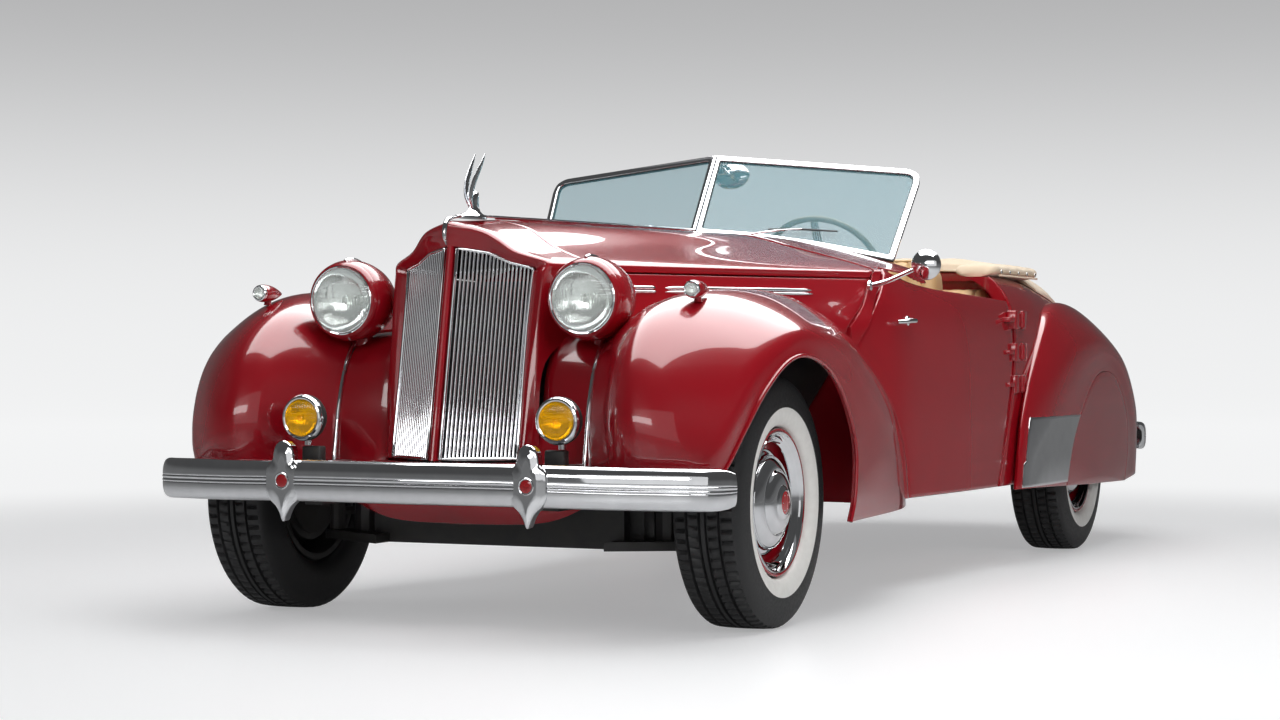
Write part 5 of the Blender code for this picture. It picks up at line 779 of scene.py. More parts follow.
# Radiator shell, grille and apron.
corners = places(GRILLE)
grille_normal = (corners[1] - corners[0]).cross(corners[-1] - corners[0]).normalized()
if grille_normal.y > 0:
    grille_normal.negate()


def flattened(points, origin, normal):
    return [p - normal * (p - origin).dot(normal) for p in points]


def inset_outline(points, normal, inset):
    """The outline moved inwards in its own plane."""
    centre = sum(points, Vector()) / len(points)
    moved = []
    for i, point in enumerate(points):
        before = (point - points[i - 1]).normalized().cross(normal)
        after = (points[(i + 1) % len(points)] - point).normalized().cross(normal)
        if before.dot(centre - point) < 0:
            before.negate()
        if after.dot(centre - point) < 0:
            after.negate()
        bisector = (before + after).normalized()
        moved.append(point + bisector * (inset / max(0.35, bisector.dot(before))))
    return moved


grille_edge = flattened(corners, corners[0], grille_normal)
mouth = inset_outline(grille_edge, grille_normal, -0.0003)[1:]
far, near = mouth[-2:]
mouth[-1] = far.lerp(near, far.x / (far.x - near.x))
rim = places(SHELL_RIM)
seam = places(SHELL_FOOT)
for table, front in reversed(list(zip(HOOD_RAILS, HOOD_FRONT))):
    edge = FRONT_AXLE_Y + front - PANEL_GAP / 2
    seam.append(stretch(places(table), edge - PANEL_GAP, edge, 2)[1])
seam[-1].x = 0
lines = [threaded(line, 8) for line in (mouth, rim, seam)]
half = []
for inner, outer, back in zip(*lines):
    band = (inner + outer) / 2 - BACK * 0.004
    row = [inner + BACK * 0.018, inner + BACK * 0.003]
    row += threaded(
        [
            inner + BACK * 0.0005, band, outer + BACK * 0.002, outer.lerp(back, 0.33),
            outer.lerp(back, 0.67), back,
        ],
        5,
    )
    half.append(row)
for row in half[-1:]:
    for p in row:
        p.x = 0
half += [list(reversed(flipped(row))) for row in reversed(half[:-1])]
# The shell's back face takes the near-black painted shade.
surround = panel("surround", half, 0.008, at(0, 0.32, 0.6), ENAMEL, RECESS_SHADE, 0.0)
foot, top = corners[0], corners[-1]
divider = []
for k in range(13):
    turn = math.pi * k / 12
    divider.append(Vector((0.011 * math.cos(turn), foot.y + 0.004 - 0.014 * math.sin(turn), foot.z)))
divider += [Vector((-0.011, foot.y + 0.03, foot.z)), Vector((0.011, foot.y + 0.03, foot.z))]
lean = (top - foot) * 1.03
lean.x = 0
spine = loft("spine", [[p + lean * (k / 12) for p in divider] for k in range(13)], ENAMEL)
feet = []
for side in (-1, 1):
    low, high = at(side * 0.205, -0.325, 0.4143), at(side * 0.243, -0.275, 0.5)
    ring = [(low.x, low.y), (high.x, low.y), (high.x, high.y), (low.x, high.y)]
    feet.append(loft("foot", [[Vector((x, y, z)) for x, y in ring] for z in (low.z, high.z)], ENAMEL))
dressed(united("surround", [surround, spine, *feet]), "chassis", "red_enamel", "radiator_shell")


def node_tree(name, sizes):
    """An empty geometry tree with named size inputs."""
    tree = bpy.data.node_groups.new(name, "GeometryNodeTree")
    tree.interface.new_socket(name="Geometry", in_out="INPUT", socket_type="NodeSocketGeometry")
    tree.interface.new_socket(name="Geometry", in_out="OUTPUT", socket_type="NodeSocketGeometry")
    for label, kind in sizes:
        tree.interface.new_socket(name=label, in_out="INPUT", socket_type=kind)
    return tree, tree.nodes.new("NodeGroupInput"), tree.nodes.new("NodeGroupOutput")


def strip_tree():
    """An oval bar along every path of the mesh."""
    tree, source, result = node_tree(
        "bars",
        [
            ("Width", "NodeSocketFloat"), ("Depth", "NodeSocketFloat"), ("Sides", "NodeSocketInt"),
            ("Finish", "NodeSocketMaterial"),
        ],
    )
    path = add(tree, "GeometryNodeMeshToCurve")
    tree.links.new(source.outputs["Geometry"], path.inputs["Mesh"])
    ring = add(tree, "GeometryNodeCurvePrimitiveCircle", Resolution=source.outputs["Sides"], Radius=1.0)
    scale = add(tree, "ShaderNodeCombineXYZ", X=source.outputs["Width"], Y=source.outputs["Depth"], Z=1.0)
    shaped = add(
        tree, "GeometryNodeTransform", Geometry=ring.outputs["Curve"], Scale=scale.outputs["Vector"]
    )
    bar = add(tree, "GeometryNodeCurveToMesh")
    tree.links.new(path.outputs["Curve"], bar.inputs["Curve"])
    tree.links.new(shaped.outputs["Geometry"], bar.inputs["Profile Curve"])
    bar.inputs["Fill Caps"].default_value = True
    smooth = add(tree, "GeometryNodeSetShadeSmooth", Geometry=bar.outputs["Mesh"])
    real = add(tree, "GeometryNodeRealizeInstances", Geometry=smooth.outputs["Geometry"])
    painted = add(
        tree, "GeometryNodeSetMaterial", Geometry=real.outputs["Geometry"],
        Material=source.outputs["Finish"],
    )
    tree.links.new(painted.outputs["Geometry"], result.inputs["Geometry"])
    return tree


def stud_tree():
    """A flat round stud on every point, facing the way the point's normal faces."""
    tree, source, result = node_tree(
        "studs",
        [("Radius", "NodeSocketFloat"), ("Rise", "NodeSocketFloat"), ("Finish", "NodeSocketMaterial")],
    )
    ball = add(tree, "GeometryNodeMeshUVSphere", Segments=12, Rings=8, Radius=1.0)
    scale = add(
        tree, "ShaderNodeCombineXYZ", X=source.outputs["Radius"], Y=source.outputs["Radius"],
        Z=source.outputs["Rise"],
    )
    shaped = add(
        tree, "GeometryNodeTransform", Geometry=ball.outputs["Mesh"], Scale=scale.outputs["Vector"]
    )
    way = add(tree, "GeometryNodeInputNamedAttribute", {"data_type": "FLOAT_VECTOR"}, Name="out")
    turn = add(tree, "FunctionNodeAlignRotationToVector", Vector=way.outputs[0])
    put = add(tree, "GeometryNodeInstanceOnPoints", Rotation=turn.outputs["Rotation"])
    tree.links.new(source.outputs["Geometry"], put.inputs["Points"])
    tree.links.new(shaped.outputs["Geometry"], put.inputs["Instance"])
    real = add(tree, "GeometryNodeRealizeInstances", Geometry=put.outputs["Instances"])
    smooth = add(tree, "GeometryNodeSetShadeSmooth", Geometry=real.outputs["Geometry"])
    painted = add(
        tree, "GeometryNodeSetMaterial", Geometry=smooth.outputs["Geometry"],
        Material=source.outputs["Finish"],
    )
    tree.links.new(painted.outputs["Geometry"], result.inputs["Geometry"])
    return tree


BARS = strip_tree()
STUDS = stud_tree()


def grown(found, tree, sizes):
    """The mesh that a geometry tree makes from a piece."""
    growth = found.modifiers.new("Growth", "NODES")
    growth.node_group = tree
    for label, value in sizes.items():
        growth[tree.interface.items_tree[label].identifier] = value
    return applied(found)


def bars(name, paths, width, depth, finish, sides=10):
    """Oval bars along paths, each a list of points."""
    points = [tuple(p) for path in paths for p in path]
    edges = []
    start = 0
    for path in paths:
        edges += [(start + k, start + k + 1) for k in range(len(path) - 1)]
        start += len(path)
    mesh = bpy.data.meshes.new(name)
    mesh.from_pydata(points, edges, [])
    return grown(
        linked(name, mesh), BARS, {"Width": width, "Depth": depth, "Sides": sides, "Finish": finish}
    )


def studs(name, spots, radius, rise, finish):
    """Domed studs at (place, way out) spots."""
    mesh = bpy.data.meshes.new(name)
    mesh.from_pydata([tuple(p) for p, _ in spots], [], [])
    way = mesh.attributes.new("out", "FLOAT_VECTOR", "POINT")
    way.data.foreach_set("vector", [c for _, n in spots for c in n])
    return grown(linked(name, mesh), STUDS, {"Radius": radius, "Rise": rise, "Finish": finish})


inner_edge = inset_outline(grille_edge, grille_normal, 0.007)
feet = spaced(inner_edge[:2], 20)
heads = spaced(inner_edge[:5:-1], 20)
paths = []
for low, high in zip(feet[1:-1], heads[1:-1]):
    way = (high - low).normalized() * 0.004
    paths.append([low - way + BACK * 0.007, high + way + BACK * 0.007])
slats = bars("slats", paths, 0.0036, 0.0052, CHROME, 12)
loop = [
    p.lerp(q, 0.5) + BACK * 0.004
    for p, q in zip(grille_edge, inset_outline(grille_edge, grille_normal, 0.009))
]
ring = []
for i, p in enumerate(loop):
    q = loop[(i + 1) % len(loop)]
    ring += [p.lerp(q, k / 6) for k in range(6)]
frame_ring = []
for i, p in enumerate(ring):
    run = (ring[(i + 1) % len(ring)] - ring[i - 1]).normalized()
    frame_ring.append(oval(p, 0.0052, 0.007, 10, run.cross(BACK).normalized()))
edging = hoop("edging", frame_ring, CHROME, BLUNT)
both_sides(united("grille", [slats, edging]), "grille_bars", "chrome", "grille")

rows = [curve(places(row), 22) for row in SPLASH]
splash = [flipped(row[1:]) + row for row in rows]
splash = [list(column) for column in zip(*[curve(list(column), 20) for column in zip(*splash)])]
apron = panel("splash", splash, 0.01, at(0, 0.64, 0.3), ENAMEL, BLACK, 0.002)
inner, outer = curve(places(CATWALK_INNER), 40), curve(places(CATWALK_OUTER), 40)
grid = []
for a, b in zip(inner, outer):
    tucked = [a + Vector((-0.024, 0.016, 0)), a + Vector((-0.012, 0.006, 0))]
    grid.append(tucked + [a.lerp(b, k / 8) + UP * (0.004 * math.sin(math.pi * k / 8)) for k in range(9)])
walk = panel("walk", grid, 0.01, at(0.3, 0.3, 0.3), ENAMEL, BLACK, 0.0)
dressed(united("apron", [apron, mirrored(walk, "other"), walk]), "chassis", "red_enamel", "front_apron")

# Cowl skin: rings up the side and over the hood's rails, up to the hood, the door and the windscreen.
cowl_rails = [threaded(places(rail), 24) for rail in HOOD_RAILS]


def on_rail(fine, y):
    k = 0
    while k < len(fine) - 2 and fine[k + 1].y < y:
        k += 1
    return fine[k].lerp(fine[k + 1], (y - fine[k].y) / (fine[k + 1].y - fine[k].y))


def cowl_ring(run):
    y = FRONT_AXLE_Y + run
    points = [at(side_at(run, z), run, z) for z in (0.3, 0.45, 0.6, 0.75)]
    points += [on_rail(rail, y) for rail in reversed(cowl_rails)]
    points[-1].x = 0
    return threaded(points, 8)


def skin(name, grid):
    """A thin painted skin that lies just over a solid."""
    return panel(name, grid, 0.005, INSIDE, ENAMEL, None, 0.001, PROUD)


cowl_rings = {}


def cowl_point(run, index):
    key = round(run, 3)
    if key not in cowl_rings:
        cowl_rings[key] = cowl_ring(key)
    ring = cowl_rings[key]
    k = min(len(ring) - 2, int(index))
    spot = ring[k].lerp(ring[k + 1], index - k)
    spot.y = FRONT_AXLE_Y + run
    return spot


def straight(table, value):
    """A straight reading of a table of (value, result) pairs."""
    if value <= table[0][0]:
        return table[0][1]
    for (a, first), (b, second) in zip(table, table[1:]):
        if value <= b:
            return first + (second - first) * (value - a) / (b - a)
    return table[-1][1]


door_front = [(z, run) for run, z in threaded([Vector((run, z)) for run, z in DOOR_FRONT], 10)]
door_rear = [(z, run) for run, z in threaded([Vector((run, z)) for run, z in DOOR_REAR], 10)]
door_top = [(run, z) for run, z in threaded([Vector((run, z)) for run, z in DOOR_TOP], 10)]
seam_table = [(0, 0.976), (32, 0.976), (40, 1.076), (48, 1.176), (56, 1.216), (64, 1.226), (80, 1.226)]
SHOULDER = 56
RIDGE = 80
grid = []
for k in range(SHOULDER + 1):
    z = cowl_point(1.2, k).z
    start = straight(seam_table, k)
    end = straight(door_front, z) - DOOR_GAP + SKIN_REACH
    grid.append([cowl_point(run, k) for run in steps(start, end, 17)])
side_skin = skin("cowl_side", grid)
grid = []
for j in range(30):
    row = []
    for k in range(49):
        share = k / 48
        index = SHOULDER + share * (RIDGE - SHOULDER)
        start = straight(seam_table, index)
        end = 1.373 + 0.2015 * cowl_point(1.45, index).x
        run = start + (end - start) * j / 29
        low = SHOULDER
        if run > 1.247:
            want = straight(door_top, run) + DOOR_GAP
            while low > 40 and cowl_point(run, low).z > want:
                low -= 0.5
        row.append(cowl_point(run, low + share * (RIDGE - low)))
    grid.append(row)
grid = [row + flipped(row[:-1]) for row in grid]
deck_skin = skin("cowl_deck", grid)
dressed(united("cowl_skin", [side_skin, mirrored(side_skin, "other"), deck_skin]), "chassis", "red_enamel")

# Doors.
grid = []
for i in range(57):
    row = []
    for share in steps(0, 1, 41):
        high = straight(door_top, 1.255 + (2.325 - 1.255) * share)
        z = SILL + (high - SILL) * i / 56
        first, last = straight(door_front, z), straight(door_rear, z)
        run = first + (last - first) * share
        row.append(at(side_at(run, z), run, z))
    grid.append(row)
door_skin = panel("door", grid, 0.055, INSIDE, ENAMEL, LEATHER, 0.004)


BARREL_HALF = 0.0085
BARREL_RADII = [0.0088, 0.0098, 0.0098, 0.0088]


def hinge_spans(middle, moving):
    """The stretches of a hinge's three barrels that belong to one leaf: its middle, or its two ends."""
    if moving:
        return [(middle - BARREL_HALF, middle + BARREL_HALF)]
    return [
        (middle + BARREL_HALF, middle + BARREL_HALF * 3), (middle - BARREL_HALF * 3, middle - BARREL_HALF)
    ]


def barrel_ends(low, high):
    return low + 0.0002, low + 0.001, high - 0.001, high - 0.0002


hinge_y = 0.4749
hinge_x = 0.8722
near = hinge_x - BARREL_RADII[1]


def upright(ring, low, high):
    """A leaf of the door's hinge between two heights."""
    return loft("leaf", [[Vector((x, hinge_y + y, z)) for x, y in ring] for z in (low, high)], ENAMEL)


door_parts = [door_skin]
fixed_parts = []
for level in (0.66, 0.776, 0.892):
    for moving in (True, False):
        for low, high in hinge_spans(level, moving):
            line = [Vector((hinge_x, hinge_y, z)) for z in barrel_ends(low, high)]
            barrel = rod("barrel", line, BARREL_RADII, 20, ENAMEL)
            reach = -0.135 if moving else 0.045
            ring = [(near - 0.029, 0), (near + 0.005, 0), (near + 0.004, reach), (near - 0.029, reach)]
            leaf = upright(ring, low + 0.0008, high - 0.0008)
            (door_parts if moving else fixed_parts).extend([barrel, rounded(leaf, 0.0012)])
    for way, kept in ((-1, door_parts), (1, fixed_parts)):
        ring = [(near - 0.026, way * 0.0135), (near + 0.0095, way * 0.0135)]
        ring += [(near + 0.008, way * 0.072), (near - 0.026, way * 0.076)]
        kept.append(rounded(upright(ring, level - 0.033, level + 0.033), 0.004, 3))

HANDLE_Z = 0.88
skin_x = side_at(1.305, HANDLE_Z)
grip = [at(skin_x - 0.01, 1.305, HANDLE_Z), at(skin_x + 0.02, 1.305, HANDLE_Z)]
grip.append(at(side_at(1.3, HANDLE_Z) + 0.029, 1.298, HANDLE_Z))
for share in steps(0, 1, 9):
    run = 1.29 - 0.09 * share
    grip.append(at(side_at(run, HANDLE_Z) + 0.03 - 0.01 * share**3, run, HANDLE_Z - 0.004 * share))
handle = rod("handle", curve(grip, 40), steps(0.009, 0.006, 40), 14, CHROME)
rose = [(-4, 16), (2, 16), (5, 12), (6, 0)]
door_parts += [handle, *lathe(at(skin_x, 1.305, HANDLE_Z), ACROSS, ("rose", rose, 1, 24, CHROME))]
both_sides(united("door", door_parts), "door_panel", "red_enamel", "door", "door_{}")
both_sides(united("door_hinge", fixed_parts), "door_hinge", "red_enamel")

# Rear body skin.
grid = []
for z in steps(SILL, 1.05, 41):
    start = (straight(door_rear, z) if z < 0.962 else 2.325) + DOOR_GAP - SKIN_REACH
    grid.append([at(side_at(run, z), run, z) for run in steps(start, 2.97, 25)])
quarter = skin("quarter", grid)
haunch = skin("haunch", [half_ring(run, LID_EDGE - SKIN_REACH, 49) for run in steps(2.97, TAIL_END, 61)])
xs = steps(-LID_EDGE, LID_EDGE, 41)
deck = skin("deck", [[skin_over(run, x) for x in xs] for run in steps(2.97, 3.5535, 21)])
grid = [[skin_over(run, x) for x in xs] for run in steps(4.2765, TAIL_END, 11)]
for j in range(1, 9):
    grid.append(
        [Vector((p.x * (1 - 0.02 * j), p.y + 0.0006, p.z + (SILL - p.z) * j / 8)) for p in grid[10]]
    )
tail = skin("tail", grid)
parts = [quarter, mirrored(quarter, "other"), haunch, mirrored(haunch, "other_haunch"), deck, tail]
dressed(united("rear_skin", parts), "chassis", "red_enamel")

# Trunk lid.
xs = steps(-0.47, 0.47, 49)
runs = steps(3.56, 4.27, 51)
lid = panel(
    "lid", [[skin_over(run, x) for x in xs] for run in runs], 0.022, at(0, 3.5, 0.3), ENAMEL, BLACK, 0.004
)
lid_parts = [lid]
fixed_parts = []
line = Vector((0, 1.6901, 1.0287))
for centre in (-0.3, 0.3):
    for moving in (True, False):
        for low, high in hinge_spans(centre, moving):
            pin = [line + ACROSS * x for x in barrel_ends(low, high)]
            barrel = rod("barrel", pin, BARREL_RADII, 20, ENAMEL)
            way = 1 if moving else -1
            ring = [(0, -0.0095), (0, -0.0045), (0.044 * way, -0.006), (0.045 * way, -0.016)]
            ring.append((0.018 * way, -0.02))
            ends = low + 0.0008, high - 0.0008
            leaf = loft("leaf", [[line + Vector((x, y, z)) for y, z in ring] for x in ends], ENAMEL)
            (lid_parts if moving else fixed_parts).extend([barrel, leaf])
lock = skin_over(4.17, 0)
shape = [(-12, 20), (4, 20), (8, 16), (9, 10), (12, 10), (14, 0)]
lid_parts += lathe(lock, Vector((0, 0.62, 0.78)), ("lock", shape, 1, 28, CHROME))
dressed(united("lid_panel", lid_parts), "trunk_lid", "red_enamel", "trunk_lid")
dressed(united("lid_hinge", fixed_parts), "chassis", "red_enamel")

# Wheels and tyres.
TYRE_SECTION = [
    (0.66, 0.0), (0.68, 0.1), (0.83, 0.13), (0.92, 0.19), (0.985, 0.32), (1.0, 0.44), (0.985, 0.6),
    (0.955, 0.74), (0.915, 0.85), (0.85, 0.925), (0.8, 0.955),
]
TREAD = [
    (0.76, 0.975, 1), (0.7, 0.985, 1), (0.52, 0.993, 1), (0.5, 0.994, 0), (0.455, 0.942, 0),
    (0.43, 0.942, 0), (0.41, 0.996, 0), (0.27, 0.998, 2), (0.155, 0.999, 2), (0.135, 0.999, 0),
    (0.1, 0.945, 0), (0.07, 0.945, 0), (0.05, 1.0, 0),
]
BLOCKS = 72
TYRE_HALF = 0.105
BEAD_RADIUS = 0.1973
TYRE_HEIGHT = 0.1597
CUT_DEPTH = 0.0085
WHITE_BAND = (0.214, 0.2785)
AXLE_HEIGHT = 0.357


def tyre(name, centre, side):
    """A tyre turned from its section: five ribs with cross cuts and a whitewall on its outer side."""
    table = [(across, height, 0) for across, height in TYRE_SECTION] + TREAD
    section = [
        (across * TYRE_HALF, BEAD_RADIUS + height * TYRE_HEIGHT, kind) for across, height, kind in table
    ]
    section += [(-across, radius, kind) for across, radius, kind in reversed(section)]
    ring_count = BLOCKS * 4
    points = []
    for across, radius, kind in section:
        for k in range(ring_count):
            deep = radius
            step = k % 4
            if kind == 1 and step == 0 or kind == 2 and step == 2:
                deep -= CUT_DEPTH
            turn = math.tau * (k + (0.8 if kind == 2 else 0.0)) / ring_count
            points.append(centre + Vector((side * across, deep * math.cos(turn), deep * math.sin(turn))))
    faces = grid_faces(len(section), ring_count, around=True)
    marks = []
    for i in range(len(section) - 1):
        across = (section[i][0] + section[i + 1][0]) / 2
        radius = (section[i][1] + section[i + 1][1]) / 2
        white = across > 0.07 and WHITE_BAND[0] < radius < WHITE_BAND[1]
        marks += [int(white)] * ring_count
    found = piece(name, points, faces, [RUBBER, WHITE], math.radians(40))
    found.data.polygons.foreach_set("material_index", marks)
    return found


def wheel(name, centre, side):
    """Drum, dished disc, rim with a red ring and a trim ring, and a large stepped cap with a red centre."""
    axis = ACROSS * side
    barrel = mm([
        (-60, 0), (-60, 148), (-56, 150), (20, 150), (22, 187), (-80, 189), (-85, 191), (-85, 208.5),
        (-76.5, 209), (-75, 197.5), (75, 197.5), (76.5, 209), (83, 209), (85, 207.5), (85, 203),
        (80, 199), (70, 195), (52, 188), (40, 178), (34, 165), (32, 150), (32, 0),
    ])
    kinds = [1] * 10 + [0] * 11
    parts = [rounded(turned("barrel", barrel, centre, axis, 96, [ENAMEL, BLACK], kinds=kinds), 0.001)]
    trim = [
        (83.5, 200.5), (86, 198.5), (85.5, 195), (80, 190), (74.5, 187), (73, 184), (69, 180), (61, 174),
        (59, 170), (56, 169), (57.5, 174), (68, 184), (77, 194),
    ]
    cap = [
        (31, 151), (37, 152.5), (42, 151), (45, 147), (46, 141), (46.5, 136), (50, 133.5), (53, 133),
        (54.5, 131.5), (56, 133), (58.5, 132), (60, 130), (61.5, 131.5), (64, 130), (68, 126), (72, 120),
        (76, 112), (79, 103), (80.5, 96), (80, 93), (83, 90), (88, 87), (93, 80), (96.5, 70), (98.5, 59),
        (99, 50), (102, 47), (104.5, 42), (105, 38), (106.2, 36.5), (106.8, 34), (106, 32.5),
    ]
    disc = [(105.5, 32.8), (106.6, 31), (107.4, 26), (108, 18), (108.4, 9), (108.6, 0)]
    parts += lathe(
        centre, axis, ("trim", trim, 0, 96, CHROME), ("cap", cap, 1, 96, CHROME),
        ("disc", disc, 1, 48, RED_DISC),
    )
    middle = centre + axis * 0.1076
    spots = [(middle + frame_point(axis, 0.024, math.tau * k / 6), axis) for k in range(6)]
    parts.append(studs("dimples", spots, 0.0022, 0.001, CHROME))
    return united(name, parts)


def frame_point(axis, radius, turn):
    side, up = frame_of(axis)
    return side * (radius * math.cos(turn)) + up * (radius * math.sin(turn))


for label, side in (("left", 1), ("right", -1)):
    for end, track, y in (("front", 1.5, FRONT_AXLE_Y), ("rear", 1.52, REAR_AXLE_Y)):
        centre = Vector((side * track / 2, y, AXLE_HEIGHT))
        body = f"wheel_{end}_{label}"
        dressed(tyre(f"{end}_tyre_{label}", centre, side), body, "tyre_rubber", f"tyre_{end}_{label}")
        dressed(wheel(f"{end}_wheel_{label}", centre, side), body, "chrome", body)

# Bumpers.
def closed_curve(points, steps):
    fine = []
    count = len(points)
    for i in range(count):
        a, b, c, d = (points[(i + k) % count] for k in (-1, 0, 1, 2))
        fine += [catmull(a, b, c, d, k / steps) for k in range(steps)]
    return fine


BAR_FACE = [
    (-0.1, -0.985), (0.25, -0.97), (0.56, -0.88), (0.76, -0.7), (0.86, -0.5), (0.895, -0.32), (0.9, -0.2),
    (0.86, -0.165), (0.93, -0.125), (0.93, -0.065), (0.84, 0.0), (0.93, 0.065), (0.93, 0.125),
    (0.86, 0.165), (0.9, 0.2), (0.895, 0.32), (0.86, 0.5), (0.76, 0.7), (0.56, 0.88), (0.25, 0.97),
    (-0.1, 0.985), (-0.28, 0.95), (-0.2, 0.8), (0.3, 0.45), (0.4, 0.0), (0.3, -0.45), (-0.2, -0.8),
    (-0.28, -0.95),
]
GUARD_EDGE = mm([
    (-111, 3.5), (-90, 12), (-70, 25), (-53, 44), (-32, 55.5), (0, 57), (32, 55.5), (48, 46), (60, 34.5),
    (80, 31), (98, 24), (108, 12.5), (111, 3.5),
])
GUARD_RELIEF = [
    (-0.034, 0.96), (-0.012, 0.99), (-0.0075, 1.0), (-0.0045, 0.985), (-0.0025, 0.93), (0.0, 0.8),
    (0.0005, 0.7), (0.0035, 0.58), (0.0038, 0.3), (0.0038, 0.12),
]
BAR_DEPTH = 0.026
BAR_RISE = 0.0585
GUARD_PLACE = 0.378
END_SHRINK = (0.8, 0.93, 0.985)


def bumper(name, table, facing, rail, rail_y, node):
    half = curve(places(table), 41)
    path = flipped(half[1:]) + half
    section = closed_curve([Vector(p) for p in BAR_FACE], 3)
    rings = []
    for i, point in enumerate(path):
        run = path[min(i + 1, len(path) - 1)] - path[max(i - 1, 0)]
        outward = Vector((run.y, -run.x, 0)).normalized() * -facing
        ends = min(i, len(path) - 1 - i)
        shrink = 1 if ends > 2 else END_SHRINK[ends]
        deep, rise = outward * (BAR_DEPTH * shrink), UP * (BAR_RISE * shrink)
        rings.append([point + deep * p.x + rise * p.y for p in section])
    parts = [loft("bar", rings, CHROME, angle=math.radians(50))]
    for side in (-1, 1):
        x = side * GUARD_PLACE
        spot = next(a.lerp(b, (x - a.x) / (b.x - a.x)) for a, b in zip(path, path[1:]) if a.x <= x <= b.x)
        front = spot + BACK * (facing * BAR_DEPTH)
        outline = [Vector((wide, rise)) for rise, wide in GUARD_EDGE]
        outline = closed_curve(outline + [Vector((-p.x, p.y)) for p in reversed(outline)], 4)
        rings = []
        for depth, share in GUARD_RELIEF:
            tall = 1 - (1 - share) * 0.55
            middle = Vector((x, front.y + facing * depth, front.z))
            rings.append([middle + ACROSS * (p.x * share) + UP * (p.y * tall) for p in outline])
        parts.append(loft("guard", rings, CHROME, angle=BLUNT))
        hub = Vector((x, front.y + facing * 0.0002, front.z))
        rose = [(-4, 23.5), (3.5, 23.5), (5.5, 21.5), (5, 19.5), (3, 19), (-4, 19)]
        disc = [(-3, 19.2), (3.2, 19), (4.6, 15), (5.4, 8), (5.6, 0)]
        parts += lathe(hub, BACK * facing, ("rose", rose, 0, 40, CHROME), ("disc", disc, 1, 40, RED_DISC))
        end = next(
            (a.lerp(b, (rail - a.x) / (b.x - a.x)) for a, b in zip(path, path[1:]) if a.x <= rail <= b.x),
            path[-1],
        )
        near, far = sorted((rail_y + facing * 0.0003, end.y))
        left, right = side * rail - 0.025, side * rail + 0.025
        ring = [(left, 0.385), (right, 0.385), (right, 0.445), (left, 0.445)]
        iron = loft("iron", [[Vector((px, y, pz)) for px, pz in ring] for y in (near, far)], BLACK)
        parts.append(rounded(iron, 0.004))
        spots = [(Vector((side * (rail + 0.026), (near + far) / 2, z)), ACROSS * side) for z in (0.4, 0.43)]
        parts.append(studs("bolt", spots, 0.008, 0.005, IRON))
    dressed(united(name, parts), "chassis", "chrome", node)


bumper("bumper_front", FRONT_BAR, -1, 0.37, FRONT_AXLE_Y - 0.52, "front_bumper")
bumper("bumper_rear", REAR_BAR, 1, 0.5, FRONT_AXLE_Y + 4.16, "rear_bumper")

# Lamps.
def lens_face(name, centre, axis, radius, bulge, ribs, finish, thick=0.004, deep=0.0016):
    """A fluted lens: a shallow dome with upright ribs moulded into its face."""
    side = ACROSS
    up = axis.cross(side).normalized()
    if up.z < 0:
        up.negate()
    rings, spokes = 44, 168
    points = [centre + axis * bulge]
    for i in range(1, rings + 1):
        reach = i / rings
        for k in range(spokes):
            turn = math.tau * k / spokes
            x, z = reach * math.cos(turn), reach * math.sin(turn)
            high = bulge * (1 - reach * reach)
            flute = deep * abs(math.sin(math.pi * ribs * x)) * (1 - reach**8)
            if abs(z - 0.25) < 0.22:
                flute = deep * (
                    0.55 * abs(math.sin(math.pi * 6 * z)) + 0.2 * abs(math.sin(math.pi * 2 * ribs * x))
                ) * (1 - reach**8)
            points.append(centre + side * (radius * x) + up * (radius * z) + axis * (high + flute))
    faces = [(0, 1 + k, 1 + (k + 1) % spokes) for k in range(spokes)]
    for i in range(rings - 1):
        for k in range(spokes):
            a = 1 + i * spokes + k
            b = 1 + i * spokes + (k + 1) % spokes
            faces.append((a, a + spokes, b + spokes, b))
    total = len(points)
    points.append(centre - axis * thick)
    points += [points[1 + (rings - 1) * spokes + k] - axis * thick for k in range(spokes)]
    for k in range(spokes):
        j = (k + 1) % spokes
        a, b = 1 + (rings - 1) * spokes + k, 1 + (rings - 1) * spokes + j
        faces.append((a, total + 1 + k, total + 1 + j, b))
        faces.append((total, total + 1 + j, total + 1 + k))
    return piece(name, points, faces, finish, math.radians(80))


FRONT = -BACK
head = at(0.385, -0.325, 0.929)
pod = [
    (4, 100), (-2, 109), (4, 113.5), (20, 117.2), (40, 117.8), (60, 116.8), (85, 112.5), (115, 104),
    (150, 89), (190, 68), (225, 46), (250, 27), (266, 12), (272, 0),
]
bezel = [
    (-18, 94.5), (-20, 98.5), (-18, 103.5), (-12, 108.5), (-3, 111.8), (4, 112.2), (6, 110.5), (4, 108),
    (-6, 101), (-12, 96),
]
trim = [(-19.5, 95), (-21.2, 97.5), (-20, 100), (-17, 99), (-15, 95.5)]
bowl = [(50, 0), (48, 20), (40, 45), (26, 68), (6, 88), (-8, 97)]
bulb = [(-2, 0), (0, 6), (8, 11), (20, 12), (45, 10)]
parts = lathe(
    head, BACK, ("pod", pod, 4, 72, ENAMEL), ("bezel", bezel, 0, 72, ENAMEL), ("rim", trim, 0, 72, CHROME),
    ("bowl", bowl, 3, 48, CHROME), ("bulb", bulb, 3, 24, LENS),
)
parts.append(lens_face("lens", head - BACK * 0.0125, FRONT, 0.0975, 0.013, 12, LENS, 0.004, 0.0024))
foot_line = [
    head + BACK * back - UP * drop
    for back, drop in ((0.1155, 0), (0.1155, 0.08), (0.118, 0.125), (0.12, 0.158))
]
radii = [0.027 + 0.01 * max(0.0, k / 15 - 0.5) ** 2 * 4 for k in range(16)]
parts.append(rod("stem", curve(foot_line, 16), radii, 24, ENAMEL))
crest = [(-0.01, 0.108), (0.02, 0.1172), (0.06, 0.1168), (0.085, 0.1125), (0.115, 0.104), (0.15, 0.089)]
line = []
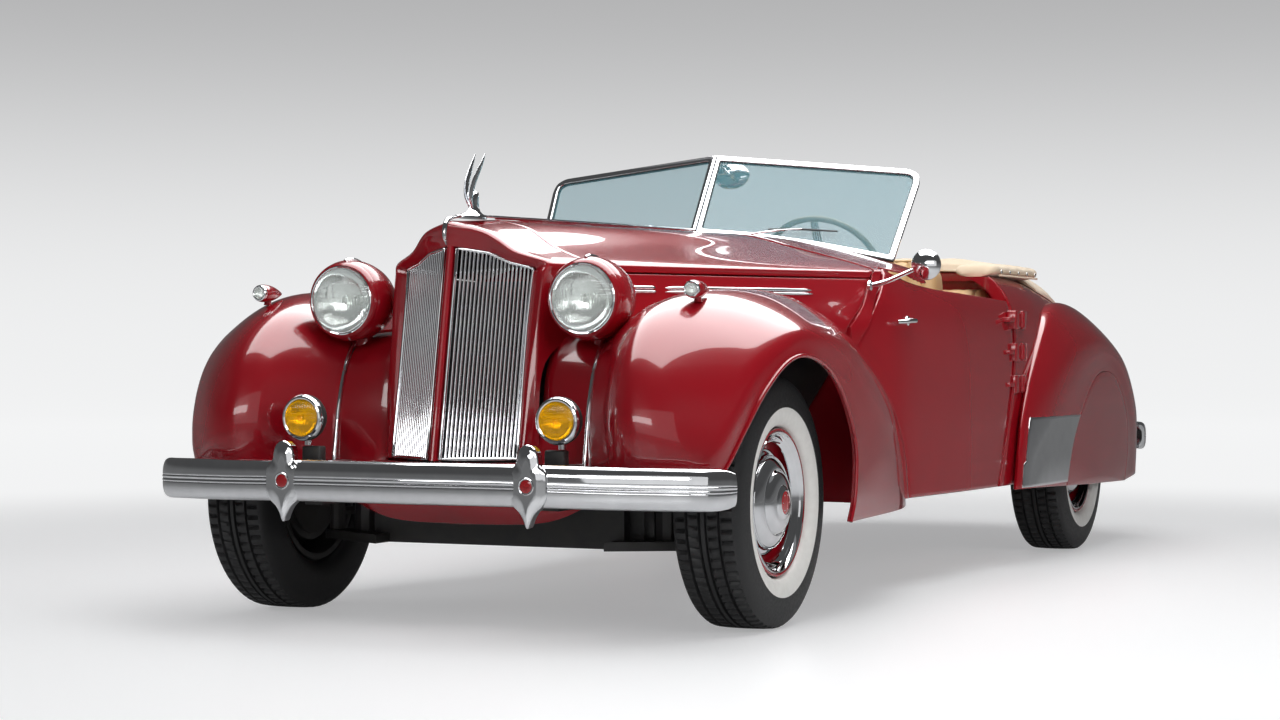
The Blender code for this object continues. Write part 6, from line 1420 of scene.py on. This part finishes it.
for k in range(14):
    run = 0.004 + 0.135 * k / 13
    line.append(head + BACK * run + UP * (straight(crest, run) + 0.002 - 0.003 * (k / 13) ** 4))
radii = [0.0062 * max(0.35, 1 - abs(k / 13 - 0.35) ** 2 * 1.4) for k in range(14)]
parts.append(rod("crest", line, radii, 12, CHROME))
both_sides(united("headlamp", parts), "head_light", "red_enamel", "headlamp")

fog = at(0.4, -0.53, 0.595)
pod = [(-2, 58), (2, 64), (10, 65.5), (22, 65), (36, 58.5), (52, 45), (66, 25), (72, 10), (73, 0)]
bezel = [(-8.5, 53), (-9.5, 56.5), (-8, 61), (-3, 65), (3, 66.2), (6, 65), (4, 62), (-3, 56)]
bowl = [(30, 0), (28, 15), (20, 34), (8, 49), (-2, 55.5)]
button = [(-4, 9.5), (3.5, 9), (5.5, 6), (6, 0)]
parts = lathe(
    fog, BACK, ("pod", pod, 4, 56, BLACK), ("bezel", bezel, 0, 56, CHROME), ("bowl", bowl, 3, 40, CHROME)
)
parts.append(lens_face("lens", fog - BACK * 0.0055, FRONT, 0.0555, 0.0065, 7, YELLOW, 0.004, 0.0022))
parts += lathe(fog - BACK * 0.011, FRONT, ("button", button, 1, 24, YELLOW))
parts.append(rod("stalk", [fog + BACK * 0.03 - UP * drop for drop in (0.055, 0.078)], 0.011, 18, CHROME))
ring = [(0.352, -0.515), (0.412, -0.515), (0.412, -0.48), (0.352, -0.48)]
base = loft("base", [[at(x, run, z) for x, run in ring] for z in (0.4703, 0.5145)], BLACK)
parts.append(rounded(base, 0.005))
both_sides(united("fog", parts), "fog_light", "amber_glass", "fog_lamp")

park = at(0.692, -0.29, 0.953)
pod = [
    (-2, 21.5), (4, 24.8), (16, 26), (34, 25.2), (56, 22.2), (80, 16), (104, 7.8), (116, 2.8), (118.5, 0),
]
bezel = [(-6, 17.5), (-7, 19.5), (-5.5, 22.5), (-1, 24.3), (2, 24), (-1, 20)]
parts = lathe(park, BACK, ("pod", pod, 4, 44, ENAMEL), ("bezel", bezel, 0, 44, CHROME))
parts.append(lens_face("lens", park - BACK * 0.004, FRONT, 0.019, 0.0065, 5, LENS, 0.002))
parts += lathe(park, BACK, ("bowl", [(10, 0), (6, 12), (-1, 18.5)], 1, 32, CHROME))
line = [park + BACK * 0.042 - UP * drop for drop in (0.018, 0.028, 0.0345)]
parts.append(rod("foot", line, [0.01, 0.0105, 0.0125], 20, ENAMEL))
both_sides(united("parking", parts), "side_light", "red_enamel", "parking_lamp")

tail = at(0.8, 4.004, 0.68)
pod = [(-4, 35), (4, 39.2), (16, 39.8), (34, 37.5), (56, 30), (78, 19), (94, 7), (99, 0)]
parts = lathe(tail, FRONT, ("pod", pod, 4, 48, CHROME))
parts.append(lens_face("lens", tail + BACK * 0.001, BACK, 0.0345, 0.0085, 6, RUBY, 0.003))
both_sides(united("tail", parts), "tail_light", "red_enamel", "tail_lamp")

# Ornament: two plain swept blades on an oval foot.
ORNAMENT_FOOT = mm([
    (1160.5, 26.5, 73, 0), (1165, 26.8, 74, 0), (1171, 23.5, 66, 2), (1177, 14, 48, 6),
    (1184, 8.5, 34, 10), (1196, 7, 26, 12), (1212, 7.8, 22, 13), (1226, 8.2, 19, 16), (1236, 6, 16, 19),
    (1240, 2, 8, 21),
])
BLADE = mm([
    (3, -268, 1190), (7, -285, 1222), (11, -274, 1262), (14, -247, 1302), (15.5, -226, 1330),
    (16, -214, 1349),
])
rings = []
for height, wide, long, shift in ORNAMENT_FOOT:
    centre = at(0, -0.262 + shift, height)
    rings.append(oval(centre, wide, long, 40))
parts = [loft("foot", rings, CHROME, angle=BLUNT)]
for side in (-1, 1):
    fine = curve([at(side * x, run, z) for x, run, z in BLADE], 24)
    rings = []
    for k, point in enumerate(fine):
        share = k / 23
        wide = 0.0034 * (1 - 0.75 * share)
        long = 0.002 + 0.0125 * math.sin(math.pi * min(1.0, share * 0.92 + 0.1)) ** 0.8
        rings.append(oval(point, wide, long, 20))
    parts.append(loft("blade", rings, CHROME, angle=BLUNT))
dressed(united("ornament_blades", parts), "chassis", "chrome", "ornament")

# Windscreen.
def filleted(points, radius, steps=6):
    """The closed outline with each corner rounded."""
    found = []
    count = len(points)
    for i in range(count):
        before, here, after = points[i - 1], points[i], points[(i + 1) % count]
        reach = min(radius, (before - here).length * 0.45, (after - here).length * 0.45)
        first = here + (before - here).normalized() * reach
        last = here + (after - here).normalized() * reach
        found += [
            first.lerp(here, k / steps).lerp(here.lerp(last, k / steps), k / steps)
            for k in range(steps + 1)
        ]
    return found


outline = places(WINDSCREEN_BASE) + list(reversed(places(WINDSCREEN_TOP)))
screen_normal = (outline[4] - outline[0]).cross(outline[-1] - outline[0]).normalized()
if screen_normal.y > 0:
    screen_normal.negate()
outline = flattened(outline, outline[0], screen_normal)


def flat_ring(outer, inner, front, depth, finish, name, roll):
    """A flat frame between two outlines of as many points, with rounded edges."""
    rings = [[p + screen_normal * front for p in outer], [p + screen_normal * front for p in inner]]
    rings += [
        [p + screen_normal * (front - depth) for p in inner],
        [p + screen_normal * (front - depth) for p in outer],
    ]
    return rounded(hoop(name, rings, finish), roll, 3)


wide = [p - ACROSS * 0.0055 if abs(p.x) < 0.006 else p for p in outline]
outer_loop = filleted(wide, 0.016)
inner_loop = filleted(inset_outline(outline, screen_normal, 0.021), 0.01)
frame_parts = [flat_ring(outer_loop, inner_loop, 0.0, 0.018, CHROME, "screen", 0.0035)]
gasket_loop = filleted(inset_outline(outline, screen_normal, 0.0235), 0.009)
frame_parts.append(flat_ring(inner_loop, gasket_loop, -0.0045, 0.011, RUBBER, "gasket", 0.0008))
half_screen = united("screen_half", frame_parts)
base_line = [p + screen_normal * 0.002 - UP * 0.002 for p in curve(outline[:5], 30)]
seal = rod("seal", base_line, 0.0055, 10, RUBBER)
post = rod(
    "post",
    [outline[0] + screen_normal * 0.003 + UP * 0.004, outline[-1] + screen_normal * 0.002 - UP * 0.0085],
    0.009, 16, CHROME,
)
dressed(
    united(
        "screen_frame",
        [half_screen, mirrored(half_screen, "other"), seal, mirrored(seal, "other_seal"), post],
    ),
    "chassis", "chrome", "windscreen_frame",
)


def on_pane(x, z, off):
    """A place on the left pane at a distance across and a height."""
    across = outline[4] - outline[0]
    rise = outline[-1] - outline[0]
    share = x / across.x
    climb = (z - outline[0].z - across.z * share) / rise.z
    return outline[0] + across * share + rise * climb + screen_normal * off


wiper_parts = []
for side, reach in ((1, 0.3), (-1, 0.26)):
    foot = at(side * 0.175, 1.352, cowl_point(1.352, 70).z)
    knob = [(-0.014, 0.011), (0.002, 0.011), (0.008, 0.009), (0.012, 0.005), (0.013, 0)]
    wiper_parts.append(turned("knob", knob, foot, Vector((0, -0.35, 0.94)), 20, CHROME))
    start = foot + UP * 0.01
    first, last = on_pane(0.175 + reach * 0.22, 1.192, 0.006), on_pane(0.175 + reach * 0.98, 1.183, 0.006)
    first.x *= side
    last.x *= side
    middle = first.lerp(last, 0.5)
    line = curve([start, start.lerp(last, 0.35) + UP * 0.012, middle + UP * 0.004], 14)
    wiper_parts.append(rod("arm", line, steps(0.0036, 0.0022, 14), 10, CHROME))
    wiper_parts.append(
        rod("blade", [first, middle + UP * 0.003, last], [0.0028, 0.0036, 0.0028], 8, RUBBER)
    )
dressed(united("wipers", wiper_parts), "chassis", "chrome")

glass_top = outline[-1]
eye = Vector((0.03, glass_top.y + 0.075, 1.392))
line = [glass_top + BACK * 0.016 - UP * 0.006, glass_top + BACK * 0.045 - UP * 0.03, eye - BACK * 0.014]
parts = [rod("stem", curve(line, 12), 0.005, 12, CHROME)]
look = Vector((0.25, 1, -0.12)).normalized()
shape = [
    (-0.016, 0.006), (-0.012, 0.03), (-0.004, 0.043), (0.002, 0.046), (0.005, 0.0455), (0.006, 0.043),
    (0.0045, 0.041), (0.0045, 0),
]
inside_mirror = turned("mirror", shape, eye, look, 48, [CHROME])
for vertex in inside_mirror.data.vertices:
    vertex.co.x = eye.x + (vertex.co.x - eye.x) * 1.55
parts.append(inside_mirror)
dressed(united("inside_mirror", parts), "chassis", "chrome")

head = Vector((0.905, FRONT_AXLE_Y + 1.115, 1.057))
foot = Vector((0.722, FRONT_AXLE_Y + 1.115, 0.992))
shell = [
    (-0.019, 0), (-0.0185, 0.01), (-0.0165, 0.022), (-0.012, 0.035), (-0.006, 0.044), (0.0, 0.0485),
    (0.004, 0.0495),
]
shape = smooth_profile(shell, 3) + [(0.0066, 0.0485), (0.0066, 0.046), (0.005, 0.045), (0.005, 0)]
parts = [turned("head", shape, head, BACK, 56, CHROME)]
line = [foot, foot + Vector((0.055, 0, 0.014)), head - Vector((0.052, 0, 0.02)), head - BACK * 0.006]
parts.append(rod("arm", curve(line, 22), steps(0.0085, 0.0063, 22), 16, CHROME))
parts.append(
    rod("pad", [foot - ACROSS * 0.008, foot, foot + ACROSS * 0.004], [0.017, 0.016, 0.009], 24, CHROME)
)
dressed(united("door_mirror", parts), "chassis", "chrome", "side_mirror")

# Chrome mouldings.
def flank_point(run, z, off):
    """A place on the hood's side panel, a little off its skin."""
    y = FRONT_AXLE_Y + run
    line = threaded([on_rail(cowl_rails[k], y) for k in (4, 5, 6)], 12)
    for a, b in zip(line, line[1:]):
        if a.z >= z >= b.z:
            spot = a.lerp(b, (z - a.z) / (b.z - a.z))
            return Vector((spot.x + off, y, z))
    return Vector((line[-1].x + off, y, z))


def moulding(name, path, height, depth, finish):
    """A half-round strip laid along a path on a flank, tapered to rounded ends."""
    rings = []
    count = len(path)
    for i, p in enumerate(path):
        ends = min(i, count - 1 - i) / 5
        size = math.sqrt(1 - (1 - min(1.0, ends)) ** 2) * 0.92 + 0.08
        run = (path[min(i + 1, count - 1)] - path[max(i - 1, 0)]).normalized()
        out = run.cross(UP).normalized()
        if out.x < 0:
            out.negate()
        rise = out.cross(run).normalized()
        if rise.z < 0:
            rise.negate()
        ring = []
        for k in range(16):
            turn = math.tau * k / 16
            high = height / 2 * size * math.cos(turn)
            ring.append(p + rise * high + out * (depth * size * max(-0.25, math.sin(turn))))
        rings.append(ring)
    return loft(name, rings, finish, angle=BLUNT)


trims = []
for first, last in ((-0.02, 0.165), (0.205, 0.865)):
    for level, height in ((0.9675, 0.012), (0.956, 0.009)):
        path = [flank_point(run, level + 0.006 * run, 0.0002) for run in steps(first, last, 49)]
        trims.append(moulding("strip", path, height, 0.0055, CHROME))
seam_line = curve(places(FENDER_SEAM), 50)
seam_line = [p + Vector((0, -0.004, 0.002)) for p in seam_line]
trims.append(rod("seam", seam_line, 0.0062, 14, CHROME))
both_sides(united("side_trim", trims), "side_trim", "chrome")

ridge = [on_rail(cowl_rails[0], FRONT_AXLE_Y + run) for run in steps(-0.36, 1.335, 61)]
for p in ridge:
    p.x = 0
    p.z += 0.0085
ridge_strip = bars("ridge", [ridge], 0.004, 0.004, CHROME, 14)
brow = [Vector((0, p.y, p.z)) for p in curve(places(BROW), 24)]
radii = [0.0035 + 0.004 * math.sin(math.pi * min(1.0, k / 23 * 1.2)) for k in range(24)]
brow_strip = rod("brow", brow, radii, 14, CHROME)
dressed(united("ridge_trim", [ridge_strip, brow_strip]), "chassis", "chrome")

guard_lines = list(zip(*surface(rear_rails, 240, 40)))


def at_height(line, z):
    """Where a line that climbs the fender's front passes a height."""
    for a, b in zip(line, line[1:]):
        if a.z <= z <= b.z:
            return a.lerp(b, (z - a.z) / (b.z - a.z))
    return line[0]


grid = []
for z in steps(0.29, 0.54, 25):
    whole = [at_height(line, z) for line in guard_lines]
    grid.append(spaced([p for p in whole if p.y > whole[0].y + 0.004], 30))
stone = panel("stone_guard", grid, 0.003, at(0.7, 3.22, 0.3), CHROME, None, 0.0008, 0.0035)
both_sides(stone, "stone_guard", "chrome")

# Cabin.
def bench(name, outline, soft, reach, pleats, depth):
    """A trimmed bench part: a rounded section pushed across, with sewn channels on its soft faces."""
    section = closed_curve([Vector((run, z, weight)) for (run, z), weight in zip(outline, soft)], 7)
    centre = sum(section, Vector()) / len(section)
    count = pleats * 10
    rings = []
    for i in range(count + 1):
        share = i / count
        x = reach * (2 * share - 1)
        edge = min(share, 1 - share) * 2 * reach
        pull = 1 - 0.2 * max(0.0, 1 - edge / 0.045) ** 2.2
        channel = abs(math.sin(math.pi * pleats * share)) ** 0.55
        ring = []
        for k, p in enumerate(section):
            tangent = section[(k + 1) % len(section)] - section[k - 1]
            out = Vector((tangent.y, -tangent.x, 0)).normalized()
            if out.dot(p - centre) < 0 and abs(out.dot(p - centre)) > 0.004:
                out.negate()
            weight = min(1.0, max(0.0, p.z))
            run = centre.x + (p.x - centre.x) * pull + out.x * depth * weight * (channel - 1)
            z = centre.y + (p.y - centre.y) * pull + out.y * depth * weight * (channel - 1)
            ring.append(at(x, run, z))
        rings.append(ring)
    for end in (0, -1):
        middle = sum(rings[end], Vector()) / len(rings[end])
        rings[end] = [p.lerp(Vector((p.x, middle.y, middle.z)), 0.1) for p in rings[end]]
    return loft(name, rings, LEATHER, angle=math.radians(70))


def seat(name, cushion, cushion_soft, backrest, back_soft, reach, pleats, node, edge_line):
    parts = [bench("cushion", cushion, cushion_soft, reach - 0.002, pleats, 0.012)]
    parts.append(bench("backrest", backrest, back_soft, reach - 0.002, pleats, 0.012))
    for run, z in edge_line:
        line = [at(x, run, z) for x in steps(0.03 - reach, reach - 0.03, 41)]
        parts.append(bars("piping", [line], 0.0045, 0.0045, LEATHER, 8))
    found = united(name, parts)
    dressed(found, "chassis", "tan_leather", node)


FRONT_CUSHION = mm([
    (1745, 500), (1712, 600), (1706, 690), (1722, 748), (1775, 772), (1900, 762), (2040, 750),
    (2130, 742), (2170, 650), (2170, 500),
])
FRONT_BACKREST = mm([
    (2095, 700), (2118, 800), (2142, 920), (2163, 1030), (2180, 1090), (2212, 1108), (2250, 1102),
    (2280, 1060), (2286, 900), (2284, 700), (2262, 500), (2180, 498), (2120, 600),
])
REAR_CUSHION = mm([
    (2625, 505), (2606, 600), (2604, 690), (2618, 748), (2665, 768), (2760, 764), (2870, 758),
    (2905, 740), (2915, 650), (2915, 505),
])
REAR_BACKREST = mm([
    (2848, 720), (2862, 820), (2880, 920), (2896, 985), (2915, 1010), (2940, 1016), (2960, 1000),
    (2962, 850), (2962, 700), (2962, 520), (2900, 505), (2870, 600),
])
seat(
    "front_bench", FRONT_CUSHION, [0, 0.3, 0.6, 0.9, 1, 1, 1, 0.7, 0, 0], FRONT_BACKREST,
    [1, 1, 1, 1, 0.9, 0.5, 0.2, 0, 0, 0, 0, 0, 0.5], 0.6, 22, "front_seat",
    [(1.716, 0.752), (2.198, 1.106)],
)
seat(
    "rear_bench", REAR_CUSHION, [0, 0.3, 0.6, 0.9, 1, 1, 0.7, 0.4, 0, 0], REAR_BACKREST,
    [1, 1, 1, 0.9, 0.6, 0.3, 0, 0, 0, 0, 0, 0.5], 0.575, 21, "rear_seat", [(2.613, 0.75)],
)

# Pleated lining behind the doors.
grid = []
for i in range(121):
    run = 2.352 + (2.912 - 2.352) * i / 120
    channel = 0.009 * abs(math.sin(math.pi * 11 * i / 120)) ** 0.5
    row = []
    for k in range(25):
        z = 0.56 + (1.046 - 0.56) * k / 24
        soft = math.sin(math.pi * (0.08 + 0.84 * k / 24)) ** 0.4
        row.append(at(side_at(run, z) - 0.036 - channel * soft, run, z))
    grid.append(row)
lining = panel("lining", grid, 0.004, at(2.0, 2.6, 0.8), LEATHER, None, 0.001)
both_sides(lining, "quarter_lining", "tan_leather")

# Folded top under its cover.
def cover_reach(run):
    return straight(COVER_REACH, run)


rise_table = [
    (2.935, 0.15), (2.95, 0.42), (2.98, 0.72), (3.04, 0.95), (3.12, 1.0), (3.2, 0.97), (3.28, 0.84),
    (3.35, 0.64), (3.4, 0.42), (3.43, 0.18), (3.44, 0.04),
]
rings = []
for j in range(61):
    run = 2.941 + (3.438 - 2.941) * j / 60
    reach = cover_reach(run)
    rise = eased(rise_table, run)
    low, high = [], []
    for k in range(73):
        t = 2 * k / 72 - 1
        spot = skin_over(run, reach * t) + UP * 0.0045
        low.append(spot)
        full = 0.16 + rise * (1 - abs(t) ** 5)
        pucker = 0.0035 * math.sin(38 * t + 6 * math.sin(9 * run)) * math.exp(-((1 - abs(t)) / 0.12) ** 2)
        fold = 0.004 * math.sin(run * 34 + 1.5 * math.sin(5 * t)) * rise * (1 - t * t)
        fold += 0.0026 * math.sin(23 * t + run * 11) * rise
        high.append(spot + UP * (0.053 * full + fold + pucker))
    rings.append(low + list(reversed(high)))
cover_parts = [loft("cover", rings, CANVAS, angle=math.radians(75))]
snaps = []
for side in (-1, 1):
    rings = []
    for j in range(61):
        share = j / 60
        run = 2.352 + (2.955 - 2.352) * share
        outer = cover_reach(run) - 0.001
        nose = math.sqrt(max(0.0, 1 - (1 - min(1.0, share / 0.1)) ** 2))
        high = 0.05 * (0.35 + 0.65 * nose) * (1 + 0.05 * math.sin(26 * share) + 0.03 * math.sin(61 * share))
        ring = []
        for k in range(28):
            turn = math.tau * k / 28
            wide = math.copysign(abs(math.cos(turn)) ** 0.75, math.cos(turn))
            tall = math.copysign(abs(math.sin(turn)) ** 0.85, math.sin(turn))
            middle = (0.603 + outer) / 2
            x = middle + (outer - 0.603) / 2 * wide * (0.55 + 0.45 * nose)
            ring.append(at(side * x, run, 1.0512 + high * (tall + 1) / 2))
        rings.append(ring)
    cover_parts.append(loft("arm", rings, CANVAS, angle=math.radians(75)))
    edge = [at(side * (cover_reach(run) + 0.0005), run, 1.056) for run in steps(2.4, 2.95, 31)]
    cover_parts.append(bars("welt", [edge], 0.0038, 0.0038, CANVAS, 8))
    for run in steps(2.43, 2.93, 5):
        snaps.append((at(side * (cover_reach(run) - 0.0005), run, 1.07), ACROSS * side))
way = Vector((0, 0.85, 0.5)).normalized()
snaps += [(skin_over(3.437, 0.115 * k) + UP * 0.012, way) for k in range(-5, 6)]
cover_parts.append(studs("snaps", snaps, 0.0075, 0.003, CHROME))
top_cover = united("boot_cover", cover_parts)
dressed(top_cover, "chassis", "tan_canvas", "top_cover")

# Steering wheel and dash.
hub = at(0.345, 1.7, 1.062)
tilt = Vector((0, math.cos(math.radians(32)), math.sin(math.radians(32))))
section = [
    (0.0105 * math.sin(math.tau * k / 16), 0.205 + 0.0108 * math.cos(math.tau * k / 16)) for k in range(16)
]
wheel_parts = [turned("rim", section, hub, tilt, 96, IVORY, closed=True)]
boss = [
    (-0.035, 0.02), (-0.03, 0.024), (-0.01, 0.034), (0.0, 0.0405), (0.005, 0.0405), (0.0085, 0.036),
    (0.0085, 0.031),
]
wheel_parts.append(turned("boss", smooth_profile(boss, 4) + [(-0.034, 0.0)], hub, tilt, 48, IVORY))
button = [(4, 30.5), (9.5, 30), (10.8, 24), (11.2, 12), (11.2, 0)]
wheel_parts += lathe(hub, tilt, ("button", button, 3, 48, CHROME))
side, up = frame_of(tilt)
for k in range(3):
    turn = math.tau * k / 3 + math.pi / 2
    way = side * math.cos(turn) + up * math.sin(turn)
    flat = tilt.cross(way)
    paths = []
    for shift in (-0.0125, -0.0042, 0.0042, 0.0125):
        line = []
        for j in range(13):
            spread = shift * (0.75 + 0.25 * math.sin(math.pi * j / 12))
            line.append(hub + way * (0.03 + 0.172 * j / 12) + flat * spread)
        paths.append(line)
    wheel_parts.append(bars("spokes", paths, 0.0027, 0.0027, CHROME, 10))
dressed(united("helm", wheel_parts), "steering_wheel", "ivory_plastic", "steering_wheel")

parts = []
dash_y = FRONT_AXLE_Y + 1.3553
for x, z, radius in (
    (0.345, 1.035, 0.052), (0.225, 1.03, 0.034), (0.465, 1.03, 0.034), (-0.345, 1.035, 0.052)
):
    spot = Vector((x, dash_y, z))
    wide = radius * 1000
    bezel = [(-2, wide), (6, wide), (8, wide - 3), (4, wide - 6), (-2, wide - 6)]
    dial = [(-1, wide - 5), (2, wide - 5), (2, 0)]
    parts += lathe(spot, BACK, ("bezel", bezel, 0, 48, CHROME), ("dial", dial, 1, 48, IVORY))
    ticks = []
    for k in range(24):
        if k not in (17, 18, 19):
            turn = math.tau * k / 24
            ticks.append(
                [spot + BACK * 0.0025 + frame_point(BACK, radius * share, turn) for share in (0.7, 0.82)]
            )
    parts.append(bars("ticks", ticks, 0.0008, 0.0006, BLACK, 6))
    pin = spot + BACK * 0.0035
    parts.append(
        bars("needle", [[pin, pin + frame_point(BACK, radius * 0.68, 2.2)]], 0.0012, 0.0008, RED_DISC, 6)
    )
line = [Vector((x, dash_y + 0.002, 0.955)) for x in steps(-0.62, 0.62, 31)]
parts.append(bars("dash_strip", [line], 0.004, 0.003, CHROME, 10))
knob = [(0, 5), (12, 5), (16, 10), (22, 9), (24, 0)]
for x in (-0.1, -0.05, 0.0, 0.05, 0.1):
    parts += lathe(Vector((x, dash_y, 0.985)), BACK, ("knob", knob, 1, 20, IVORY))
dressed(united("dash_fittings", parts), "chassis", "chrome")

grid = [
    [at(x, run, 0.4943 + 0.0006 * math.sin(x * 90)) for x in steps(-0.6, 0.6, 31)]
    for run in steps(1.03, 2.95, 61)
]
dressed(panel("floor_mat", grid, 0.003, at(0, 2, 0), CARPET, None, 0.001), "chassis", "tan_leather")

# The solids that stay in sight, each with its own finish.
KEPT = {
    "cowl": ENAMEL, "rear_body": ENAMEL, "frame": BLACK, "engine": IRON, "driveline": IRON,
    "front_suspension": BLACK, "radiator": BLACK, "exhaust": IRON, "fuel_tank": BLACK, "floor": BLACK,
    "trunk_floor": BLACK, "knuckle_left": IRON, "knuckle_right": IRON,
    "windscreen_glass_left": PANE, "windscreen_glass_right": PANE,
}
for name, made in KEPT.items():
    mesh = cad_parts[name].data
    for k in range(len(mesh.materials)):
        mesh.materials[k] = made
    if not mesh.materials:
        mesh.materials.append(made)

# Studio.
NEAR_FLOOR = 2.6
FAR_FLOOR = 6.5
WALL_FADE = 7.0
UNSEEN_GLOW = 0.16
WALL_START = 18
WALL_BEND = 8


def softbox(name, place, target, width, height, power, diffuse=True, glossy=True):
    """A soft lamp, which may be one for matt surfaces only or one for reflections only."""
    lamp = bpy.data.lights.new(name, "AREA")
    lamp.shape = "RECTANGLE"
    lamp.size = width
    lamp.size_y = height
    lamp.energy = power
    holder = bpy.data.objects.new(name, lamp)
    holder.location = place
    holder.rotation_euler = (Vector(target) - Vector(place)).to_track_quat("-Z", "Y").to_euler()
    holder.visible_diffuse = diffuse
    holder.visible_glossy = glossy
    holder.visible_camera = False
    bpy.context.scene.collection.objects.link(holder)
    return holder


softbox("overhead_light", (0.6, -0.6, 4.4), (0.2, -0.1, 0), 3.0, 7.0, 200, glossy=False)
softbox("overhead_card", (0.3, -0.2, 4.4), (0.3, -0.2, 0), 5.2, 8.0, 850, diffuse=False)
softbox("near_side", (6.0, -3.5, 2.6), (0, 0, 0.7), 5.5, 1.5, 115, glossy=False)
softbox("far_side", (-6.0, -3.0, 2.8), (0, 0, 0.6), 5.0, 1.5, 80, glossy=False)
softbox("front_light", (0.6, -9.0, 3.6), (0, -1.5, 0.6), 4.5, 1.2, 75, glossy=False)
softbox("front_card", (1.5, -9.5, 2.4), (0, -1.5, 0.6), 6.0, 0.9, 110, diffuse=False)
softbox("front_wall", (4.5, -12.0, 2.6), (0, -1.5, 0.6), 12.0, 5.0, 130, diffuse=False)

# The floor runs up into a wall all round; far off, both glow by themselves, so the lamps leave no edge.
studio = bpy.data.materials.new("studio_sweep")
studio.use_nodes = True
tree = studio.node_tree
shader = tree.nodes["Principled BSDF"]
shader.inputs["Roughness"].default_value = 0.34
shader.inputs["Specular IOR Level"].default_value = 0.25
place = add(tree, "ShaderNodeTexCoord")
part = add(tree, "ShaderNodeSeparateXYZ", Vector=place.outputs["Object"])
level = add(tree, "ShaderNodeCombineXYZ", X=part.outputs["X"], Y=part.outputs["Y"])
reach = add(tree, "ShaderNodeVectorMath", {"operation": "LENGTH"}, Vector=level.outputs["Vector"])
glow = ranged(
    tree, reach.outputs["Value"], NEAR_FLOOR, FAR_FLOOR, settings={"interpolation_type": "SMOOTHSTEP"}
)
height = ranged(tree, part.outputs["Z"], 0.0, WALL_FADE, settings={"interpolation_type": "SMOOTHERSTEP"})
wall = mixed(tree, height, (0.86, 0.865, 0.87), (0.42, 0.42, 0.425))
tree.links.new(mixed(tree, glow, (0.36, 0.36, 0.365), wall), shader.inputs["Emission Color"])
tree.links.new(mixed(tree, glow, (0.6, 0.605, 0.61), (0, 0, 0)), shader.inputs["Base Color"])
rays = add(tree, "ShaderNodeLightPath")
sides = {"in0": rays.outputs["Is Camera Ray"], "in1": rays.outputs["Is Transmission Ray"]}
seen = add(tree, "ShaderNodeMath", {"operation": "MAXIMUM"}, **sides)
tree.links.new(ranged(tree, seen.outputs["Value"], first=UNSEEN_GLOW), shader.inputs["Emission Strength"])

sweep = [(radius, 0) for radius in range(0, WALL_START + 1, 3)]
for turn in steps(0, math.pi / 2, 13)[1:]:
    sweep.append((WALL_START + WALL_BEND * math.sin(turn), WALL_BEND * (1 - math.cos(turn))))
sweep.append((WALL_START + WALL_BEND, 30))
floor = turned("studio_floor", [(z - 0.001, radius) for radius, z in sweep], Vector(), UP, 96, studio)
world = bpy.context.scene.world or bpy.data.worlds.new("studio")
bpy.context.scene.world = world
world.use_nodes = True
back = world.node_tree.nodes["Background"]
back.inputs["Color"].default_value = (0.6, 0.61, 0.62, 1)
back.inputs["Strength"].default_value = 0.38
bpy.context.scene.view_settings.view_transform = "Standard"
